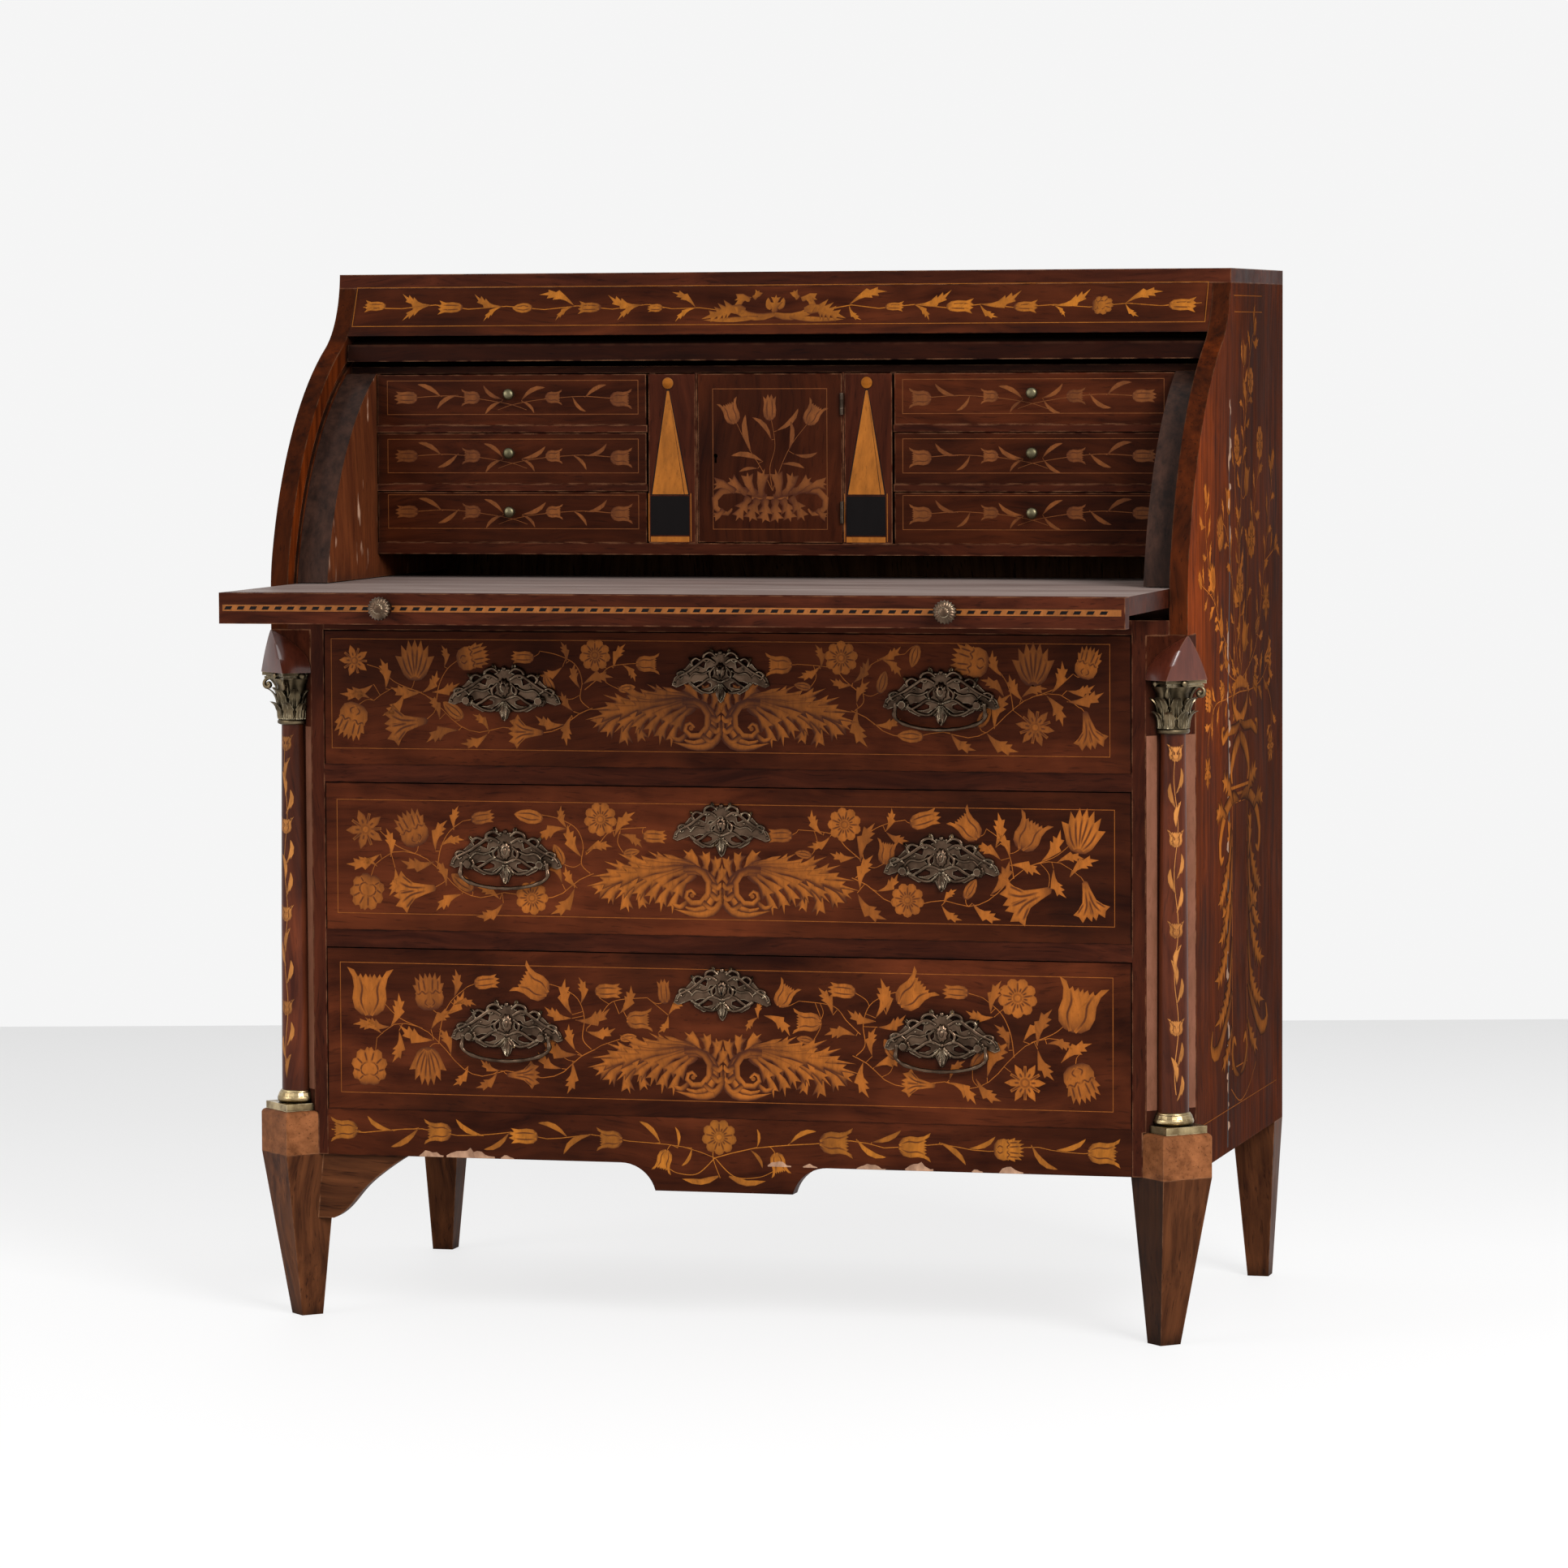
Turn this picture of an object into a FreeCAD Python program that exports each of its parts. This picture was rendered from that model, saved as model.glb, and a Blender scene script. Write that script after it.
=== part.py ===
"""Roll-top bureau: marquetry writing desk with a solid cylinder fall, a pull-out
writing slide, a fitted gallery and three long drawers.

Lengths are millimetres. X runs to the right, Y to the back, Z up. The sizes below are
measured from the front plane of the long drawers, the middle of the width and the floor.
The saved frame has its origin on the floor, in the middle of the bounding box.
"""
import FreeCAD, Part
import math
import os

V = FreeCAD.Vector

# The whole case: widths and depths
case_width = 1034.0
side_thickness = 20.0
top_thickness = 16.0
back_thickness = 12.0
running_gap = 0.25
joint_gap = 1.2
cut_overrun = 5.0

# Heights, stacked from the floor up
leg_height = 182.0
apron_height = 51.35
lower_drawer_height = 179.2
middle_drawer_height = 162.6
upper_drawer_height = 147.5
drawer_rail_height = 19.5
slide_bed_height = 16.0
slide_fascia_height = 33.35
recess_height = 27.4
gallery_base_thickness = 13.0
gallery_height = 191.0
gallery_top_thickness = 8.0
frieze_rise = 35.0
frieze_height = 54.0

# The cylinder fall and the curved front edge of the sides
fall_inner_radius = 341.0
fall_thickness = 22.0
edge_cover = 10.0
edge_overhang = 9.0
cavetto_radius = 100.0
knee_radius = 150.0
top_front_y = 249.0
back_reach = 202.0
cheek_gap = 2.0
fall_back_gap = 3.0
fall_side_gap = 1.5
fall_seat_gap = 1.5
lip_setback = 12.0
nose_reach = 7.5
nose_rounding = 3.0
tongue_inset = 2.0
tongue_thickness = 8.0
tongue_length = 5.0
groove_clearance = 0.3

# Angles of the fall, in degrees above the front horizon
fall_open_angle = 63.9
nose_angle = 65.8
rail_end_angle = 70.5
groove_end_angle = 1.5

# The frieze
frieze_thickness = 18.0

# The canted corners, with cap, capital, column and base
corner_width = 61.0
cant_size = 46.0
post_depth = 62.0
column_inset = 19.5
column_y = 17.0
cap_height = 48.0
capital_height = 58.0
capital_neck_radius = 15.5
abacus_half_diagonal = 37.0
abacus_height = 7.0
column_top_radius = 13.5
column_bottom_radius = 17.0
base_torus_height = 14.0
base_torus_radius = 22.0
base_plate_height = 8.0

# The foot blocks and legs
block_inset = 21.5
block_y = 16.7
block_half_diagonal = 44.5
block_height = 48.0
block_edge_radius = 5.0
leg_foot_inset = 29.5
leg_foot_y = 15.5
leg_foot_half_diagonal = 18.2
back_leg_width = 50.0
back_leg_foot_width = 24.5
back_leg_foot_inset = 10.0

# The apron under the drawers and the bracket beside the left front leg
apron_thickness = 20.0
apron_drop = 30.0
apron_drop_half_width = 78.0
apron_shoulder_half_width = 117.0
bracket_front_y = 4.0
bracket_inset = 39.0
bracket_length = 110.0
bracket_height = 72.0

# The long drawers
drawer_front_thickness = 20.0
drawer_back_gap = 34.0
drawer_side_thickness = 11.0
drawer_floor_thickness = 8.0
drawer_side_drop = 14.0
drawer_guide_gap = 1.5
drawer_guide_height = 20.0
dust_board_thickness = 12.0
bottom_board_thickness = 12.0

# The writing slide and what carries it
slide_board_thickness = 20.0
slide_back_gap = 24.0
slide_fascia_thickness = 20.0
slide_side_gap = 1.0
slide_out = 228.0
slide_runner_width = 42.0
slide_knob_x = 308.8
slide_knob_drop = 15.6
slide_knob_radius = 13.0
slide_knob_length = 25.0

# The gallery
gallery_setback = 16.0
gallery_back_thickness = 10.0
gallery_clearance = 1.6
cheek_thickness = 35.0
cheek_gap_below = 1.0
partition_thickness = 6.0
bank_inner_x = 142.5
cupboard_half_width = 84.0
shelf_thickness = 8.0
gallery_front_thickness = 10.0
gallery_front_gap = 0.7
tray_wall = 5.0
tray_back_gap = 12.0
small_drawer_rows = 3
small_knob_radius = 6.0
small_knob_length = 14.0
small_knob_rise = 6.0
pilaster_overlap = 1.7
door_thickness = 12.0
keyhole_inset = 21.0
keyhole_rise = 2.5
keyhole_radius = 2.5
keyhole_slot = 8.0

# The two small butt hinges of the cupboard door
hinge_inset = 35.0
hinge_length = 24.0
hinge_middle_length = 10.0
hinge_knuckle_radius = 2.2
hinge_pin_radius = 0.9
hinge_pin_clearance = 0.05
hinge_leaf_thickness = 0.6
hinge_leaf_depth = 9.0

# The brass on the long drawers, counted from the top drawer
plate_x = 246.5
plate_rises = [4.9, 0.9, 1.8]
plate_half_width = 64.5
plate_height = 58.0
plate_thickness = 2.0
escutcheon_drops = [47.8, 47.3, 43.8]
escutcheon_half_width = 55.0
escutcheon_height = 56.0
bail_half_span = 41.5
bail_drop = 29.0
bail_rod_radius = 2.4
bail_pin_radius = 1.7
bail_pin_clearance = 0.05
bail_axis_out = 8.0
bail_axis_drop = 6.5
post_radius = 4.2
post_foot_radius = 6.5
cover_length = 22.0
cover_width = 9.0
cover_thickness = 1.6
cover_pin_radius = 1.4
cover_pin_clearance = 0.05
cover_angle = 55.0

# How many flat facets small round pieces get
stud_sides = 8
knob_sides = 12
ring_sides = 24
column_sides = 36
leaves_in_row = 8

# Shares that give outlines their form
gallery_rise_share = 0.9163
capital_profile_shares = [(0.0, 1.06), (0.06, 1.12), (0.12, 1.0), (0.45, 1.05), (0.75, 1.3), (0.85, 1.6)]
leaf_row_shares = [(0.12, 0.45), (0.45, 0.8)]
leaf_width_share = 0.62
leaf_lean_share = 0.42
leaf_level_shares = [(0.0, 0.8), (0.5, 1.0), (0.8, 0.8), (1.0, 0.35)]
column_taper_shares = [(0.0, 0.0), (0.45, 0.3), (1.0, 1.0)]
base_ring_shares = [(0.0, 0.9), (0.2, 0.98), (0.45, 1.0), (0.8, 0.92)]
bail_spine_shares = [(1.0, -0.09), (1.0, 0.1), (1.02, 0.42), (0.95, 0.62), (0.76, 0.8), (0.5, 0.92),
                     (0.25, 0.98), (0.0, 1.0)]
cap_side_shares = [(0.0, 1.0), (0.2, 0.97), (0.45, 0.76), (0.8, 0.36)]
cap_front_shares = [(0.0, 1.0), (0.2, 0.8), (0.45, 0.52), (0.8, 0.18)]
plate_outline_shares = [
    (0.0, 0.5), (0.15, 0.4), (0.27, 0.36), (0.31, 0.27), (0.33, 0.17), (0.45, 0.22), (0.55, 0.18),
    (0.63, 0.27), (0.72, 0.17), (0.95, -0.02), (1.0, -0.16), (0.91, -0.2), (0.66, -0.1), (0.55, -0.24),
    (0.39, -0.33), (0.24, -0.28), (0.08, -0.16), (0.1, -0.32), (0.05, -0.45)]
plate_tip_share = -0.5
plate_hole_shares = [(0.38, -0.15, 0.2, 0.08), (0.21, 0.1, 0.08, 0.1)]
ring_hole_share = (0.0, 0.12, 0.055, 0.12)
bracket_outline_shares = [(0.0, 1.0), (0.24, 1.0), (0.39, 0.84), (0.56, 0.54), (0.74, 0.3), (1.0, 0.03)]
slide_knob_shares = [(0.0, 0.62), (0.14, 0.62), (0.3, 0.42), (0.52, 0.42), (0.68, 0.9), (0.8, 1.0),
                     (0.92, 0.92), (1.0, 0.55)]
small_knob_shares = [(0.0, 0.55), (0.12, 0.55), (0.22, 0.35), (0.55, 0.4), (0.7, 1.0), (0.88, 0.95),
                     (1.0, 0.6)]

# Heights worked out from the stack
case_bottom_z = leg_height
lower_runner_z = case_bottom_z + apron_height
lower_rail_z = lower_runner_z + running_gap + lower_drawer_height + joint_gap
middle_runner_z = lower_rail_z + drawer_rail_height
upper_rail_z = middle_runner_z + running_gap + middle_drawer_height + joint_gap
upper_runner_z = upper_rail_z + drawer_rail_height
slide_bed_bottom_z = upper_runner_z + running_gap + upper_drawer_height + joint_gap
slide_bed_top_z = slide_bed_bottom_z + slide_bed_height
slide_top_z = slide_bed_top_z + running_gap + slide_fascia_height
slide_board_bottom_z = slide_top_z - slide_board_thickness
gallery_base_z = slide_top_z + recess_height
gallery_floor_z = gallery_base_z + gallery_base_thickness
gallery_top_z = gallery_floor_z + gallery_height
frieze_bottom_z = gallery_top_z + gallery_top_thickness + frieze_rise
top_board_z = frieze_bottom_z + frieze_height
total_height = top_board_z + top_thickness
cap_top_z = slide_bed_bottom_z
cap_bottom_z = cap_top_z - cap_height
column_top_z = cap_bottom_z - capital_height
block_top_z = case_bottom_z + block_height
column_bottom_z = block_top_z + base_plate_height + base_torus_height
drawer_runner_zs = [upper_runner_z, middle_runner_z, lower_runner_z]
drawer_bottom_zs = [runner_z + running_gap for runner_z in drawer_runner_zs]
drawer_heights = [upper_drawer_height, middle_drawer_height, lower_drawer_height]
drawer_top_zs = [bottom + height for bottom, height in zip(drawer_bottom_zs, drawer_heights)]
plate_zs = [(low + high) / 2 + rise for low, high, rise in zip(drawer_bottom_zs, drawer_top_zs, plate_rises)]
escutcheon_zs = [high - drop for high, drop in zip(drawer_top_zs, escutcheon_drops)]
hinge_zs = [gallery_top_z - hinge_inset, gallery_floor_z + hinge_inset]
cheek_bottom_z = slide_top_z + cheek_gap_below

# The fall's axis and radii
fall_outer_radius = fall_inner_radius + fall_thickness
side_arc_radius = fall_outer_radius + edge_cover
pivot_y = side_arc_radius - edge_overhang
gallery_reach = fall_inner_radius - gallery_clearance
pivot_z = gallery_top_z + gallery_top_thickness - gallery_reach * gallery_rise_share
cheek_radius = fall_inner_radius - cheek_gap
lip_radius = fall_inner_radius + lip_setback
nose_radius = fall_outer_radius + nose_reach
tongue_inner_radius = fall_inner_radius + tongue_inset
fall_closed_angle = math.degrees(math.asin((slide_top_z + fall_seat_gap - pivot_z) / lip_radius))

# Places across and along the case
half_width = case_width / 2
inner_x = half_width - side_thickness
stile_inner_x = half_width - corner_width
cant_inner_x = half_width - cant_size
column_x = half_width - column_inset
block_x = half_width - block_inset
leg_foot_x = half_width - leg_foot_inset
cheek_inner_x = inner_x - cheek_thickness
pilaster_inner_x = cupboard_half_width + partition_thickness / 2 - joint_gap / 2
pilaster_outer_x = bank_inner_x - pilaster_overlap
case_depth = pivot_y + back_reach
back_inner_y = case_depth - back_thickness
gallery_top_front_y = pivot_y - math.sqrt(gallery_reach ** 2 - (gallery_reach * gallery_rise_share) ** 2)
gallery_front_y = gallery_top_front_y - gallery_setback
gallery_back_y = 2 * pivot_y - gallery_top_front_y - cheek_gap
fall_top_reach = (back_inner_y - fall_back_gap - pivot_y) / fall_outer_radius
fall_top_angle = math.degrees(math.pi - math.acos(fall_top_reach))
frame_shift = V(0, -(case_depth - slide_out - slide_knob_length) / 2, 0)


def box(x0, x1, y0, y1, z0, z1):
    """A straight block between two corners."""
    return Part.makeBox(x1 - x0, y1 - y0, z1 - z0, V(x0, y0, z0))


def prism_z(points, z0, z1):
    """A flat outline in X and Y, raised from z0 to z1."""
    face = flat_face(*[V(x, y, z0) for x, y in points])
    return face.extrude(V(0, 0, z1 - z0))


def prism_x(wire, x0, x1):
    """A closed wire in the plane X = 0, swept from x0 to x1."""
    solid = Part.Face(wire).extrude(V(x1 - x0, 0, 0))
    return solid.translated(V(x0, 0, 0))


def flat_face(*corners):
    """A flat face with straight edges."""
    return Part.Face(Part.makePolygon([*corners, corners[0]]))


def flat_sided(rings, tip=None):
    """A solid with flat faces through rings of corners in step, and up to a tip if it has one."""
    last = rings[-1]
    faces = [flat_face(*rings[0])]
    for low, high in zip(rings, rings[1:]):
        for a, b, c, d in zip(low, low[1:] + low[:1], high[1:] + high[:1], high):
            faces.append(flat_face(a, b, c))
            faces.append(flat_face(a, c, d))
    if tip:
        faces += [flat_face(a, b, tip) for a, b in zip(last, last[1:] + last[:1])]
    else:
        faces.append(flat_face(*last))
    shell = Part.makeShell(faces)
    shell.sewShape()
    solid = Part.makeSolid(shell).removeSplitter()
    return solid if solid.Volume > 0 else solid.reversed()


def facet_turned(profile, sides, centre_x, centre_y):
    """A turned piece with narrow flat facets, from (radius, height) pairs going up."""
    rings = []
    for radius, z in profile:
        rings.append([V(centre_x + x, centre_y + y, z) for x, y in ring_points(radius, sides)])
    return flat_sided(rings)


def ring_points(radius, count):
    """Corners of a regular outline about nought, with a flat side to the left and right."""
    turns = [math.pi * (2 * number + 1) / count for number in range(count)]
    return [(radius * math.cos(turn), radius * math.sin(turn)) for turn in turns]


def mirrored(shape):
    """The same piece on the other side of the middle."""
    return shape.mirror(V(0, 0, 0), V(1, 0, 0))


def square_points(x, y, half_diagonal):
    """A square turned so that one corner points to the front."""
    return [(x, y - half_diagonal), (x + half_diagonal, y), (x, y + half_diagonal), (x - half_diagonal, y)]


def save(name, *solids):
    """Write one named piece in the saved frame."""
    shape = solids[0] if len(solids) == 1 else Part.makeCompound(list(solids))
    shape = shape.translated(frame_shift)
    shape.exportStep("parts/" + name + ".step")
    return shape


def save_pair(name, right):
    """Write the right piece and its mirror image as two nodes."""
    save(name + "_right", right)
    save(name + "_left", mirrored(right))


def save_both(name, right):
    """Write the right piece and its mirror image as two solids of one node."""
    save(name, right, mirrored(right))


def arc_point(radius, angle):
    """A point in the plane X = 0 on a circle about the cylinder's axis.

    The angle rises from the front, over the top, to the back."""
    turn = math.radians(angle)
    return V(0, pivot_y - radius * math.cos(turn), pivot_z + radius * math.sin(turn))


def ring_sector(inner, outer, angle0, angle1, x0, x1):
    """A curved bar about the cylinder's axis."""
    middle = (angle0 + angle1) / 2
    edges = [
        Part.Arc(arc_point(outer, angle0), arc_point(outer, middle), arc_point(outer, angle1)).toShape(),
        Part.makeLine(arc_point(outer, angle1), arc_point(inner, angle1)),
        Part.Arc(arc_point(inner, angle1), arc_point(inner, middle), arc_point(inner, angle0)).toShape(),
        Part.makeLine(arc_point(inner, angle0), arc_point(outer, angle0))]
    return prism_x(Part.Wire(edges), x0, x1)


def along_arc(centre, radius, start, end):
    """An arc in the plane X = 0 about a centre, by the short way."""
    towards = (start + end) * 0.5 - centre
    middle = centre + towards * (radius / towards.Length)
    return Part.Arc(start, middle, end).toShape()


def front_edge():
    """The S-shaped front edge of the sides, from the corner cap up to the top.

    A straight foot runs through a knee into an arc about the cylinder's axis, and a
    hollow of its own radius leads on to the upright edge of the top."""
    pivot = V(0, pivot_y, pivot_z)
    knee_run = side_arc_radius - knee_radius
    knee_rise = math.sqrt(knee_run ** 2 - (pivot_y - knee_radius) ** 2)
    knee_centre = V(0, knee_radius, pivot_z + knee_rise)
    knee_top = pivot + (knee_centre - pivot) * (side_arc_radius / knee_run)
    hollow_y = top_front_y - cavetto_radius
    reach = side_arc_radius + cavetto_radius
    hollow_z = pivot_z + math.sqrt(reach ** 2 - (pivot_y - hollow_y) ** 2)
    hollow_centre = V(0, hollow_y, hollow_z)
    turn_point = pivot + (hollow_centre - pivot) * (side_arc_radius / reach)
    top_y = hollow_y + math.sqrt(cavetto_radius ** 2 - (hollow_z - total_height) ** 2)
    foot = V(0, 0, cap_top_z)
    knee_foot = V(0, 0, knee_centre.z)
    top = V(0, top_y, total_height)
    edges = [
        Part.makeLine(foot, knee_foot),
        along_arc(knee_centre, knee_radius, knee_foot, knee_top),
        along_arc(pivot, side_arc_radius, knee_top, turn_point),
        along_arc(hollow_centre, cavetto_radius, turn_point, top)]
    return edges, foot, top


def upper_block(x0, x1, offset):
    """Everything behind the S-shaped edge, pushed back by an offset."""
    edges, foot, top = front_edge()
    back_top = V(0, case_depth, total_height)
    back_foot = V(0, case_depth, foot.z)
    edges.append(Part.makeLine(top, back_top))
    edges.append(Part.makeLine(back_top, back_foot))
    edges.append(Part.makeLine(back_foot, foot))
    return prism_x(Part.Wire(edges), x0, x1).translated(V(0, offset, 0))


def block_prism():
    """The square foot block at the right front corner, with sharp edges."""
    return prism_z(square_points(block_x, block_y, block_half_diagonal), case_bottom_z, block_top_z)


def groove():
    """The curved groove in the right side, in which the fall's tongue runs."""
    inner = tongue_inner_radius - groove_clearance
    outer = tongue_inner_radius + tongue_thickness + groove_clearance
    reach = inner_x - fall_side_gap + tongue_length + groove_clearance
    start = fall_closed_angle - groove_end_angle
    return ring_sector(inner, outer, start, fall_top_angle + groove_end_angle, inner_x - cut_overrun, reach)


def make_sides():
    """One board each, from the lower edge to the top, with groove and corner notch."""
    upper = upper_block(inner_x, half_width, 0)
    cap_slab = box(0, case_width, 0, case_depth, cap_top_z, top_board_z)
    upper = upper.common(cap_slab)
    lower = box(inner_x, half_width, cant_size, case_depth, case_bottom_z, cap_top_z)
    side = upper.fuse(lower).removeSplitter()
    side = side.cut(block_prism()).cut(groove())
    save_pair("side", side)


def make_top_and_back():
    top = upper_block(-half_width, half_width, 0)
    save("top_board", top.common(box(-half_width, half_width, 0, case_depth, top_board_z, total_height)))
    save("back_panel", box(-inner_x, inner_x, back_inner_y, case_depth, case_bottom_z, top_board_z))


def make_frieze():
    """The hollow-fronted panel between the sides, above the fall."""
    outside = upper_block(-inner_x, inner_x, 0)
    inside = upper_block(-half_width, half_width, frieze_thickness)
    slab = box(-inner_x, inner_x, 0, case_depth, frieze_bottom_z, top_board_z)
    save("frieze", outside.cut(inside).common(slab))


def cant_prism(z0, z1):
    """All that lies behind the face of the right canted corner."""
    reach = case_depth
    points = [(cant_inner_x - reach, -reach), (half_width + reach, cant_size + reach),
              (cant_inner_x - reach, cant_size + reach)]
    return prism_z(points, z0, z1)


def make_corner_posts():
    """Stile and canted corner in one, down to the foot block and up to the slide."""
    canted = [(stile_inner_x, 0), (cant_inner_x, 0), (half_width, cant_size), (half_width, cant_size),
              (inner_x, cant_size), (inner_x, post_depth), (stile_inner_x, post_depth)]
    plain = [(stile_inner_x, 0), (inner_x, 0), (inner_x, post_depth), (stile_inner_x, post_depth)]
    post = prism_z(canted, case_bottom_z, cap_top_z)
    post = post.fuse(prism_z(plain, cap_top_z, slide_bed_top_z)).removeSplitter()
    save_both("corner_posts", post.cut(block_prism()))


def cap_section(share):
    """The corners of the cap at one level, given as a share of its height above its foot."""
    side = shape_share(cap_side_shares, share)
    front = shape_share(cap_front_shares, share)
    x, y = half_width, 0
    front_x = column_x + (x - column_x) * (1 - front)
    front_y = (column_y - abacus_half_diagonal) * front
    right_x = half_width + (column_x + abacus_half_diagonal - half_width) * front
    right_y = column_y * front
    z = cap_bottom_z + cap_height * share
    return [V(x - cant_size * side, y, z), V(front_x, front_y, z), V(right_x, right_y, z),
            V(x, cant_size * side, z), V(x - cant_size * side / 2, cant_size * side / 2, z)]


def shape_share(table, share):
    """The second value of a table of shares, where the first is the share given."""
    return dict(table)[share]


def make_caps():
    """Pointed caps, square on the capital and drawn up to the sharp corner above."""
    sections = [cap_section(share) for share, side in cap_side_shares]
    point = flat_sided(sections, V(half_width, 0, cap_top_z))
    corner = [(cant_inner_x, 0), (half_width, 0), (half_width, cant_size)]
    save_both("corner_caps", point.fuse(prism_z(corner, cap_bottom_z, cap_top_z)).removeSplitter())


def capital_radius(share):
    """The bell's radius at a share of the capital's height."""
    for (s0, r0), (s1, r1) in zip(capital_profile_shares, capital_profile_shares[1:]):
        if s0 <= share <= s1:
            return capital_neck_radius * (r0 + (r1 - r0) * (share - s0) / (s1 - s0))
    return capital_neck_radius * capital_profile_shares[-1][1]


def leaf(foot_share, tip_share, angle):
    """One pointed leaf that stands on the bell and leans out at its tip."""
    foot_z = column_top_z + capital_height * foot_share
    tip_z = column_top_z + capital_height * tip_share
    rise = tip_z - foot_z
    foot_r = capital_radius(foot_share)
    tip_r = capital_radius(tip_share) + rise * leaf_lean_share
    half = rise * leaf_width_share / 2
    inside = foot_r / 2
    rings = []
    radii = [foot_r + half / 4, foot_r + half / 2, tip_r, tip_r - half / 4]
    for (level_share, width_share), radius in zip(leaf_level_shares, radii):
        level = foot_z + rise * level_share
        width = half * width_share
        corners = [V(inside, -width, level), V(radius - half / 3, -width, level), V(radius, 0, level),
                   V(radius - half / 3, width, level), V(inside, width, level)]
        rings.append(corners)
    blade = flat_sided(rings)
    blade.rotate(V(0, 0, 0), V(0, 0, 1), angle)
    return blade.translated(V(column_x, column_y, 0))


def make_capitals():
    """Cast capitals: ringed bell, two rows of leaves, corner scrolls and square abacus."""
    profile = [(capital_neck_radius * r, column_top_z + capital_height * s)
               for s, r in capital_profile_shares]
    abacus_bottom = cap_bottom_z - abacus_height
    profile.append((profile[-1][0], abacus_bottom))
    capital = facet_turned(profile, ring_sides, column_x, column_y)
    for number in range(leaves_in_row):
        facing = 360 * number / leaves_in_row
        for foot_share, tip_share in leaf_row_shares:
            capital = capital.fuse(leaf(foot_share, tip_share, facing - 135))
    abacus = prism_z(square_points(column_x, column_y, abacus_half_diagonal), abacus_bottom, cap_bottom_z)
    capital = capital.fuse(abacus)
    scroll_radius = abacus_height * 0.75
    for dx, dy in ((1, 0), (0, -1)):
        reach = abacus_half_diagonal - scroll_radius * 1.2
        centre = V(column_x + dx * reach, column_y + dy * reach, abacus_bottom - scroll_radius * 0.8)
        across = V(dy, dx, 0) * (abacus_height / 2)
        rings = []
        for end in (centre - across, centre + across):
            rings.append([end + V(dx * u, dy * u, v) for u, v in ring_points(scroll_radius, knob_sides)])
        capital = capital.fuse(flat_sided(rings))
    capital = capital.cut(cant_prism(column_top_z - cut_overrun, cap_bottom_z + cut_overrun))
    save_both("capitals", capital)


def make_columns():
    """Tapered columns with a slight swell, seated on the base and against the cant."""
    height = column_top_z - column_bottom_z
    taper = column_bottom_radius - column_top_radius
    profile = [(column_bottom_radius - taper * t, column_bottom_z + height * u) for u, t in
               column_taper_shares]
    column = facet_turned(profile, column_sides, column_x, column_y)
    save_pair("column", column.cut(cant_prism(column_bottom_z - cut_overrun, column_top_z + cut_overrun)))


def make_column_bases():
    """Brass bases: a square plate turned like the block, and a rounded ring on it."""
    plate_top = block_top_z + base_plate_height
    plate = prism_z(square_points(column_x, column_y, abacus_half_diagonal), block_top_z, plate_top)
    profile = [(base_torus_radius * r, plate_top + base_torus_height * s) for s, r in base_ring_shares]
    profile.append((column_bottom_radius, column_bottom_z))
    ring = facet_turned(profile, ring_sides, column_x, column_y)
    base = plate.fuse(ring).cut(cant_prism(block_top_z - cut_overrun, column_bottom_z + cut_overrun))
    save_both("column_bases", base)


def make_foot_blocks():
    """Square blocks turned by 45 degrees, rounded a little along the top."""
    block = block_prism()
    upper = [edge for edge in block.Edges if edge.BoundBox.ZMin > block_top_z - running_gap]
    save_both("foot_blocks", block.makeFillet(block_edge_radius, upper))


def tapered_leg(top_points, foot_points):
    """A straight leg between two level outlines with the same number of corners."""
    top = [V(x, y, case_bottom_z) for x, y in top_points]
    foot = [V(x, y, 0) for x, y in foot_points]
    faces = [flat_face(*top), flat_face(*foot)]
    for number in range(len(top)):
        faces.append(flat_face(foot[number - 1], foot[number], top[number], top[number - 1]))
    return Part.Solid(Part.makeShell(faces))


def make_legs():
    """Tapered legs: the front ones turned by 45 degrees, the back ones square to the case."""
    front = tapered_leg(square_points(block_x, block_y, block_half_diagonal),
                        square_points(leg_foot_x, leg_foot_y, leg_foot_half_diagonal))
    save_pair("front_leg", front)
    make_bracket(front)
    x1, y1 = half_width, case_depth
    x0, y0 = x1 - back_leg_width, y1 - back_leg_width
    foot_x1, foot_y1 = x1 - back_leg_foot_inset, y1 - back_leg_foot_inset
    foot_x0, foot_y0 = foot_x1 - back_leg_foot_width, foot_y1 - back_leg_foot_width
    back = tapered_leg([(x0, y0), (x1, y0), (x1, y1), (x0, y1)],
                       [(foot_x0, foot_y0), (foot_x1, foot_y0), (foot_x1, foot_y1), (foot_x0, foot_y1)])
    save_pair("back_leg", back)


def make_apron():
    """The rail under the lowest drawer, with a drop in the middle between two hollows."""
    top_z = lower_runner_z
    run = apron_shoulder_half_width - apron_drop_half_width
    hollow_radius = (run ** 2 + apron_drop ** 2) / (2 * apron_drop)
    hollow_centre = V(apron_shoulder_half_width, 0, case_bottom_z - hollow_radius)
    shoulder = V(apron_shoulder_half_width, 0, case_bottom_z)
    drop = V(apron_drop_half_width, 0, case_bottom_z - apron_drop)
    hollow = along_arc(hollow_centre, hollow_radius, shoulder, drop)
    end = V(stile_inner_x, 0, case_bottom_z)
    half = [V(0, 0, top_z), V(stile_inner_x, 0, top_z), end, shoulder]
    edges = [Part.makeLine(first, second) for first, second in zip(half, half[1:])]
    foot = V(0, 0, drop.z)
    edges += [hollow, Part.makeLine(drop, foot), Part.makeLine(foot, half[0])]
    right = Part.Face(Part.Wire(edges)).extrude(V(0, apron_thickness, 0))
    apron = right.fuse(mirrored(right)).removeSplitter()
    block = block_prism()
    save("apron", apron.cut(block).cut(mirrored(block)))


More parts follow.
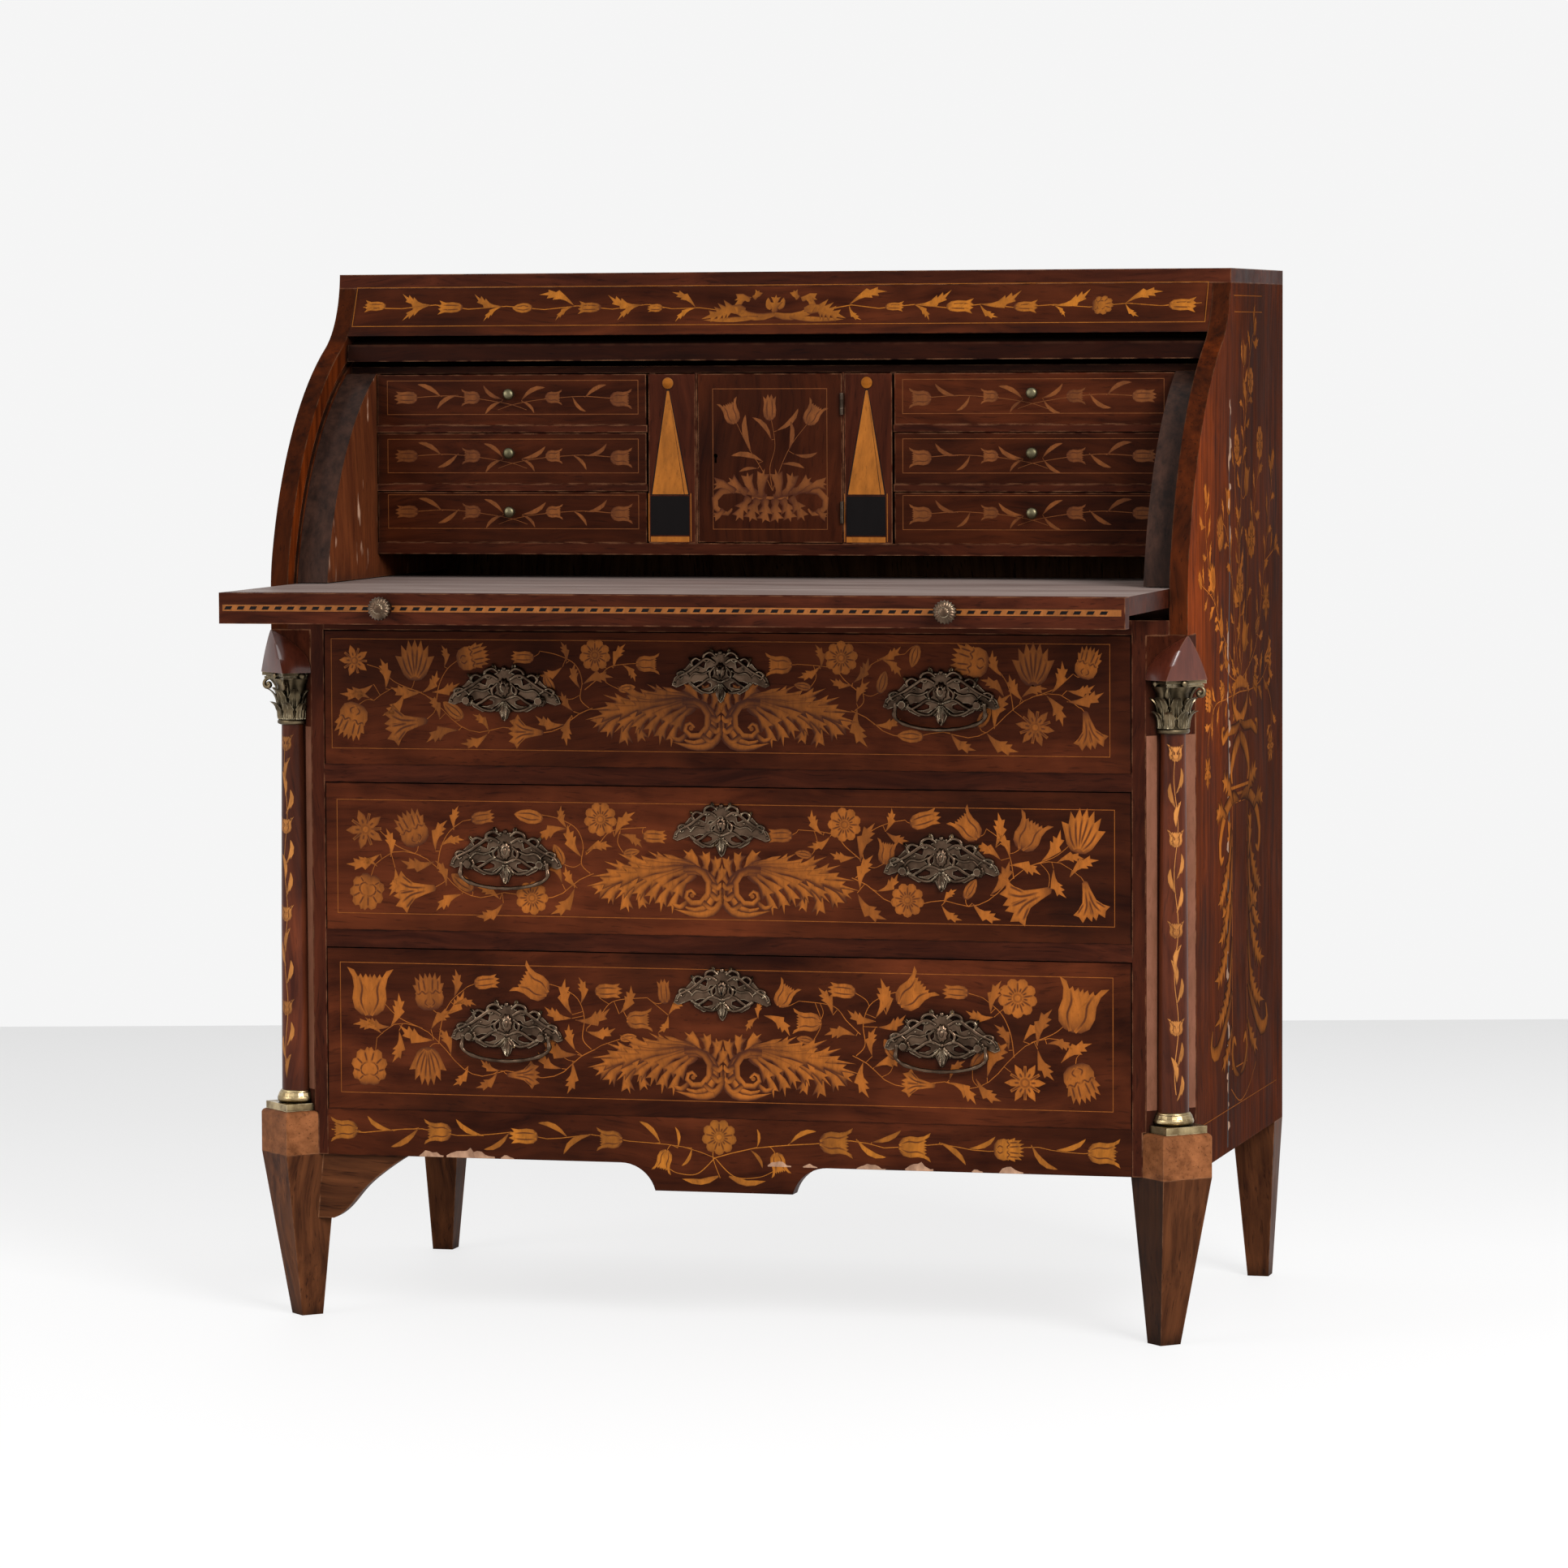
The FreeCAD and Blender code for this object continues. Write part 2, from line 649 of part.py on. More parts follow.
def make_bracket(leg):
    """The ogee bracket beside the left front leg, under the apron."""
    start_x = bracket_inset - half_width
    outline = [(start_x + bracket_length * u, case_bottom_z - bracket_height * v) for u, v in
               bracket_outline_shares]
    points = [V(x, bracket_front_y, z) for x, z in outline]
    curve = Part.BSplineCurve()
    curve.interpolate(points[1:])
    top_end = V(points[-1].x, bracket_front_y, case_bottom_z)
    top_start = V(points[0].x, bracket_front_y, case_bottom_z)
    wire = Part.Wire([
        Part.makeLine(top_start, points[0]), Part.makeLine(points[0], points[1]), curve.toShape(),
        Part.makeLine(points[-1], top_end), Part.makeLine(top_end, top_start)])
    board = Part.Face(wire).extrude(V(0, apron_thickness - bracket_front_y, 0))
    save("leg_bracket_left", board.cut(mirrored(leg)))


def divider(bottom_z, top_z):
    """A rail between two drawers, with the dust board behind it that the drawer runs on."""
    rail = box(-stile_inner_x, stile_inner_x, 0, post_depth, bottom_z, top_z)
    board = box(-inner_x, inner_x, post_depth, back_inner_y, top_z - dust_board_thickness, top_z)
    return rail.fuse(board).removeSplitter()


def make_dividers():
    save("drawer_rail_upper", divider(upper_rail_z, upper_runner_z))
    save("drawer_rail_lower", divider(lower_rail_z, middle_runner_z))
    top_z = lower_runner_z
    board = box(-inner_x, inner_x, apron_thickness, back_inner_y, top_z - bottom_board_thickness, top_z)
    block = block_prism()
    post = box(stile_inner_x, half_width, 0, post_depth, case_bottom_z, cap_top_z)
    save("bottom_board", board.cut(block).cut(mirrored(block)).cut(post).cut(mirrored(post)))


def make_guides():
    """Strips beside each long drawer, glued on the boards that the drawers run on."""
    guides = []
    inside = stile_inner_x - joint_gap - drawer_guide_gap
    for bottom_z in drawer_bottom_zs:
        z0 = bottom_z - running_gap
        guide = box(inside, inner_x, post_depth, back_inner_y, z0, z0 + drawer_guide_height)
        guides += [guide, mirrored(guide)]
    save("drawer_guides", *guides)


def tray(x0, x1, y0, y1, z0, z1, wall, floor):
    """An open-topped wooden box."""
    hollow = box(x0 + wall, x1 - wall, y0 + wall, y1 - wall, z0 + floor, z1 + cut_overrun)
    return box(x0, x1, y0, y1, z0, z1).cut(hollow)


def make_long_drawers():
    front_x = stile_inner_x - joint_gap
    box_x = front_x - 2 * drawer_guide_gap
    for number, (z0, z1) in enumerate(zip(drawer_bottom_zs, drawer_top_zs)):
        name = "drawer_" + str(number + 1)
        save(name + "_front", box(-front_x, front_x, 0, drawer_front_thickness, z0, z1))
        back_y = back_inner_y - drawer_back_gap
        save(name + "_box", tray(-box_x, box_x, drawer_front_thickness, back_y, z0, z1 - drawer_side_drop,
                                 drawer_side_thickness, drawer_floor_thickness))


def opening(centre, half_length, half_height):
    """A many-sided hole through a plate, close to an oval."""
    corners = []
    for u, v in ring_points(1, stud_sides):
        corners.append(V(centre.x + half_length * u, cut_overrun, centre.z + half_height * v))
    return flat_face(*corners).extrude(V(0, -plate_thickness - 2 * cut_overrun, 0))


def plate_shape(half_w, height, centre_x, centre_z):
    """A pierced cast plate: crest, scrolls, wings and a leaf below, the same on both sides."""
    right = [V(centre_x + half_w * u, 0, centre_z + height * v) for u, v in plate_outline_shares]
    left = [V(2 * centre_x - point.x, 0, point.z) for point in reversed(right[1:])]
    tip = V(centre_x, 0, centre_z + height * plate_tip_share)
    plate = flat_face(*right, tip, *left).extrude(V(0, -plate_thickness, 0))
    for u, v, length_share, height_share in plate_hole_shares:
        for side in (1, -1):
            centre = V(centre_x + side * half_w * u, 0, centre_z + height * v)
            plate = plate.cut(opening(centre, half_w * length_share, height * height_share))
    u, v, length_share, height_share = ring_hole_share
    centre = V(centre_x + half_w * u, 0, centre_z + height * v)
    return plate.cut(opening(centre, half_w * length_share, height * height_share))


def many_sided(radius, length, x, z, sides=stud_sides):
    """A many-sided stud that stands out from the drawer front."""
    corners = [V(x + dx, 0, z + dz) for dx, dz in ring_points(radius, sides)]
    return flat_face(*corners).extrude(V(0, -length, 0))


def handle_post(x, z):
    """A post on the plate, bored across for the end of the bail."""
    length = bail_axis_out + post_radius
    post = many_sided(post_radius, length, x, z)
    post = post.fuse(many_sided(post_foot_radius, plate_thickness, x, z))
    bore = Part.makeCylinder(bail_pin_radius + bail_pin_clearance, 4 * post_radius,
                             V(x - 2 * post_radius, -bail_axis_out, z), V(1, 0, 0))
    return post.cut(bore)


def bail_shape(centre_x, axis_z):
    """A swinging handle: two pins in the posts, two short arms and a bowed grip."""
    pin_end = bail_half_span - post_radius
    arm_x = bail_half_span + post_radius + bail_rod_radius + joint_gap
    drop = bail_drop - bail_rod_radius
    spine = [(arm_x * u, -drop * v) for u, v in bail_spine_shares]
    spine = [(-x, z) for x, z in spine] + [(x, z) for x, z in reversed(spine[:-1])]
    rings = []
    for number, (x, z) in enumerate(spine):
        before = spine[max(number - 1, 0)]
        after = spine[min(number + 1, len(spine) - 1)]
        slope = math.atan2(after[1] - before[1], after[0] - before[0])
        corners = []
        for across, out in ring_points(bail_rod_radius, stud_sides):
            corners.append(V(centre_x + x - across * math.sin(slope), out - bail_axis_out,
                             axis_z + z + across * math.cos(slope)))
        rings.append(corners)
    bow = flat_sided(rings)
    for side in (1, -1):
        start = V(centre_x + side * pin_end, -bail_axis_out, axis_z)
        bow = bow.fuse(Part.makeCylinder(bail_pin_radius, arm_x - pin_end, start, V(side, 0, 0)))
    return bow


def make_plates():
    """Back-plates with their posts, and the keyhole plates, one set for each long drawer."""
    for number, (plate_z, keyhole_plate_z) in enumerate(zip(plate_zs, escutcheon_zs)):
        solids = []
        for side in (-1, 1):
            plate = plate_shape(plate_half_width, plate_height, side * plate_x, plate_z)
            for post_side in (-1, 1):
                x = side * plate_x + post_side * bail_half_span
                plate = plate.fuse(handle_post(x, plate_z - bail_axis_drop))
            solids.append(plate.removeSplitter())
        escutcheon = plate_shape(escutcheon_half_width, escutcheon_height, 0, keyhole_plate_z)
        if number == 1:
            escutcheon = escutcheon.fuse(cover_pin(keyhole_plate_z))
        solids.append(escutcheon)
        save("drawer_" + str(number + 1) + "_plates", *solids)


def make_bails():
    """The four bails that are left on the desk."""
    for number, side in ((0, 1), (1, -1), (2, -1), (2, 1)):
        name = "bail_" + str(number + 1) + ("_right" if side == 1 else "_left")
        save(name, bail_shape(side * plate_x, plate_zs[number] - bail_axis_drop))


def cover_pivot(plate_z):
    return V(0, -plate_thickness, plate_z + escutcheon_height / 4)


def cover_pin(plate_z):
    """The headed pin on the middle keyhole plate, on which the cover swings."""
    pivot = cover_pivot(plate_z)
    neck = cover_thickness + 2 * cover_pin_clearance
    pin = Part.makeCylinder(cover_pin_radius, neck, pivot, V(0, -1, 0))
    head = Part.makeCylinder(cover_pin_radius * 2, cover_thickness / 2, pivot + V(0, -neck, 0), V(0, -1, 0))
    return pin.fuse(head)


def make_cover():
    """The drop-shaped keyhole cover, swung to the left as it hangs on the desk."""
    pivot = cover_pivot(escutcheon_zs[1])
    plate_y = pivot.y - cover_pin_clearance
    eye = V(pivot.x, plate_y, pivot.z)
    end = V(pivot.x, plate_y, pivot.z - cover_length + cover_width / 2)
    lower = many_sided(cover_width / 2, cover_thickness, end.x, end.z, knob_sides)
    upper = many_sided(cover_width / 3, cover_thickness, eye.x, eye.z, knob_sides)
    shape = lower.fuse(upper).translated(V(0, plate_y, 0))
    web = Part.makeBox(cover_width / 2, cover_thickness, eye.z - end.z,
                       V(eye.x - cover_width / 4, plate_y - cover_thickness, end.z))
    shape = shape.fuse(web)
    bore = Part.makeCylinder(cover_pin_radius + cover_pin_clearance, cover_thickness + 2 * cut_overrun,
                             eye + V(0, cut_overrun, 0), V(0, -1, 0))
    shape = shape.cut(bore)
    shape.rotate(pivot, V(0, 1, 0), cover_angle)
    save("keyhole_cover", shape)


def make_slide():
    """The writing slide, drawn out as in use: board, fascia and two turned knobs."""
    x = inner_x - slide_side_gap
    front_y = -slide_out
    board_y = front_y + slide_fascia_thickness
    board_end = back_inner_y - slide_back_gap - slide_out
    save("slide_board", box(-x, x, board_y, board_end, slide_board_bottom_z, slide_top_z))
    save("slide_fascia", box(-x, x, front_y, board_y, slide_bed_top_z + running_gap, slide_top_z))
    knobs = []
    for side in (-1, 1):
        knob = turned_knob(slide_knob_shares, slide_knob_radius, slide_knob_length)
        knobs.append(knob.translated(V(side * slide_knob_x, front_y, slide_top_z - slide_knob_drop)))
    save("slide_knobs", *knobs)


def turned_knob(shares, radius, length):
    """A knob turned on an axis that points to the front, seated on the plane Y = 0."""
    knob = facet_turned([(radius * r, length * s) for s, r in shares], knob_sides, 0, 0)
    knob.rotate(V(0, 0, 0), V(1, 0, 0), 90)
    return knob


def make_slide_bed():
    """The board above the top drawer, with a runner on each side for the slide."""
    rail = box(-stile_inner_x, stile_inner_x, 0, post_depth, slide_bed_bottom_z, slide_bed_top_z)
    board = box(-inner_x, inner_x, post_depth, back_inner_y, slide_bed_bottom_z, slide_bed_top_z)
    start_y = slide_fascia_thickness + joint_gap
    runner_top = slide_board_bottom_z - running_gap
    runner = box(inner_x - slide_runner_width, inner_x, start_y, back_inner_y, slide_bed_top_z, runner_top)
    save("slide_bed", rail.fuse(board).removeSplitter(), runner, mirrored(runner))


def rail_section():
    """The lower rail of the fall from its end: a level sole, and a rounded lip in front."""
    sole = arc_point(lip_radius, fall_open_angle)
    heel_turn = math.degrees(math.asin((sole.z - pivot_z) / fall_inner_radius))
    heel = arc_point(fall_inner_radius, heel_turn)
    nose = arc_point(nose_radius, nose_angle)
    shoulder = arc_point(fall_outer_radius, nose_angle + (nose_angle - fall_open_angle) / 2)
    outer_end = arc_point(fall_outer_radius, rail_end_angle)
    inner_end = arc_point(fall_inner_radius, rail_end_angle)
    pivot = V(0, pivot_y, pivot_z)
    edges = [Part.makeLine(sole, nose), Part.makeLine(nose, shoulder),
             along_arc(pivot, fall_outer_radius, shoulder, outer_end), Part.makeLine(outer_end, inner_end),
             along_arc(pivot, fall_inner_radius, inner_end, heel), Part.makeLine(heel, sole)]
    return Part.Wire(edges), nose


def make_fall():
    """The cylinder fall, pushed open: coopered shell with tongues, and its lower rail."""
    x = inner_x - fall_side_gap
    shell = ring_sector(fall_inner_radius, fall_outer_radius, rail_end_angle, fall_top_angle, -x, x)
    tongue = ring_sector(tongue_inner_radius, tongue_inner_radius + tongue_thickness, rail_end_angle,
                         fall_top_angle, x, x + tongue_length)
    save("fall_shell", shell.fuse(tongue).fuse(mirrored(tongue)))
    section, nose = rail_section()
    rail = prism_x(section, -x, x)
    long_edges = [edge for edge in rail.Edges if edge.BoundBox.XLength > x]
    worn = [edge for edge in long_edges if abs(edge.BoundBox.YMin - nose.y) < running_gap and
            abs(edge.BoundBox.ZMin - nose.z) < running_gap]
    save("fall_rail", rail.makeFillet(nose_rounding, worn))


def make_cheeks():
    """The inner walls of the writing space; the fall passes over their curved edges."""
    pivot = V(0, pivot_y, pivot_z)
    foot = V(0, pivot_y - math.sqrt(cheek_radius ** 2 - (cheek_bottom_z - pivot_z) ** 2), cheek_bottom_z)
    top = V(0, pivot_y - math.sqrt(cheek_radius ** 2 - (gallery_top_z - pivot_z) ** 2), gallery_top_z)
    back_top = V(0, gallery_back_y, gallery_top_z)
    back_foot = V(0, gallery_back_y, cheek_bottom_z)
    wire = Part.Wire([along_arc(pivot, cheek_radius, foot, top), Part.makeLine(top, back_top),
                      Part.makeLine(back_top, back_foot), Part.makeLine(back_foot, foot)])
    save_both("cheeks", prism_x(wire, cheek_inner_x, inner_x))


def hinge_axis():
    """The upright axis of the cupboard door, just in front of its right edge."""
    x = cupboard_half_width - gallery_front_gap / 2
    return x, gallery_front_y - hinge_knuckle_radius - gallery_front_gap / 4


def fixed_leaf(z):
    """The hinge leaf let into the partition."""
    x0 = cupboard_half_width
    half = hinge_length / 2
    y = hinge_axis()[1]
    return box(x0, x0 + hinge_leaf_thickness, y, y + hinge_leaf_depth, z - half, z + half)


def door_leaf(z):
    """The hinge leaf let into the edge of the door."""
    x1 = cupboard_half_width - gallery_front_gap
    half = hinge_middle_length / 2 - running_gap
    y = hinge_axis()[1]
    return box(x1 - hinge_leaf_thickness, x1, y, y + hinge_leaf_depth, z - half, z + half)


def make_hinges():
    """Butt hinges: end knuckles and pin stay on the gallery, the middle one moves."""
    x, y = hinge_axis()
    fixed, moving = [], []
    outline = [(x + dx, y + dy) for dx, dy in ring_points(hinge_knuckle_radius, knob_sides)]
    middle = hinge_middle_length - 2 * running_gap
    for z in hinge_zs:
        low, high = z - hinge_length / 2, z + hinge_length / 2
        barrel = prism_z(outline, low, high)
        pin = Part.makeCylinder(hinge_pin_radius, hinge_length / 2, V(x, y, z - hinge_length / 4))
        fixed.append(barrel.fuse(fixed_leaf(z)).cut(ring_window(x, y, z)).fuse(pin))
        ring = prism_z(outline, z - middle / 2, z + middle / 2)
        bore = Part.makeCylinder(hinge_pin_radius + hinge_pin_clearance, hinge_length, V(x, y, low))
        moving.append(ring.fuse(door_leaf(z)).cut(bore))
    save("door_hinge_fixed", *fixed)
    save("door_hinge_moving", *moving)


def ring_window(x, y, z):
    """Room between the end knuckles and in the fixed leaf for the moving knuckle to turn."""
    reach = hinge_knuckle_radius + running_gap
    half = hinge_middle_length / 2
    return box(x - reach, x + reach, y - reach, y + reach, z - half, z + half)


def make_gallery_frame():
    """Base, top, back, partitions and shelves of the gallery."""
    save("gallery_base", box(-cheek_inner_x, cheek_inner_x, gallery_front_y, gallery_back_y, gallery_base_z,
                             gallery_floor_z))
    save("gallery_top", box(-inner_x, inner_x, gallery_top_front_y, gallery_back_y, gallery_top_z,
                            gallery_top_z + gallery_top_thickness))
    back_y = gallery_back_y - gallery_back_thickness
    save("gallery_back", box(-cheek_inner_x, cheek_inner_x, back_y, gallery_back_y, gallery_floor_z,
                             gallery_top_z))
    partition_y = gallery_front_y + gallery_front_thickness + joint_gap
    outer = box(bank_inner_x - partition_thickness, bank_inner_x, partition_y, back_y, gallery_floor_z,
                gallery_top_z)
    plain = box(cupboard_half_width, cupboard_half_width + partition_thickness, gallery_front_y, back_y,
                gallery_floor_z, gallery_top_z)
    behind = box(pilaster_inner_x - gallery_front_gap, bank_inner_x, 0, partition_y, gallery_floor_z,
                 gallery_top_z)
    plain = plain.cut(behind)
    hinged = plain
    for z in hinge_zs:
        hinged = hinged.cut(fixed_leaf(z))
    save("gallery_partitions", outer, hinged, mirrored(outer), mirrored(plain))
    shelves = []
    for row in range(1, small_drawer_rows):
        z1 = row_bottom(row) - running_gap
        shelf = box(bank_inner_x, cheek_inner_x, gallery_front_y, back_y, z1 - shelf_thickness, z1)
        shelves += [shelf, mirrored(shelf)]
    save("gallery_shelves", *shelves)


def row_height():
    """Height of each small drawer's opening."""
    free = gallery_top_z - gallery_floor_z - (small_drawer_rows - 1) * shelf_thickness
    return free / small_drawer_rows


def row_bottom(row):
    """The lower edge of a small drawer, with row 0 at the bottom."""
    return gallery_floor_z + row * (row_height() + shelf_thickness) + running_gap


def make_small_drawers():
    """Six small drawers: front, tray and a round knob each."""
    front_y = gallery_front_y
    tray_y = front_y + gallery_front_thickness
    back_y = gallery_back_y - gallery_back_thickness - tray_back_gap
    x0 = bank_inner_x + joint_gap
    x1 = cheek_inner_x - joint_gap
    for row, name in enumerate(["bottom", "middle", "top"]):
        z0 = row_bottom(row)
        z1 = z0 + row_height() - running_gap - joint_gap
        front = box(x0, x1, front_y, tray_y, z0, z1)
        body = tray(x0, x1, tray_y, back_y, z0, z1 - tray_wall, tray_wall, tray_wall)
        knob = turned_knob(small_knob_shares, small_knob_radius, small_knob_length)
        knob = knob.translated(V((x0 + x1) / 2, front_y, (z0 + z1) / 2 + small_knob_rise))
        save("small_drawer_right_" + name, front, body, knob)
        save("small_drawer_left_" + name, mirrored(front), mirrored(body), mirrored(knob))


def make_document_boxes():
    """Two narrow upright boxes that slide out behind the pilasters."""
    z0 = gallery_floor_z + running_gap
    z1 = gallery_top_z - joint_gap
    tray_y = gallery_front_y + gallery_front_thickness
    back_y = gallery_back_y - gallery_back_thickness - tray_back_gap
    front = box(pilaster_inner_x, pilaster_outer_x, gallery_front_y, tray_y, z0, z1)
    x0 = cupboard_half_width + partition_thickness + running_gap
    x1 = bank_inner_x - partition_thickness - running_gap
    body = tray(x0, x1, tray_y, back_y, z0, z1 - tray_wall, tray_wall, tray_wall)
    save_pair("document_box", Part.makeCompound([front, body]))


def make_cupboard_door():
    """The door in the middle of the gallery, with its keyhole on the left."""
    x = cupboard_half_width - gallery_front_gap
    z0 = gallery_floor_z + joint_gap
    z1 = gallery_top_z - joint_gap
    door = box(-x, x, gallery_front_y, gallery_front_y + door_thickness, z0, z1)
    for z in hinge_zs:
        door = door.cut(door_leaf(z))
    keyhole_z = (gallery_floor_z + gallery_top_z) / 2 + keyhole_rise
    start = V(keyhole_inset - cupboard_half_width, gallery_front_y - cut_overrun, keyhole_z)
    depth = door_thickness + 2 * cut_overrun
    hole = Part.makeCylinder(keyhole_radius, depth, start, V(0, 1, 0))
    slot = box(start.x - keyhole_radius / 2, start.x + keyhole_radius / 2, start.y, start.y + depth,
               start.z - keyhole_slot, start.z)
    save("cupboard_door", door.cut(hole.fuse(slot)))


os.makedirs("parts", exist_ok=True)
make_sides()
make_top_and_back()
make_frieze()
make_corner_posts()
make_caps()
make_capitals()
make_columns()
make_column_bases()
make_foot_blocks()
make_legs()
make_apron()
make_dividers()
make_guides()
make_long_drawers()
make_plates()
make_bails()
make_cover()
make_slide()
make_slide_bed()
make_fall()
make_cheeks()
make_gallery_frame()
make_hinges()
make_small_drawers()
make_document_boxes()
make_cupboard_door()
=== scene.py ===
"""Roll-top bureau: wood finishes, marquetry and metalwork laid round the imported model."""

import math
import random

import bmesh
import bpy
from mathutils import Matrix, Vector


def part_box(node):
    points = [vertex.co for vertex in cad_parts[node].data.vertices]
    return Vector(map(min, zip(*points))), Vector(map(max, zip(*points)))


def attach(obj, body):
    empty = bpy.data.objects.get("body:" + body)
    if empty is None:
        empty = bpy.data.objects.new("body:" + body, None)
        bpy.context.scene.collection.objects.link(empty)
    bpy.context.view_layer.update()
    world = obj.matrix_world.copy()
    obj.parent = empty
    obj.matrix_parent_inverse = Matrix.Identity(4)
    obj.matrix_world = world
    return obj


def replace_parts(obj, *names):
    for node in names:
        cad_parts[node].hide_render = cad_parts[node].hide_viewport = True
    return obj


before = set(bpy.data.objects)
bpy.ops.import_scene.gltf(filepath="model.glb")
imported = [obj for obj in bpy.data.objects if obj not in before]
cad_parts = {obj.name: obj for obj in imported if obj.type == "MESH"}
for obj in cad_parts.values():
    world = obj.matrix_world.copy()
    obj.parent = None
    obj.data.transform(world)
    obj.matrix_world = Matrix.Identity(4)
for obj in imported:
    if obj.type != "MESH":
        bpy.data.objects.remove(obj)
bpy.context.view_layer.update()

bl_info = {
    "name": "Roll-top bureau finishes",
    "version": (1, 0, 0),
    "blender": (4, 5, 0),
    "location": "View3D > Sidebar > Bureau",
    "description": "Dresses the bureau's frame with mahogany, marquetry and old brass",
    "category": "Object",
}

MM = 0.001

# The front plane of the drawers, and where the canted corners start on it, in millimetres
FRONT_Y = -156.5
CANT_INNER = 471.0

# A point on the axis that the fall turns about, in metres
FALL_AXIS = (0.0, 0.2075, 0.744)

# The stringing's width, the heights of veneer and stems above the wood, and the veneer's thickness
STRING_WIDTH = 0.75
VENEER_LIFT = 0.07
VENEER_STEP = 0.006
VENEER_FINE_STEP = 0.0006
VENEER_DEPTH = 0.3
STEM_LIFT = 0.03
STEM_FINE_STEP = 0.001


# Node graphs


def add_node(tree, kind, inputs=None, **settings):
    """Adds a node; an input is given a value or linked from a socket."""
    made = tree.nodes.new(kind)
    for name, value in settings.items():
        setattr(made, name, value)
    for name, value in (inputs or {}).items():
        if isinstance(value, bpy.types.NodeSocket):
            tree.links.new(value, made.inputs[name])
        else:
            made.inputs[name].default_value = value
    return made


def new_group(name, inputs, outputs):
    """A shader node group with named sockets: (label, kind, default) in, (label, kind) out."""
    tree = bpy.data.node_groups.new(name, "ShaderNodeTree")
    for label, kind, value in inputs:
        socket = tree.interface.new_socket(label, in_out="INPUT", socket_type=f"NodeSocket{kind}")
        socket.default_value = value
    for label, kind in outputs:
        tree.interface.new_socket(label, in_out="OUTPUT", socket_type=f"NodeSocket{kind}")
    return tree, tree.nodes.new("NodeGroupInput").outputs, tree.nodes.new("NodeGroupOutput").inputs


def use_group(tree, name, **values):
    """Places a group in a material with its own values and returns its outputs."""
    made = tree.nodes.new("ShaderNodeGroup")
    made.node_tree = bpy.data.node_groups[name]
    for label, value in values.items():
        made.inputs[label.replace("_", " ")].default_value = value
    return made.outputs


def maths(tree, operation, first, second=0.0, clamp=False):
    """One step of arithmetic on two values."""
    made = add_node(tree, "ShaderNodeMath", {0: first, 1: second}, operation=operation, use_clamp=clamp)
    return made.outputs[0]


def spread(tree, value, low, high, to_low=0.0, to_high=1.0):
    """Maps a value from low..high to to_low..to_high, held at the ends."""
    given = {"Value": value, "From Min": low, "From Max": high, "To Min": to_low, "To Max": to_high}
    return add_node(tree, "ShaderNodeMapRange", given).outputs[0]


def blend_colours(tree, share, first, second):
    """A colour between two others: the first at share 0, the second at share 1."""
    made = add_node(tree, "ShaderNodeMix", data_type="RGBA")
    for socket, value in ((0, share), (6, first), (7, second)):
        if isinstance(value, bpy.types.NodeSocket):
            tree.links.new(value, made.inputs[socket])
        else:
            made.inputs[socket].default_value = value
    return made.outputs[2]


def vector_maths(tree, operation, first, second):
    """One step of arithmetic on two vectors; a dot product gives a value."""
    made = add_node(tree, "ShaderNodeVectorMath", {0: first, 1: second}, operation=operation)
    return made.outputs["Value" if operation == "DOT_PRODUCT" else "Vector"]


def facing(tree):
    """The direction a face looks in, as x, y and z."""
    normal = add_node(tree, "ShaderNodeNewGeometry").outputs["Normal"]
    return add_node(tree, "ShaderNodeSeparateXYZ", {0: normal}).outputs


def tint(tree, shader, share, colour):
    """Blends another colour over the one that a finish has."""
    colour_in = shader.inputs["Base Color"]
    old = colour_in.links[0].from_socket
    tree.links.new(blend_colours(tree, share, old, colour), colour_in)


def emboss(tree, shader, height, strength, depth):
    """Bends the surface's normals as a height would."""
    raised = add_node(tree, "ShaderNodeBump", {"Height": height, "Strength": strength, "Distance": depth})
    tree.links.new(raised.outputs[0], shader.inputs["Normal"])


def noise(tree, place, scale, detail=2.0, roughness=0.5):
    given = {"Vector": place, "Scale": scale, "Detail": detail, "Roughness": roughness}
    return add_node(tree, "ShaderNodeTexNoise", given).outputs[0]


# Colours of the grain's slow clouds, of open pores, of rubbed wood, and of grime and painted shade
CLOUD = (0.004, 0.001, 0.0006, 1.0)
PORE = (0.002, 0.001, 0.001, 1.0)
WORN_WOOD = (0.24, 0.105, 0.05, 1.0)
GRIME_AND_SHADE = (0.006, 0.004, 0.003, 1.0)

# How the grain is drawn out along each axis
STRETCH = {"x": (0.06, 1.0, 1.0), "z": (1.0, 1.0, 0.06)}


def own_place(tree):
    """Object coordinates moved by a step of each piece's own, so no two boards share a figure."""
    where = add_node(tree, "ShaderNodeTexCoord").outputs["Object"]
    chance = add_node(tree, "ShaderNodeObjectInfo").outputs["Random"]
    step = add_node(tree, "ShaderNodeVectorMath", {0: (3.1, 5.7, 4.3)}, operation="SCALE")
    tree.links.new(chance, step.inputs["Scale"])
    return vector_maths(tree, "ADD", where, step.outputs[0])


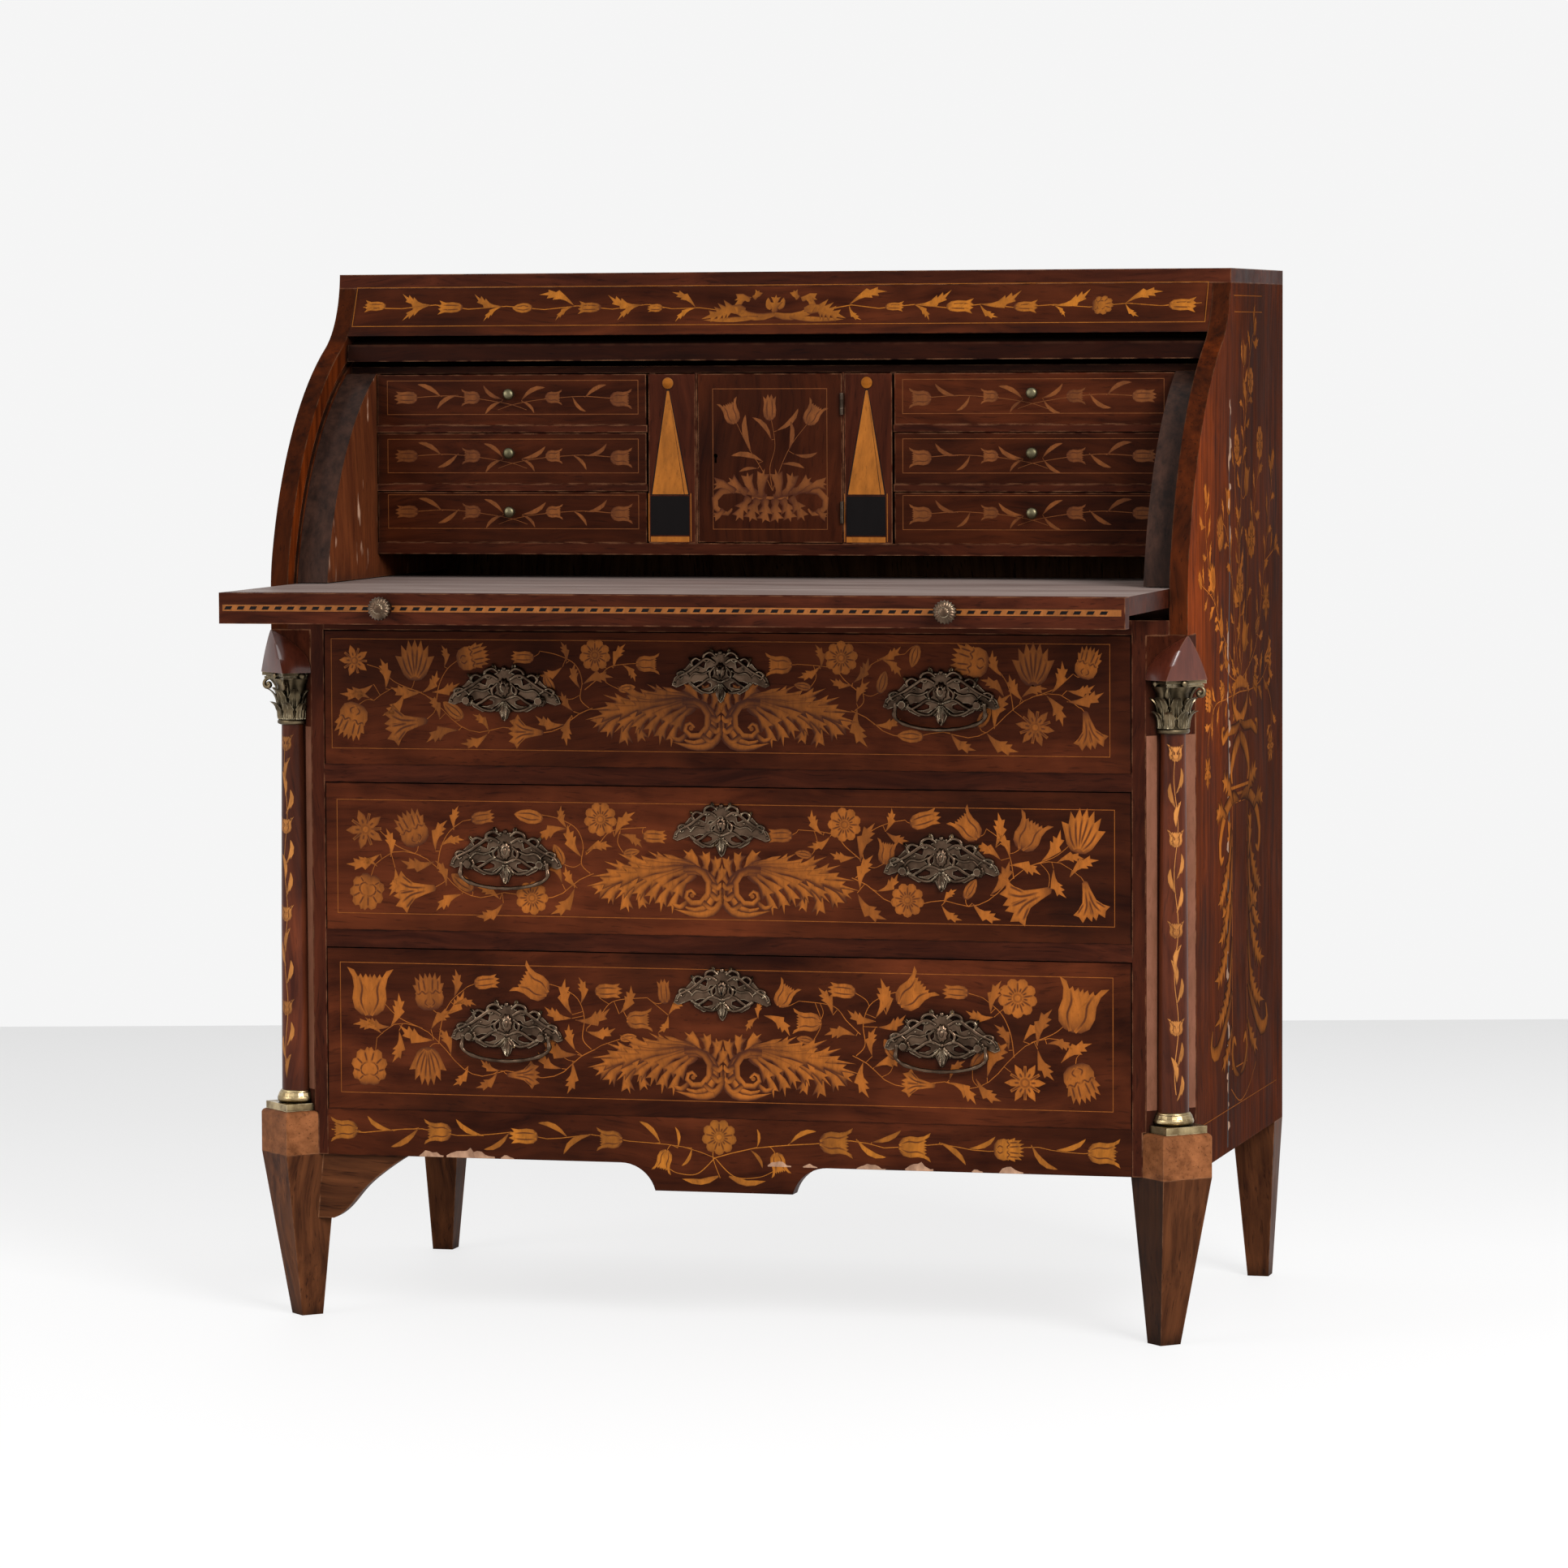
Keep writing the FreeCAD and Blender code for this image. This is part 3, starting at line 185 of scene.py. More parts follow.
def build_grain_group():
    """Streaks along the grain, broad mottled figure and open pores."""
    tree, given, out = new_group(
        "Wood grain",
        [
            ("Stretch", "Vector", (0.06, 1.0, 1.0)),
            ("Light", "Color", (0.1, 0.03, 0.01, 1.0)),
            ("Dark", "Color", (0.04, 0.01, 0.005, 1.0)),
            ("Figure", "Float", 0.5),
            ("Pores", "Float", 0.5),
        ],
        [("Colour", "Color"), ("Height", "Float"), ("Gloss", "Float")],
    )
    place = own_place(tree)
    warp = add_node(tree, "ShaderNodeTexNoise", {"Vector": place, "Scale": 4.0, "Detail": 2.0}).outputs[1]
    bend = add_node(tree, "ShaderNodeVectorMath", {0: warp, "Scale": 0.07}, operation="SCALE").outputs[0]
    bent = vector_maths(tree, "ADD", place, bend)
    along = vector_maths(tree, "MULTIPLY", bent, given["Stretch"])
    streak = noise(tree, along, 95.0, 4.0, 0.62)
    broad = noise(tree, bent, 11.0, 3.0, 0.6)
    mottle = noise(tree, along, 34.0, 2.0, 0.5)
    broad = maths(tree, "MULTIPLY", maths(tree, "ADD", broad, mottle), 0.5)
    plain = maths(tree, "MULTIPLY", streak, maths(tree, "SUBTRACT", 1.0, given["Figure"]))
    figured = maths(tree, "MULTIPLY", broad, given["Figure"])
    tone = spread(tree, maths(tree, "ADD", plain, figured), 0.36, 0.64)
    colour = blend_colours(tree, tone, given["Dark"], given["Light"])
    slow = vector_maths(tree, "MULTIPLY", bent, (0.55, 1.0, 1.0))
    cloud = spread(tree, noise(tree, slow, 5.5, 2.0, 0.5), 0.36, 0.58, 0.0, 0.8)
    colour = blend_colours(tree, maths(tree, "MULTIPLY", cloud, given["Figure"]), colour, CLOUD)
    pore = spread(tree, noise(tree, along, 420.0, 2.0, 0.5), 0.6, 0.7)
    deep = maths(tree, "MULTIPLY", pore, given["Pores"])
    black = blend_colours(tree, 0.75, given["Dark"], PORE)
    tree.links.new(blend_colours(tree, deep, colour, black), out["Colour"])
    height = maths(tree, "SUBTRACT", maths(tree, "MULTIPLY", streak, 0.35), deep)
    tree.links.new(height, out["Height"])
    tree.links.new(broad, out["Gloss"])


def build_wear_and_gap_shade_group():
    """The edges of a board, found where the bevelled normal leaves the true one, broken up by noise: a pale
    edge colour shows them rubbed, and a dark one paints shade into the gaps between parts.
    """
    tree, given, out = new_group(
        "Edge wear and gap shade",
        [("Reach", "Float", 0.002), ("Amount", "Float", 1.0), ("Breaks", "Float", 60.0)],
        [("Mask", "Float")],
    )
    rounded = add_node(tree, "ShaderNodeBevel", {"Radius": given["Reach"]}, samples=4).outputs[0]
    true = add_node(tree, "ShaderNodeNewGeometry").outputs["Normal"]
    edge = spread(tree, vector_maths(tree, "DOT_PRODUCT", rounded, true), 1.0, 0.9)
    broken = spread(tree, noise(tree, own_place(tree), given["Breaks"], 3.0), 0.4, 0.62)
    mask = maths(tree, "MULTIPLY", maths(tree, "MULTIPLY", edge, broken), given["Amount"], True)
    tree.links.new(mask, out["Mask"])


def build_grime_and_shade_group():
    """Painted shade in corners and hollows from ambient occlusion, and soiling in blotches."""
    tree, given, out = new_group(
        "Grime and hollow shade",
        [("Reach", "Float", 0.02), ("Amount", "Float", 0.8), ("Blotches", "Float", 0.3)],
        [("Mask", "Float")],
    )
    # Ambient occlusion darkens corners and hollows: painted shade
    hollow = add_node(tree, "ShaderNodeAmbientOcclusion", {"Distance": given["Reach"]}, samples=6)
    corner = spread(tree, hollow.outputs["AO"], 0.9, 0.25)
    blotch = spread(tree, noise(tree, own_place(tree), 9.0, 4.0, 0.6), 0.5, 0.75)
    both = maths(tree, "ADD", corner, maths(tree, "MULTIPLY", blotch, given["Blotches"]), True)
    tree.links.new(maths(tree, "MULTIPLY", both, given["Amount"], True), out["Mask"])


def build_scratch_group():
    """Fine scratches in two directions and scattered chips."""
    tree, given, out = new_group(
        "Scratches",
        [("Stretch", "Vector", (1.0, 1.0, 0.05)), ("Amount", "Float", 0.5)],
        [("Mask", "Float")],
    )
    place = own_place(tree)
    along = vector_maths(tree, "MULTIPLY", place, given["Stretch"])
    lines = spread(tree, noise(tree, along, 260.0, 2.0), 0.64, 0.7)
    where = spread(tree, noise(tree, place, 14.0, 2.0), 0.45, 0.6)
    mask = maths(tree, "MULTIPLY", maths(tree, "MULTIPLY", lines, where), given["Amount"], True)
    tree.links.new(mask, out["Mask"])


def nodes_of(material):
    """A finish's node tree and its main shader."""
    return material.node_tree, material.node_tree.nodes["Principled BSDF"]


def new_material(name):
    made = bpy.data.materials.new(name)
    made.use_nodes = True
    return made


def wood_finish(name, light, dark, axis="x", figure=0.5, pores=0.5, gloss=(0.4, 0.56), coat=0.0,
                edge_wear_and_shade=0.7, grime_and_shade=0.8, edge_wear_and_shade_colour=WORN_WOOD, reach=0.0022, sheen=0.035):
    """A polished or raw board: grain along an axis, rubbed edges (painted shade of the gaps where the edge
    colour is dark), grime, and painted shade in corners.
    """
    material = new_material(name)
    tree, shader = nodes_of(material)
    grain = use_group(tree, "Wood grain", Stretch=STRETCH[axis], Light=(*light, 1.0),
                      Dark=(*dark, 1.0), Figure=figure, Pores=pores)
    edge = use_group(tree, "Edge wear and gap shade", Reach=reach, Amount=edge_wear_and_shade)
    # Blotchy soiling, and painted shade that darkens corners and hollows
    dirt_and_shade = use_group(tree, "Grime and hollow shade", Amount=grime_and_shade)
    edge_toned = blend_colours(tree, edge["Mask"], grain["Colour"], edge_wear_and_shade_colour)
    grimed_and_shaded = blend_colours(tree, dirt_and_shade["Mask"], edge_toned, GRIME_AND_SHADE)
    tree.links.new(grimed_and_shaded, shader.inputs["Base Color"])
    polish = spread(tree, grain["Gloss"], 0.35, 0.65, *gloss)
    duller = maths(tree, "ADD", polish, maths(tree, "MULTIPLY", dirt_and_shade["Mask"], 0.25), True)
    tree.links.new(duller, shader.inputs["Roughness"])
    emboss(tree, shader, grain["Height"], 0.12, 0.0006)
    shader.inputs["Specular IOR Level"].default_value = sheen
    shader.inputs["Coat Weight"].default_value = coat
    shader.inputs["Coat Roughness"].default_value = 0.22
    return material


def inlay_finish(name, light, scorched, gloss=0.4, sheen=0.12):
    """Pale veneer shaded in hot sand: the mesh's own shade value turns it brown."""
    tree, shader = nodes_of(new_material(name))
    shade = add_node(tree, "ShaderNodeAttribute", attribute_name="shade").outputs["Fac"]
    grain = use_group(tree, "Wood grain", Stretch=(1.0, 1.0, 0.3), Light=(*light, 1.0),
                      Dark=(*toned(light, 0.62), 1.0), Figure=0.12, Pores=0.3)
    burnt = blend_colours(tree, shade, grain["Colour"], (*scorched, 1.0))
    # Blotchy soiling, and painted shade that darkens corners and hollows
    dirt_and_shade = use_group(tree, "Grime and hollow shade", Amount=0.35, Blotches=0.35)
    grimed_and_shaded = blend_colours(tree, dirt_and_shade["Mask"], burnt, GRIME_AND_SHADE)
    tree.links.new(grimed_and_shaded, shader.inputs["Base Color"])
    polish = spread(tree, grain["Gloss"], 0.35, 0.65, gloss - 0.06, gloss + 0.1)
    tree.links.new(polish, shader.inputs["Roughness"])
    emboss(tree, shader, grain["Height"], 0.1, 0.0004)
    shader.inputs["Specular IOR Level"].default_value = sheen


def metal_finish(name, bright, dull, tarnish, gloss):
    """Cast metal: bright where rubbed, dull on the faces and dark in the hollows."""
    tree, shader = nodes_of(new_material(name))
    place = own_place(tree)
    patch = spread(tree, noise(tree, place, 42.0, 4.0, 0.6), 0.38, 0.62)
    body = blend_colours(tree, patch, (*dull, 1.0), (*tarnish, 1.0))
    edge = use_group(tree, "Edge wear and gap shade", Reach=0.0012, Amount=1.0, Breaks=120.0)
    dirt_and_shade = use_group(tree, "Grime and hollow shade", Reach=0.006, Amount=0.9, Blotches=0.15)
    grimed_and_shaded = blend_colours(tree, dirt_and_shade["Mask"], body, (0.012, 0.009, 0.006, 1.0))
    edge_toned = blend_colours(tree, edge["Mask"], grimed_and_shaded, (*bright, 1.0))
    tree.links.new(edge_toned, shader.inputs["Base Color"])
    polish = spread(tree, patch, 0.0, 1.0, *gloss)
    brighter = maths(tree, "SUBTRACT", polish, maths(tree, "MULTIPLY", edge["Mask"], 0.12), True)
    tree.links.new(brighter, shader.inputs["Roughness"])
    emboss(tree, shader, noise(tree, place, 380.0, 3.0, 0.6), 0.18, 0.0005)
    shader.inputs["Metallic"].default_value = 1.0


def cheek_finish(name, wood):
    """Inner cheek: scratched orange wood on its face, and its curved edge rubbed to grey."""
    tree, shader = nodes_of(wood_finish(
        name, (0.17, 0.045, 0.014), (0.08, 0.02, 0.008), "z", 0.3, 0.6, (0.38, 0.55), 0.1, 0.5, 0.7))
    edge = spread(tree, maths(tree, "ABSOLUTE", facing(tree)[0]), 0.6, 0.4)
    grey = use_group(tree, "Wood grain", Stretch=STRETCH["z"], Light=(*wood.edge_colour, 1.0),
                     Dark=(0.016, 0.009, 0.007, 1.0), Figure=0.3, Pores=0.3)
    marks = use_group(tree, "Scratches", Stretch=(1.0, 0.3, 0.08), Amount=0.9)
    tint(tree, shader, marks["Mask"], (0.5, 0.3, 0.2, 1.0))
    tint(tree, shader, edge, grey["Colour"])


def dusty_finish(name, wood):
    """The slide's top: a greyed bloom with streaks over old polish."""
    tree, shader = nodes_of(wood_finish(
        name, (0.14, 0.062, 0.045), (0.045, 0.02, 0.014), "x", 0.45, 0.5, (0.42, 0.6), 0.05, 0.8, 0.5,
        (0.3, 0.2, 0.15, 1.0)))
    squeezed = vector_maths(tree, "MULTIPLY", own_place(tree), (0.16, 1.0, 1.0))
    bloom = spread(tree, noise(tree, squeezed, 15.0, 6.0, 0.7), 0.3, 0.66, 0.3, 0.95)
    under = spread(tree, facing(tree)[2], 0.5, 0.9, 1.0, 0.0)
    plain = use_group(tree, "Wood grain", Stretch=STRETCH["x"], Light=(*wood.case_light, 1.0),
                      Dark=(*wood.case_dark, 1.0))
    tint(tree, shader, bloom, (*wood.dust_colour, 1.0))
    tint(tree, shader, under, plain["Colour"])


def darken_to_back(name):
    """The sides grow darker towards their back and lower part, painted shade of the light falling off, and
    darker on their curved front edges.
    """
    tree, shader = nodes_of(material_named(name))
    where = add_node(tree, "ShaderNodeTexCoord").outputs["Object"]
    parts = add_node(tree, "ShaderNodeSeparateXYZ", {0: where}).outputs
    back = spread(tree, parts[1], -0.12, 0.2, 0.0, 0.68)
    low = spread(tree, parts[2], 0.8, 0.3, 0.0, 0.62)
    edge = spread(tree, facing(tree)[1], -0.3, -0.6, 0.0, 0.74)
    # Painted shade to the back and low down; the curved front edges are darkened too
    tint(tree, shader, maths(tree, "MAXIMUM", maths(tree, "MAXIMUM", back, low), edge), GRIME_AND_SHADE)


def paint_shade_on_left_faces(name):
    """Painted shade on the faces that look to the left."""
    tree, shader = nodes_of(material_named(name))
    tint(tree, shader, spread(tree, facing(tree)[0], 0.2, -0.4, 0.0, 0.6), GRIME_AND_SHADE)


def fall_finish(name, wood):
    """The cylinder fall: polished outside, and blackened in its hollow with painted shade and soiling."""
    tree, shader = nodes_of(wood_finish(
        name, wood.flame_light, wood.flame_dark, "x", 0.6, 0.4, (0.3, 0.45), 0.02))
    given = add_node(tree, "ShaderNodeTexCoord").outputs
    from_axis = vector_maths(tree, "SUBTRACT", given["Object"], FALL_AXIS)
    outward = vector_maths(tree, "DOT_PRODUCT", given["Normal"], from_axis)
    # Painted shade and soiling on the faces that look towards the fall's axis
    tint(tree, shader, spread(tree, outward, 0.05, -0.05), (0.008, 0.0022, 0.0016, 1.0))


# Flat veneer shapes

# Shades across a petal, leaf or scroll, and where across its width they stand
PETAL_SHADES = (1.0, 0.75, 0.2, 0.0, 0.06, 0.75)
LEAF_SHADES = (0.5, 0.3, 0.1, 0.1, 0.0, 0.2)
SCROLL_SHADES = (1.0, 0.75, 0.25, 0.0, 0.05, 0.5)
BLADE_ACROSS = (-1.0, -0.84, -0.45, 0.05, 0.75, 1.0)
SCROLL_ACROSS = (-1.0, -0.6, -0.2, 0.3, 0.82, 1.0)


def on_curve(a, b, c, d, t):
    """A place on a Catmull-Rom curve between b and c, for numbers and for vectors."""
    return 0.5 * (2 * b + (c - a) * t + (2 * a - 5 * b + 4 * c - d) * t * t
                  + (3 * b - a - 3 * c + d) * t ** 3)


def curve_points(points, shares):
    """Flat points at the given shares along a curve."""
    ends = [points[0], *points, points[-1]]
    path = []
    for share in shares:
        at = share * (len(points) - 1)
        leg = min(int(at), len(points) - 2)
        path.append(tuple(on_curve(*numbers, at - leg) for numbers in zip(*ends[leg:leg + 4])))
    return path


def smooth_path(points, steps):
    return curve_points(points, [step / steps for step in range(steps + 1)])


def mirrored(path, side, middle=0, bottom=0):
    """A path drawn for the right half, on the side given by 1 or -1 of a middle line."""
    return [(middle + side * u, bottom + v) for u, v in path]


def upright_box(left, right, bottom, top):
    """Corners of a rectangle, in order round it."""
    return [(left, bottom), (right, bottom), (right, top), (left, top)]


def heading(path, i):
    """Unit direction of a path at one of its points."""
    ahead, behind = path[min(i + 1, len(path) - 1)], path[max(i - 1, 0)]
    du, dv = ahead[0] - behind[0], ahead[1] - behind[1]
    size = math.hypot(du, dv) or 1.0
    return du / size, dv / size


def tooth_stations(teeth):
    """Stations of a toothed blade as (share, width factor, forward pull): smooth foot, teeth, tip."""
    smooth_end, last = 0.3, 0.8
    stations = [(0.0, 1.0, 0.0), (smooth_end / 2, 1.0, 0.0)]
    pitch = (last - smooth_end) / teeth
    for tooth in range(teeth):
        start = smooth_end + pitch * tooth
        stations += [(start, 0.6, 0.0), (start + 0.4 * pitch, 1.05, 0.12 * pitch),
                     (start + 0.6 * pitch, 1.75, 0.62 * pitch)]
    return stations + [(last, 0.6, 0.0), (1.0, 1.0, 0.0)]


def ease(values, share):
    """A value from a row of evenly spaced ones, eased between neighbours."""
    at = share * (len(values) - 1)
    leg = min(int(at), len(values) - 2)
    t = at - leg
    t = t * t * (3 - 2 * t)
    return values[leg] * (1 - t) + values[leg + 1] * t


class Veneer:
    """Marquetry of one panel, flat, in millimetres; each point has a shade, 0 pale to 1 scorched."""

    def __init__(self, seed):
        self.points = []
        self.shades = []
        self.faces = []
        self.chance = random.Random(seed)
        self.level = 0
        self.motifs = 0
        self.stems = 0
        self.tone = 0.1

    def start_motif(self):
        """Each motif has its own tone, and lies a hair above or below the last."""
        self.level = 0
        self.motifs += 1
        self.tone = self.chance.choice((0.0, 0.03, 0.08, 0.15, 0.25, 0.35))

    def lift(self):
        self.level = (self.level + 1) % 30
        return VENEER_LIFT + VENEER_STEP * (self.level - 1) + VENEER_FINE_STEP * (self.motifs % 11)

    def stem_lift(self):
        self.stems += 1
        return STEM_LIFT + STEM_FINE_STEP * (self.stems % 31)

    def sheet(self, rows, shades, lift):
        """A quad net through rows of points, each row as long as the next."""
        first = len(self.points)
        wide = len(rows[0])
        for row, shade_row in zip(rows, shades):
            self.points += [(u, v, lift) for u, v in row]
            self.shades += list(shade_row)
        for i in range(len(rows) - 1):
            for j in range(wide - 1):
                a = first + i * wide + j
                self.faces.append((a, a + 1, a + wide + 1, a + wide))

    def shape(self, outline, centre, carry, foot=0.6):
        """A flat shape round a centre: paler inside, browner at its edge and foot."""
        lift = self.lift()
        wide = len(outline)
        first = len(self.points)
        for share, edge in ((1.0, 0.3), (0.84, 0.05), (0.45, 0.0)):
            for a, b in outline:
                u, v = centre[0] + (a - centre[0]) * share, centre[1] + (b - centre[1]) * share
                self.points.append((*carry(u, v), lift))
                self.shades.append(min(1.0, self.tone + edge + foot * max(0.0, 1 - v / 0.3)))
        self.points.append((*carry(*centre), lift))
        self.shades.append(self.tone)
        for ring in (first, first + wide):
            self.faces += [(ring + i, ring + (i + 1) % wide, ring + wide + (i + 1) % wide, ring + wide + i)
                           for i in range(wide)]
        inner = first + 2 * wide
        self.faces += [(inner + i, inner + (i + 1) % wide, inner + wide) for i in range(wide)]

    def shade_line(self, points, width, steps=10):
        """A scorched line between petals: dark in its middle and gone at its sides and ends."""
        centre = smooth_path(points, steps)
        rows, shades = [], []
        for i, (u, v) in enumerate(centre):
            du, dv = heading(centre, i)
            rows.append([(u - dv * width * k, v + du * width * k) for k in (-1.0, -0.3, 0.3, 1.0)])
            dark = self.tone + (0.9 - self.tone) * min(1.0, 3.2 * min(i, steps - i) / steps + 0.15)
            shades.append([self.tone, dark, dark, self.tone])
        self.sheet(rows, shades, self.lift())

    def blade(self, path, widths, base=0.8, edges=PETAL_SHADES, teeth=0, steps=8, across=BLADE_ACROSS):
        """A petal, leaf or lobe along a path, with half widths, sand shading and optional teeth."""
        stations = tooth_stations(teeth) if teeth else [
            (0.5 - 0.5 * math.cos(math.pi * i / steps), 1.0, 0.0) for i in range(steps + 1)]
        centre = curve_points(path, [share for share, _, _ in stations])
        length = sum(math.dist(a, b) for a, b in zip(centre, centre[1:]))
        rows, shades = [], []
        for i, (share, factor, pull) in enumerate(stations):
            u, v = centre[i]
            du, dv = heading(centre, i)
            wide = ease(widths, share) * factor
            ahead = pull * length
            rows.append([(u - dv * wide * k + du * ahead * abs(k), v + du * wide * k + dv * ahead * abs(k))
                         for k in across])
            burn = self.tone + base * max(0.0, 1 - share / 0.55) ** 1.3
            shades.append([min(1.0, burn + edge) for edge in edges])
        self.sheet(rows, shades, self.lift())

    def stem(self, points, width, shade=0.1, steps=22):
        """A thin stem along a curve, slimmer to its end."""
        centre = smooth_path(points, steps)
        rows = []
        for i, (u, v) in enumerate(centre):
            du, dv = heading(centre, i)
            half = width / 2 * (1 - 0.35 * i / steps)
            rows.append([(u + dv * half, v - du * half), (u - dv * half, v + du * half)])
        self.sheet(rows, [(shade, shade)] * len(rows), self.stem_lift())

    def line(self, first, last, width, shade=0.0):
        """A straight strip of stringing."""
        du, dv = last[0] - first[0], last[1] - first[1]
        size = math.hypot(du, dv)
        nu, nv = -dv / size * width / 2, du / size * width / 2
        cuts = max(1, int(size / 60))
        rows = []
        for i in range(cuts + 1):
            u, v = first[0] + du * i / cuts, first[1] + dv * i / cuts
            rows.append([(u + nu, v + nv), (u - nu, v - nv)])
        self.sheet(rows, [(shade, shade)] * len(rows), self.stem_lift())

    def border(self, left, right, bottom, top, width=STRING_WIDTH, shade=0.35):
        """Stringing round a panel."""
        half = width / 2
        for v in (bottom, top):
            self.line((left - half, v), (right + half, v), width, shade)
        for u in (left, right):
            self.line((u, bottom + half), (u, top - half), width, shade)

    def patch(self, corners, shade=0.0, lift=VENEER_LIFT):
        """A flat four-cornered piece, corners in order round it."""
        a, b, c, d = corners
        self.sheet([[a, b], [d, c]], [(shade, shade)] * 2, lift)

    def disc(self, u, v, radius, shade):
        """A round spot, paler to its edge."""
        lift, sides = self.lift(), 16
        turns = [math.tau * k / sides for k in range(sides)]
        first = len(self.points)
        self.points += [(u, v, lift)] + [(u + radius * math.cos(turn), v + radius * math.sin(turn), lift)
                                         for turn in turns]
        self.shades += [shade] + [shade * 0.6] * sides
        self.faces += [(first, first + 1 + k, first + 1 + (k + 1) % sides) for k in range(sides)]

    def lay(self, name, surface, body, material, slot="light_wood"):
        """Lays the flat shapes on a face given by surface(u, v, lift) and lets them ride on a body."""
        places = [Vector(surface(*point)) for point in self.points]
        faces = []
        for face in self.faces:
            corners = [places[i] for i in face]
            middle = self.points[face[0]]
            outward = Vector(surface(middle[0], middle[1], middle[2] + 1.0)) - places[face[0]]
            normal = (corners[1] - corners[0]).cross(corners[2] - corners[0])
            normal += (corners[2] - corners[0]).cross(corners[-1] - corners[0])
            faces.append(face if normal.dot(outward) > 0 else face[::-1])
        mesh = bpy.data.meshes.new(name)
        mesh.from_pydata(places, [], faces)
        shade = mesh.attributes.new("shade", "FLOAT", "POINT")
        shade.data.foreach_set("value", self.shades)
        piece = add_piece(name, mesh, body, material)
        thick = piece.modifiers.new("Veneer", "SOLIDIFY")
        thick.thickness = VENEER_DEPTH * MM
        thick.offset = -1.0


def add_piece(name, mesh, body, material):
    """Puts a mesh in the scene as a piece that rides on a body."""
    piece = bpy.data.objects.new(name, mesh)
    bpy.context.scene.collection.objects.link(piece)
    piece.data.materials.append(material)
    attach(piece, body)
    return piece


ROUND_FLOWERS = ("rosette", "star5", "star6")

# Flowers and leaves. Across runs -0.5 to 0.5 and up runs 0 at the stalk to 1 at the tip

FLOWERS = {
    "tulip": (
        ((0, 0), (0.18, 0.03), (0.33, 0.15), (0.39, 0.36), (0.36, 0.6), (0.4, 0.8), (0.53, 1.0),
         (0.37, 0.95), (0.27, 0.8), (0.22, 0.88), (0.16, 0.79), (0.1, 0.88), (0.04, 0.8), (0, 0.88)),
        (((0.05, 0.02), (0.19, 0.3), (0.17, 0.58), (0.26, 0.82)),),
    ),
    "bell": (
        ((0, 0), (0.09, 0.02), (0.2, 0.16), (0.24, 0.42), (0.22, 0.7), (0.32, 0.96), (0.16, 0.86),
         (0.06, 0.98), (0, 0.86)),
        (((0.08, 0.1), (0.1, 0.5), (0.1, 0.8)),),
    ),
    "carnation": (
        ((0, 0), (0.2, 0.02), (0.36, 0.13), (0.42, 0.33), (0.37, 0.5), (0.46, 0.7), (0.36, 0.7),
         (0.38, 0.92), (0.26, 0.8), (0.23, 1.0), (0.13, 0.84), (0.07, 1.0), (0, 0.86)),
        (((0, 0.52), (0.1, 0.44), (0.2, 0.52), (0.3, 0.44), (0.38, 0.5)), ((0.1, 0.5), (0.14, 0.85)),
         ((0.26, 0.5), (0.29, 0.8)), ((0.02, 0.1), (0.14, 0.2), (0.06, 0.32))),
    ),
    "lily": (
        ((0, 0), (0.07, 0.04), (0.12, 0.28), (0.19, 0.52), (0.34, 0.67), (0.5, 0.76), (0.36, 0.84),
         (0.3, 1.0), (0.16, 0.87), (0.06, 1.02), (0, 0.9)),
        (((0.04, 0.25), (0.09, 0.6), (0.24, 0.84)), ((0.0, 0.5), (0.02, 0.86)),
         ((0.16, 0.55), (0.38, 0.76))),
    ),
    "lotus": (
        ((0, 0), (0.17, 0.03), (0.3, 0.15), (0.4, 0.36), (0.52, 0.6), (0.35, 0.58), (0.36, 0.86),
         (0.23, 0.72), (0.17, 0.98), (0.08, 0.8), (0, 1.0)),
        (((0.08, 0.08), (0.24, 0.3), (0.33, 0.58)), ((0.04, 0.1), (0.14, 0.4), (0.21, 0.72)),
         ((0.0, 0.12), (0.05, 0.5), (0.07, 0.8))),
    ),
    "bud": (
        ((0, 0), (0.15, 0.04), (0.27, 0.17), (0.3, 0.4), (0.26, 0.66), (0.3, 0.92), (0.17, 0.82),
         (0.08, 1.0), (0, 0.85)),
        (((0.1, 0.06), (0.13, 0.45), (0.1, 0.8)),),
    ),
    "pod": (
        ((0, 0), (0.15, 0.07), (0.25, 0.26), (0.28, 0.5), (0.2, 0.78), (0.08, 0.94), (0, 1.0)),
        (((0.02, 0.08), (0.12, 0.45), (0.04, 0.9)),),
    ),
    "rose": (
        ((0, 0.04), (0.12, 0), (0.25, 0.04), (0.3, 0.14), (0.42, 0.17), (0.47, 0.3), (0.42, 0.42),
         (0.5, 0.54), (0.46, 0.67), (0.36, 0.7), (0.35, 0.84), (0.24, 0.92), (0.13, 0.88), (0.06, 0.98),
         (0, 0.94)),
        (((0.0, 0.3), (0.14, 0.26), (0.24, 0.38), (0.18, 0.54), (0.02, 0.6)), ((0.24, 0.36), (0.42, 0.42)),
         ((0.18, 0.54), (0.36, 0.7)), ((0.06, 0.6), (0.13, 0.86)), ((0.16, 0.26), (0.29, 0.14))),
    ),
}

# Leaves: across and along, from the stalk up one side, over the tip and down the other

TOOTHED_LEAF = (
    (0, 0), (0.025, 0.1), (0.07, 0.26), (0.12, 0.4), (0.25, 0.59), (0.135, 0.575), (0.21, 0.78),
    (0.08, 0.74), (0.01, 1.0), (-0.06, 0.74), (-0.17, 0.74), (-0.1, 0.56), (-0.22, 0.5), (-0.12, 0.34),
    (-0.06, 0.19), (-0.02, 0.08),
)
SMOOTH_LEAF = (
    (0, 0), (0.03, 0.1), (0.08, 0.28), (0.11, 0.48), (0.09, 0.7), (0.04, 0.88), (0, 1.0), (-0.04, 0.88),
    (-0.08, 0.7), (-0.09, 0.48), (-0.06, 0.28), (-0.02, 0.1),
)


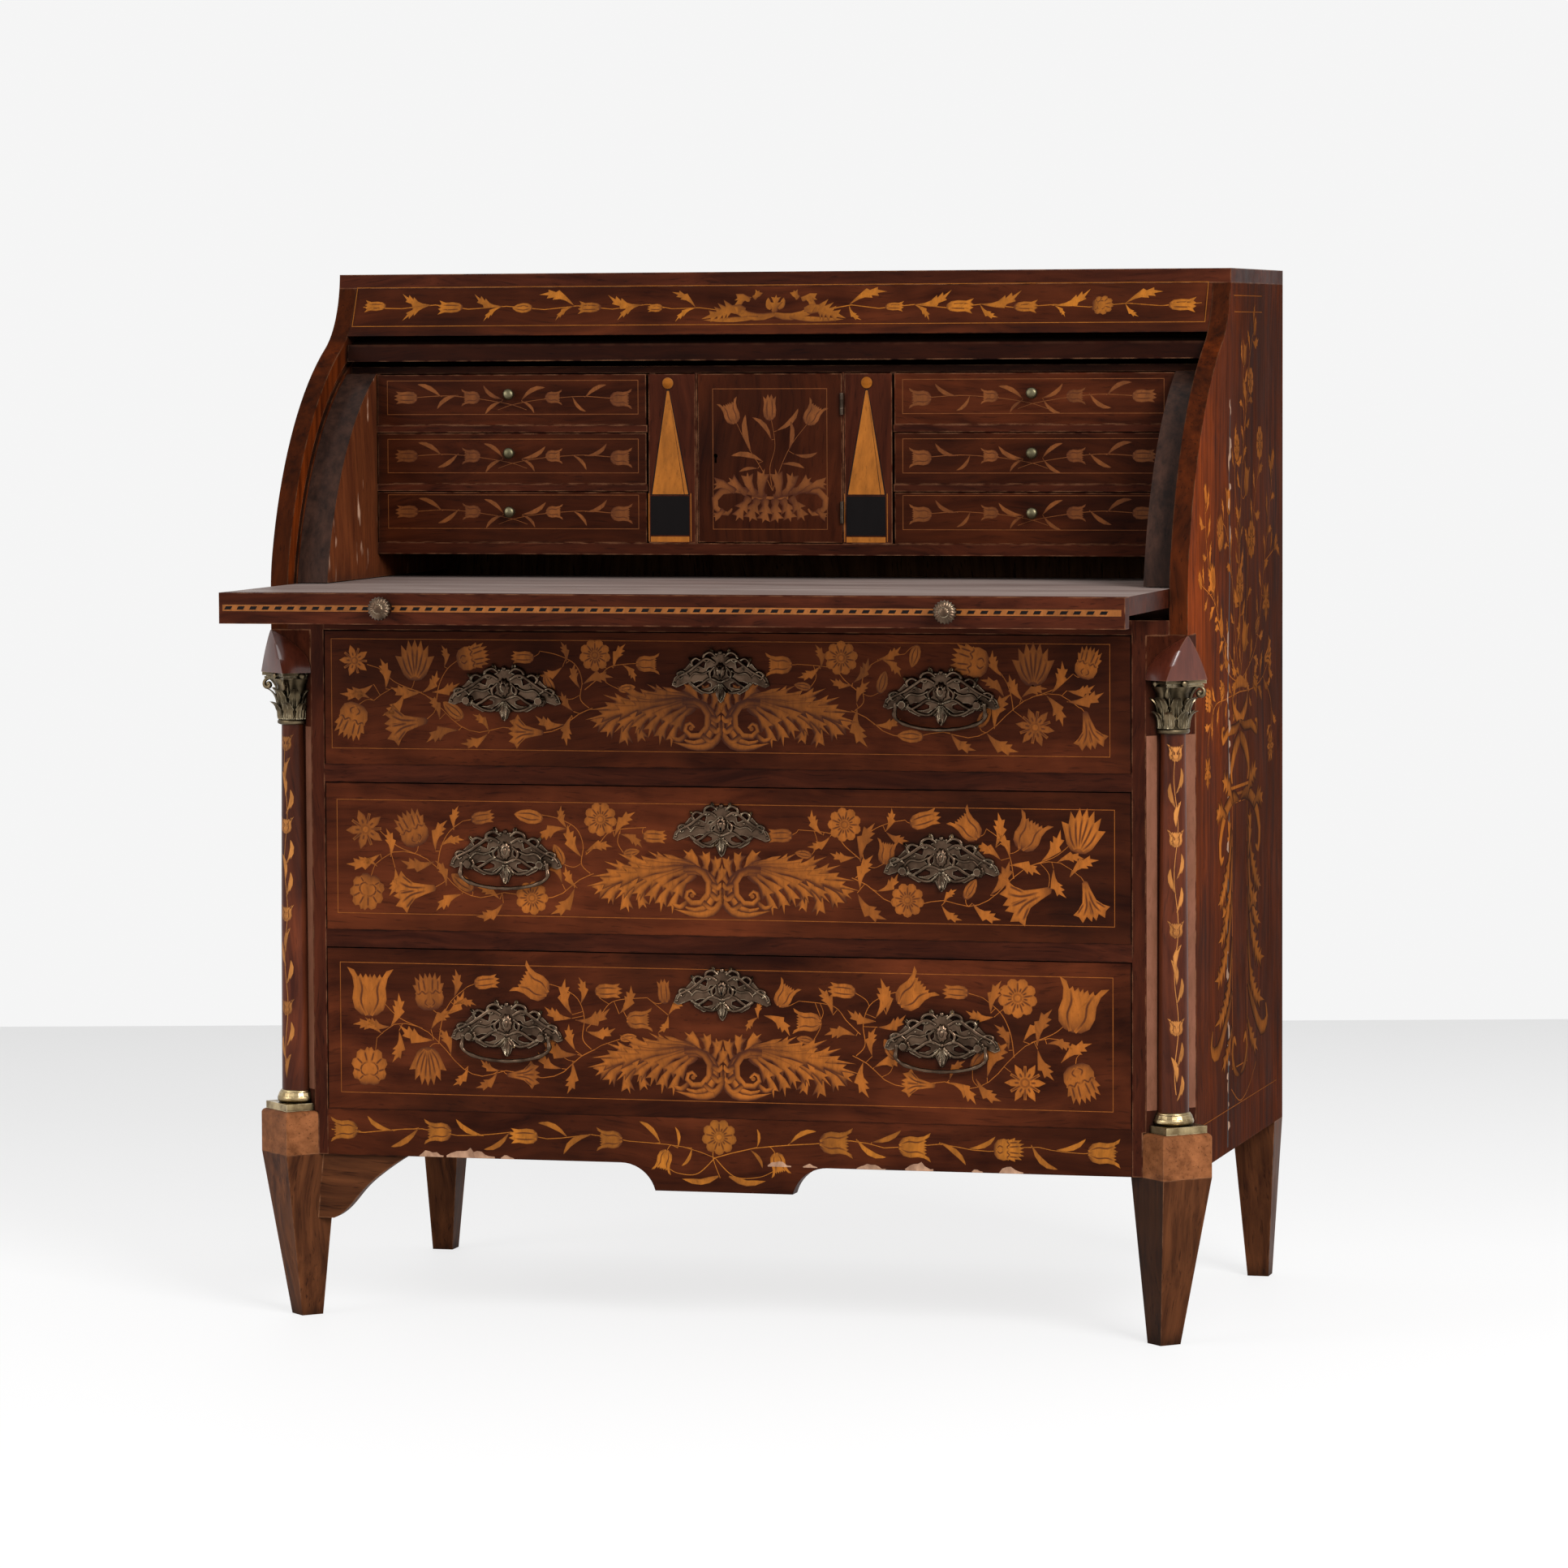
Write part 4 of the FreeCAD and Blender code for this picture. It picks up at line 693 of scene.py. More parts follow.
def spot(x, z, size, angle, flip=1.0):
    """Carries unit shapes to a place: angle 0 opens upwards and 90 to the right."""
    turn = math.radians(angle)
    du, dv = math.sin(turn), math.cos(turn)

    def carry(a, b):
        return (x + size * (a * flip * dv + (b - 0.5) * du), z + size * ((b - 0.5) * dv - a * flip * du))

    return carry


def ring_flower(veneer, x, z, size, kind, turn):
    """An open flower seen from above: scalloped, or a star with pointed petals."""
    petals = 9 if kind == "rosette" else int(kind[-1])
    outline = []
    for k in range(petals):
        radii = ((0.0, 0.41), (0.2, 0.47), (0.5, 0.5), (0.8, 0.47)) if kind == "rosette" else (
            (0.0, 0.16), (0.26, 0.34), (0.5, 0.5), (0.74, 0.34))
        for share, radius in radii:
            angle = math.tau * (k + share) / petals + turn
            outline.append((radius * math.sin(angle), radius * math.cos(angle)))

    def carry(a, b):
        return x + a * size, z + b * size

    veneer.shape(outline, (0.0, 0.0), carry, 0.0)
    for k in range(petals):
        for share, start, end in ((0.0, 0.12, 0.4), (0.5, 0.14, 0.26)):
            angle = math.tau * (k + share) / petals + turn
            du, dv = math.sin(angle), math.cos(angle)
            veneer.shade_line([carry(du * start, dv * start), carry(du * end, dv * end)], size * 0.034, 5)
    veneer.disc(x, z, size * 0.12, 0.75)
    veneer.disc(x, z, size * 0.07, 0.2)


def flower(veneer, kind, x, z, size, angle, slim=1.0):
    """A flower of a named kind; its angle is 0 when it opens upwards."""
    veneer.start_motif()
    if kind in ROUND_FLOWERS:
        ring_flower(veneer, x, z, size, kind, math.radians(angle))
        return
    carry = spot(x, z, size, angle, slim)
    half, lines = FLOWERS[kind]
    outline = [*half, *[(-a, b) for a, b in half[-2:0:-1]]]
    veneer.shape(outline, (0.0, 0.45), carry)
    for path in lines:
        for flip in (1.0, -1.0):
            veneer.shade_line([carry(a * flip, b) for a, b in path], max(0.8, size * 0.034))


def leaf(veneer, x, z, tip_x, tip_z, teeth=3, fat=1.0):
    """A curled leaf from its stalk end to its tip."""
    veneer.start_motif()
    du, dv = tip_x - x, tip_z - z
    size = math.hypot(du, dv)
    curl = veneer.chance.choice((-1, 1))
    bow = curl * size * veneer.chance.uniform(0.08, 0.14)
    su, sv = -dv / size * bow, du / size * bow
    path = [(x, z), (x + du * 0.35 + su, z + dv * 0.35 + sv), (x + du * 0.7 + su, z + dv * 0.7 + sv),
            (tip_x, tip_z)]
    centre = smooth_path(path, 20)

    def carry(a, b):
        at = min(max(b, 0.0), 1.0) * 20
        i = min(int(at), 19)
        u, v = (centre[i][k] + (centre[i + 1][k] - centre[i][k]) * (at - i) for k in (0, 1))
        hu, hv = heading(centre, min(round(at), 20))
        return u + hv * a * curl * size * 0.84 * fat, v - hu * a * curl * size * 0.84 * fat

    veneer.shape(TOOTHED_LEAF if teeth else SMOOTH_LEAF, (0.0, 0.48), carry, 0.35)


# The scrolled acanthus, right half, in millimetres from its inner bottom corner

ACANTHUS = (
    (((9, 34), (2, 42), (0, 56)), (3, 4.5, 3.5, 0), 1),
    (((12, 42), (7, 53), (8, 65)), (3.5, 4.5, 4, 0), 1),
    (((20, 48), (18, 58), (22, 70)), (4, 5, 4, 0), 1),
    (((28, 50), (31, 59), (44, 71)), (4, 5, 4, 0), 1),
    (((30, 52), (52, 60), (66, 60), (84, 69)), (3, 4.5, 4, 3, 0), 2),
    (((34, 54), (60, 58), (92, 56), (118, 66)), (3, 4.5, 5, 4, 0), 3),
    (((36, 52), (70, 54), (106, 49), (134, 57)), (3, 4.5, 5, 4, 0), 3),
    (((84, 36), (92, 20), (86, 6)), (3, 4.5, 4, 0), 1),
    (((92, 34), (108, 20), (106, 1)), (3, 5, 4.5, 0), 1),
    (((100, 36), (122, 26), (130, 10)), (3, 5, 4.5, 0), 1),
    (((104, 40), (128, 32), (146, 20)), (3, 5, 4.5, 0), 1),
    (((38, 50), (74, 42), (104, 30), (122, 15)), (3, 5, 5.5, 4, 0), 3),
    (((38, 52), (78, 48), (112, 44), (150, 40)), (3, 5, 5, 4, 0), 3),
    (((38, 51), (80, 46), (118, 37), (155, 29)), (3, 5, 5.5, 4, 0), 3),
    (((36, 50), (68, 42), (90, 28), (98, 14)), (3, 4.5, 5, 3.5, 0), 2),
    (((34, 48), (58, 42), (76, 26), (83, 10)), (3, 4.5, 5, 4, 0), 2),
    (((32, 46), (50, 37), (66, 20), (70, 2)), (3, 4.5, 5, 4, 0), 2),
    (((30, 44), (43, 34), (54, 16), (57, 0)), (3, 4.5, 4.5, 3.5, 0), 2),
    (((3, 33), (1, 16), (12, 3), (30, 0), (56, 6)), (1, 3.5, 4.5, 3.5, 0), 0),
    (((40, 46), (22, 47), (11, 36), (9, 22), (18, 9), (33, 5), (47, 11)), (3, 4.5, 5, 4.5, 3.5, 2.5, 0), 0),
    (((44, 50), (28, 50), (16, 40), (15, 24), (24, 13), (36, 13), (42, 21), (36, 27), (30, 22)),
     (3.5, 4, 4.2, 4, 3.6, 3.2, 2.6, 2.0, 1.2), 0),
    (((12, 34), (5, 30), (1, 36)), (3, 3.5, 3, 0), 0),
    (((13, 24), (6, 18), (2, 23)), (3, 3.5, 3, 0), 0),
    (((22, 14), (13, 7), (7, 10)), (3, 3, 2.5, 0), 0),
    (((40, 14), (48, 8), (58, 12)), (2.5, 3.2, 2.5, 0), 0),
)


def acanthus(veneer, bottom, side):
    """One half of the pair of scrolled leaves in the middle of a drawer."""
    veneer.start_motif()
    edges = SCROLL_SHADES if side > 0 else SCROLL_SHADES[::-1]
    for path, widths, teeth in ACANTHUS:
        veneer.blade(mirrored(path, side, 0, bottom), widths, 0.75, edges, teeth, 14, SCROLL_ACROSS)
    veneer.disc(side * 34, bottom + 21, 2.4, 0.6)


# Long drawers: flowers as (kind, x, z, size, angle) and leaves as (x, z, tip x, tip z), in millimetres

DRAWER_FLOWERS = {
    1: (
        ("star5", -420, 732, 36, 20), ("lotus", -350, 733, 46, 0), ("carnation", -283, 737, 38, 75),
        ("bud", -226, 737, 27, 270), ("rosette", -143, 740, 36, 0), ("tulip", -83, 731, 27, 90),
        ("carnation", -424, 665, 42, 200), ("lily", -360, 663, 50, 262), ("pod", -306, 678, 30, 308),
        ("lily", -222, 655, 40, 272), ("pod", -196, 707, 25, 335), ("pod", -107, 704, 20, 80),
        ("tulip", 65, 731, 30, 270), ("rosette", 135, 739, 38, 20), ("pod", 217, 742, 26, 195),
        ("pod", 181, 713, 26, 15), ("carnation", 278, 737, 42, 282), ("lotus", 348, 734, 48, 0),
        ("carnation", 408, 736, 36, 18), ("star6", 350, 666, 44, 10), ("lily", 409, 664, 42, 168),
        ("pod", 212, 655, 30, 272), ("pod", 294, 676, 26, 32), ("pod", 92, 708, 20, 280),
    ),
    2: (
        ("star5", -409, 545, 46, 15), ("carnation", -355, 547, 42, 335), ("bud", -273, 560, 28, 80),
        ("pod", -220, 562, 34, 278), ("rosette", -138, 560, 38, 0), ("bud", -76, 542, 28, 92),
        ("rose", -408, 475, 42, 195), ("lily", -352, 478, 50, 262), ("rosette", -217, 472, 38, 30),
        ("pod", -186, 520, 26, 335), ("pod", -297, 488, 32, 305), ("pod", -103, 524, 20, 80),
        ("bud", 65, 545, 30, 268), ("rosette", 138, 558, 38, 10), ("bud", 228, 565, 36, 72),
        ("tulip", 275, 558, 36, 318), ("tulip", 185, 529, 28, 8), ("tulip", 343, 551, 40, 28),
        ("lotus", 402, 555, 50, 12), ("rosette", 208, 477, 38, 0), ("lily", 342, 481, 56, 248),
        ("lily", 409, 480, 44, 166), ("pod", 278, 490, 26, 30), ("pod", 92, 525, 20, 280),
    ),
    3: (
        ("tulip", -406, 364, 54, 2), ("carnation", -337, 366, 42, 355), ("bud", -270, 378, 30, 82),
        ("tulip", -217, 376, 40, 300), ("bud", -130, 371, 32, 88), ("bud", -67, 372, 28, 355),
        ("tulip", -95, 340, 30, 88), ("rose", -407, 282, 44, 0), ("lotus", -339, 283, 44, 180),
        ("lily", -229, 276, 38, 88), ("pod", -196, 322, 26, 350), ("pod", -108, 320, 20, 80),
        ("tulip", 70, 371, 30, 30), ("bud", 134, 377, 32, 275), ("tulip", 95, 342, 32, 272),
        ("tulip", 214, 376, 42, 48), ("bud", 261, 378, 30, 272), ("rosette", 330, 373, 44, 0),
        ("tulip", 397, 364, 56, 14), ("carnation", 400, 282, 44, 160), ("star6", 338, 281, 46, 0),
        ("lily", 220, 277, 38, 275), ("pod", 188, 314, 26, 330), ("pod", 93, 322, 20, 280),
        ("pod", 288, 306, 30, 40),
    ),
}

DRAWER_LEAVES = {
    1: (
        (-384, 701, -390, 735), (-398, 706, -438, 695), (-402, 690, -426, 695), (-362, 697, -388, 671),
        (-342, 698, -379, 703), (-342, 697, -324, 722), (-330, 698, -298, 708), (-322, 668, -336, 694),
        (-316, 726, -319, 750), (-300, 656, -338, 642), (-266, 653, -298, 641), (-265, 655, -284, 674),
        (-178, 664, -212, 673), (-170, 674, -176, 640), (-168, 678, -182, 700), (-180, 727, -208, 717),
        (-176, 731, -182, 755), (-160, 703, -166, 732), (-157, 708, -122, 716), (-122, 726, -108, 753),
        (-112, 730, -97, 711), (112, 730, 86, 717), (112, 727, 106, 754), (148, 710, 122, 716),
        (148, 712, 166, 740), (152, 690, 167, 714), (153, 685, 164, 642), (172, 667, 202, 674),
        (180, 738, 202, 719), (176, 738, 202, 752), (256, 659, 285, 640), (296, 660, 332, 639),
        (305, 664, 323, 702), (316, 698, 289, 717), (314, 720, 303, 749), (337, 694, 321, 723),
        (335, 698, 364, 708), (368, 703, 380, 738), (385, 706, 416, 712), (362, 701, 381, 667),
        (385, 694, 426, 704),
    ),
    2: (
        (-380, 515, -385, 547), (-392, 518, -432, 506), (-396, 504, -416, 511), (-375, 503, -382, 471),
        (-328, 511, -369, 511), (-328, 522, -314, 557), (-322, 528, -294, 535), (-306, 546, -301, 573),
        (-316, 484, -328, 512), (-298, 475, -328, 456), (-254, 470, -280, 483), (-250, 466, -282, 450),
        (-182, 488, -206, 516), (-168, 484, -196, 454), (-165, 484, -179, 508), (-176, 549, -210, 534),
        (-176, 549, -183, 575), (-160, 518, -176, 554), (-155, 524, -124, 530), (-122, 541, -98, 569),
        (-116, 544, -90, 529), (114, 546, 101, 574), (122, 545, 96, 533), (150, 523, 121, 527),
        (156, 518, 172, 561), (155, 488, 170, 526), (152, 484, 185, 455), (174, 486, 198, 506),
        (184, 551, 191, 577), (184, 551, 210, 541), (246, 472, 269, 456), (248, 474, 263, 490),
        (280, 475, 312, 457), (300, 484, 322, 522), (312, 522, 282, 538), (306, 536, 309, 574),
        (322, 526, 308, 552), (322, 517, 356, 507), (356, 521, 378, 556), (374, 521, 404, 525),
        (370, 514, 384, 482), (388, 505, 420, 524),
    ),
    3: (
        (-382, 326, -372, 364), (-382, 326, -412, 336), (-392, 318, -426, 328), (-372, 322, -380, 286),
        (-332, 312, -372, 328), (-335, 324, -308, 346), (-320, 340, -296, 368), (-308, 352, -282, 352),
        (-308, 360, -306, 392), (-312, 296, -326, 326), (-292, 284, -310, 262), (-258, 279, -284, 260),
        (-255, 280, -278, 292), (-184, 284, -212, 302), (-172, 292, -178, 256), (-168, 304, -176, 334),
        (-166, 300, -208, 316), (-172, 340, -204, 352), (-172, 344, -180, 384), (-162, 356, -164, 386),
        (-168, 338, -128, 352), (-118, 346, -104, 378), (-156, 326, -122, 330), (-62, 346, -42, 362),
        (-62, 346, -74, 326), (40, 346, 26, 330), (46, 348, 76, 326), (40, 344, 44, 364),
        (124, 350, 108, 380), (150, 328, 114, 328), (172, 344, 140, 356), (172, 348, 178, 392),
        (184, 352, 182, 384), (174, 338, 206, 352), (168, 306, 172, 338), (158, 300, 164, 260),
        (170, 294, 204, 300), (254, 280, 284, 256), (254, 282, 272, 304), (284, 284, 312, 260),
        (296, 286, 322, 326), (320, 316, 304, 344), (304, 352, 272, 358), (300, 356, 312, 392),
        (336, 326, 362, 348), (352, 318, 370, 284), (352, 322, 368, 362), (362, 324, 392, 318),
        (378, 304, 412, 326),
    ),
}

# Main stems of a drawer's right half, measured from the acanthus's bottom; the left half mirrors them
STEMS = (
    ((146, 42), (164, 34), (186, 18), (214, 14), (246, 20), (276, 14), (300, 22), (322, 42), (345, 58),
     (375, 62), (398, 48)),
    ((150, 42), (160, 52), (158, 72), (166, 90), (186, 100), (206, 104)),
    ((155, 62), (140, 74), (124, 88), (86, 92)),
    ((326, 44), (322, 66), (312, 84), (296, 96)),
    ((345, 58), (372, 68), (392, 84)),
)

DRAWER_PANELS = {1: (-447, 432, 635, 756), 2: (-442, 437, 452, 578), 3: (-440, 435, 252, 397)}
ACANTHUS_BOTTOM = {1: 640, 2: 457, 3: 257}
STEM_RISE = {1: 1.0, 2: 1.03, 3: 1.17}


def nearest(points, x, z):
    """The point of a trail that lies nearest to a place."""
    return min(points, key=lambda p: math.hypot(p[0] - x, p[1] - z))


def grow(veneer, stems, flowers, leaves, width=1.0, teeth=3, fat=1.0):
    """Draws stems, ties each leaf and flower to the nearest stem, and lays them on top."""
    trail = []
    for path in stems:
        veneer.stem(path, width)
        trail += smooth_path(path, 24)
    for x, z, tip_x, tip_z in leaves:
        end = nearest(trail, x, z)
        if 1 < math.dist(end, (x, z)) < 34:
            veneer.stem([(x, z), end], 0.8 * width, steps=3)
        leaf(veneer, x, z, tip_x, tip_z, teeth, fat)
    for kind, x, z, size, angle in flowers:
        turn = math.radians(angle)
        du, dv = math.sin(turn), math.cos(turn)
        if kind in ROUND_FLOWERS:
            end = nearest(trail, x, z)
            far = math.dist(end, (x, z)) or 1.0
            du, dv = (x - end[0]) / far, (z - end[1]) / far
        foot = (x - du * 0.42 * size, z - dv * 0.42 * size)
        end = nearest(trail, *foot)
        gap = math.dist(end, foot)
        if 2 < gap < 70:
            middle = ((foot[0] + end[0] - du * 0.4 * gap) / 2, (foot[1] + end[1] - dv * 0.4 * gap) / 2)
            veneer.stem([foot, middle, end], 0.8 * width, steps=8)
        flower(veneer, kind, x, z, size, angle, 0.84 if size < 40 else 0.95)


def both_ways(stems):
    """Stems of the right half, and the same for the left."""
    return [mirrored(path, side) for side in (1, -1) for path in stems]


def drawer_veneer(number):
    """Flowers, leaves, stems, scrolled acanthus and stringing of one long drawer."""
    veneer = Veneer(number)
    veneer.border(*DRAWER_PANELS[number])
    low, rise = ACANTHUS_BOTTOM[number], STEM_RISE[number]
    stems = both_ways([[(u, low + v * rise) for u, v in path] for path in STEMS])
    grow(veneer, stems, DRAWER_FLOWERS[number], DRAWER_LEAVES[number])
    for side in (1, -1):
        acanthus(veneer, low, side)
    return veneer


# The frieze under the top board

FRIEZE_FLOWERS = (
    ("bell", -472, 1124, 26, 270), ("bell", -382, 1122, 30, 270), ("pod", -296, 1121, 24, 270),
    ("bell", -217, 1121, 28, 270), ("bud", -140, 1120, 18, 270), ("bell", 138, 1120, 22, 90),
    ("bell", 213, 1120, 32, 90), ("bell", 288, 1119, 28, 90), ("rose", 375, 1120, 25, 90),
    ("bell", 465, 1120, 32, 90),
)

FRIEZE_LEAVES = (
    (-405, 1125, -441, 1138), (-405, 1125, -437, 1107), (-320, 1123, -355, 1137), (-320, 1123, -340, 1106),
    (-235, 1123, -278, 1136), (-235, 1123, -255, 1106), (-155, 1124, -197, 1135), (-155, 1124, -182, 1106),
    (-92, 1120, -122, 1138), (-92, 1120, -114, 1104), (85, 1122, 128, 1137), (85, 1122, 102, 1105),
    (160, 1122, 202, 1138), (160, 1122, 180, 1104), (235, 1122, 282, 1137), (235, 1122, 258, 1107),
    (320, 1120, 360, 1138), (320, 1120, 334, 1107), (400, 1122, 442, 1135), (400, 1122, 417, 1107),
)

FRIEZE_STEMS = (
    ((-486, 1123), (-440, 1121), (-400, 1125), (-360, 1120), (-315, 1123), (-270, 1119), (-230, 1123),
     (-190, 1119), (-150, 1124), (-120, 1119), (-88, 1120), (-60, 1116)),
    ((60, 1116), (88, 1122), (120, 1118), (160, 1122), (200, 1118), (238, 1122), (275, 1118), (320, 1121),
     (360, 1118), (402, 1122), (440, 1119), (486, 1122)),
)

# One half of the scrolled leaves in the middle of the frieze: path, half widths and teeth

FRIEZE_SCROLLS = (
    (((0, 1112), (16, 1109), (34, 1112), (44, 1120), (38, 1130), (28, 1131)),
     (2.0, 3.0, 3.2, 3.0, 2.4, 0.0), 0),
    (((30, 1128), (38, 1131), (48, 1128)), (1.5, 3.5, 2.5, 0.0), 1),
    (((26, 1130), (22, 1134), (20, 1139)), (2.0, 3.0, 2.0, 0.0), 1),
    (((34, 1117), (52, 1118), (66, 1113), (84, 1107)), (2.0, 5.5, 5.0, 3.0, 0.0), 4),
    (((18, 1109), (36, 1107), (56, 1106), (82, 1106)), (1.0, 2.0, 2.2, 1.6, 0.0), 0),
    (((4, 1118), (8, 1124), (9, 1131)), (1.5, 3.0, 2.0, 0.0), 0),
)


def frieze_veneer():
    """The garland of the frieze, with a pair of scrolled leaves in its middle."""
    veneer = Veneer(11)
    veneer.border(-495, 492, 1101, 1145)
    grow(veneer, FRIEZE_STEMS, FRIEZE_FLOWERS, FRIEZE_LEAVES, 1.0, 1, 0.7)
    veneer.start_motif()
    for side in (1, -1):
        for path, widths, teeth in FRIEZE_SCROLLS:
            fuller = [1.35 * width for width in widths]
            veneer.blade(mirrored(path, side), fuller, 0.3, LEAF_SHADES, teeth, 12)
    veneer.blade([(0, 1114), (0, 1124), (0, 1134)], (2.5, 5.5, 3.5, 0.0), 0.5, LEAF_SHADES, 2)
    return veneer


# The apron under the long drawers

APRON_FLOWERS = (
    ("tulip", -437, 210, 32, 270), ("tulip", -328, 210, 32, 270), ("bud", -229, 208, 34, 270),
    ("tulip", -130, 207, 30, 270), ("rosette", -5, 213, 40, 0), ("tulip", -68, 185, 26, 195),
    ("tulip", 62, 185, 26, 165), ("tulip", 127, 210, 38, 90), ("tulip", 215, 208, 36, 90),
    ("carnation", 320, 208, 34, 90), ("tulip", 425, 207, 36, 90),
)

APRON_LEAVES = (
    (-380, 210, -410, 226), (-350, 214, -383, 192), (-275, 207, -307, 225), (-245, 212, -275, 192),
    (-178, 208, -212, 223), (-150, 212, -183, 189), (-72, 205, -96, 228), (-52, 200, -55, 223),
    (38, 203, 38, 223), (75, 208, 105, 222), (150, 215, 183, 196), (167, 212, 200, 226),
    (243, 214, 272, 190), (275, 208, 305, 222), (345, 214, 374, 188), (372, 209, 405, 222),
    (-36, 200, -48, 180), (30, 200, 44, 180),
)

APRON_STEMS = (
    ((-452, 210), (-420, 207), (-380, 211), (-345, 213), (-310, 207), (-275, 208), (-240, 212), (-205, 206),
     (-178, 208), (-148, 212), (-110, 206), (-72, 204), (-40, 200), (-10, 190)),
    ((-10, 190), (30, 201), (72, 206), (110, 209), (150, 213), (185, 206), (243, 212), (275, 207),
     (310, 206), (345, 212), (372, 208), (405, 206), (440, 209)),
    ((-10, 190), (-30, 172), (-52, 172), (-64, 178)), ((-10, 190), (12, 170), (40, 170), (58, 178)),
    ((-10, 206), (-12, 190), (-4, 168)),
)

# Places where the apron's veneer is lost, as (left, right, height) from its lower edge

APRON_BOTTOM = 182.0
LOST_VENEER = (
    (-350, -322, 9), (-318, -262, 12), (-255, -240, 6), (50, 76, 9), (90, 106, 5), (150, 182, 8),
    (205, 236, 11), (279, 291, 5), (309, 336, 8),
)


def apron_veneer():
    """The garland of the apron, with two leaves on its middle drop."""
    veneer = Veneer(12)
    grow(veneer, APRON_STEMS, APRON_FLOWERS, APRON_LEAVES, 1.0, 0)
    for side in (-1, 1):
        path = mirrored(((6, 170), (26, 163), (48, 166)), side)
        veneer.blade(path, (1.0, 3.4, 3.0, 0.0), 0.4, LEAF_SHADES)
    return veneer


def ragged_patches(seed, spots, bottom):
    """Ragged low patches along an edge where the veneer has come away."""
    veneer = Veneer(seed)
    for left, right, height in spots:
        steps = max(4, int((right - left) / 4))
        rows, shades = [], []
        for i in range(steps + 1):
            share = i / steps
            x = left + (right - left) * share
            swell = 0.25 + 0.75 * math.sin(math.pi * min(1.0, share * 1.15))
            tall = height * swell * veneer.chance.uniform(0.6, 1)
            rows.append([(x, bottom + 0.2), (x + veneer.chance.uniform(-1, 1), bottom + max(1.0, tall))])
            shades.append((veneer.chance.uniform(0.0, 0.5), veneer.chance.uniform(0.1, 0.6)))
        veneer.sheet(rows, shades, veneer.lift())
    return veneer


# The small drawers, drawn for the upper left one; each lower row is dropped from it

SMALL_DROP = {"top": 0, "middle": 66, "bottom": 129}

SMALL_FLOWERS = (
    ("bud", -427, 1020, 28, 270), ("tulip", -350, 1020, 22, 270), ("tulip", -252, 1020, 20, 90),
    ("tulip", -173, 1018, 26, 90),
)

SMALL_LEAVES = (
    (-385, 1021, -413, 1035), (-365, 1023, -390, 1007), (-312, 1018, -335, 1034), (-313, 1016, -333, 1001),
    (-290, 1017, -262, 1031), (-290, 1016, -275, 1002), (-230, 1021, -214, 1004), (-215, 1020, -190, 1034),
)

SMALL_STEMS = (
    ((-418, 1020), (-385, 1022), (-362, 1021), (-330, 1017), (-302, 1012), (-284, 1006)),
    ((-186, 1019), (-215, 1021), (-240, 1020), (-272, 1017), (-300, 1012), (-318, 1006)),
)


def small_drawer_veneer(row, side):
    """One small drawer; the right bank mirrors the left."""
    veneer = Veneer(20 + len(row) + side)
    drop = SMALL_DROP[row]

    def place(x, z):
        return -side * x, z - drop

    stems = [[place(*point) for point in path] for path in SMALL_STEMS]
    flowers = [(kind, *place(x, z), size, -side * angle) for kind, x, z, size, angle in SMALL_FLOWERS]
    leaves = [(*place(x, z), *place(tip_x, tip_z)) for x, z, tip_x, tip_z in SMALL_LEAVES]
    left, right = sorted((side * 153, side * 449))
    veneer.border(left, right, 1001 - drop, 1039 - drop, 0.8, 0.25)
    grow(veneer, stems, flowers, leaves, 0.8, 0)
    return veneer


# The cupboard door

DOOR_FLOWERS = (
    ("bud", 0, 1008, 30, 0), ("tulip", 50, 1001, 28, 30), ("tulip", -45, 1003, 28, -20),
)

DOOR_LEAVES = (
    (-22, 960, -28, 1000), (2, 972, -20, 997), (8, 982, 33, 1007), (22, 960, 24, 993), (28, 956, 55, 958),
    (-8, 948, -45, 954), (14, 945, 40, 940), (-14, 940, -36, 936),
)

DOOR_STEMS = (
    ((3, 915), (0, 940), (6, 965), (2, 994)), ((3, 915), (14, 945), (26, 968), (42, 988)),
    ((3, 915), (-10, 940), (-24, 962), (-38, 990)),
)

# One half of the leaf scroll at the foot of the door

DOOR_SCROLLS = (
    (((4, 908), (28, 915), (52, 916), (64, 906), (62, 894), (50, 889), (44, 895)),
     (3, 4, 4, 4, 3.5, 2.5, 1), 0),
    (((10, 908), (10, 922), (6, 940)), (4, 6, 4, 0), 1),
    (((16, 910), (24, 922), (26, 936)), (4, 5.5, 4, 0), 1),
    (((26, 912), (38, 920), (48, 930)), (4, 5.5, 4, 0), 1),
    (((40, 914), (54, 922), (66, 922)), (3, 5, 4, 0), 1),
    (((6, 906), (6, 892), (9, 879)), (4, 6, 5, 0), 2), (((14, 906), (20, 894), (24, 880)), (4, 6, 5, 0), 2),
    (((24, 908), (32, 896), (40, 881)), (4, 5.5, 4.5, 0), 2),
    (((54, 894), (60, 888), (66, 886)), (3, 4, 3, 0), 1),
)


def door_veneer():
    """The spray and leaf scroll of the cupboard door."""
    veneer = Veneer(31)
    veneer.border(-66, 66, 872, 1029, 0.8, 0.25)
    grow(veneer, DOOR_STEMS, DOOR_FLOWERS, DOOR_LEAVES, 0.8, 0)
    veneer.start_motif()
    for side in (1, -1):
        for path, widths, teeth in DOOR_SCROLLS:
            veneer.blade(mirrored(path, side), widths, 0.8, SCROLL_SHADES, teeth, steps=12)
    veneer.line((-21, 907), (21, 907), 3.4, 0.1)
    return veneer


# Obelisks on the upright boxes: middle and lean of each, and the heights of their parts

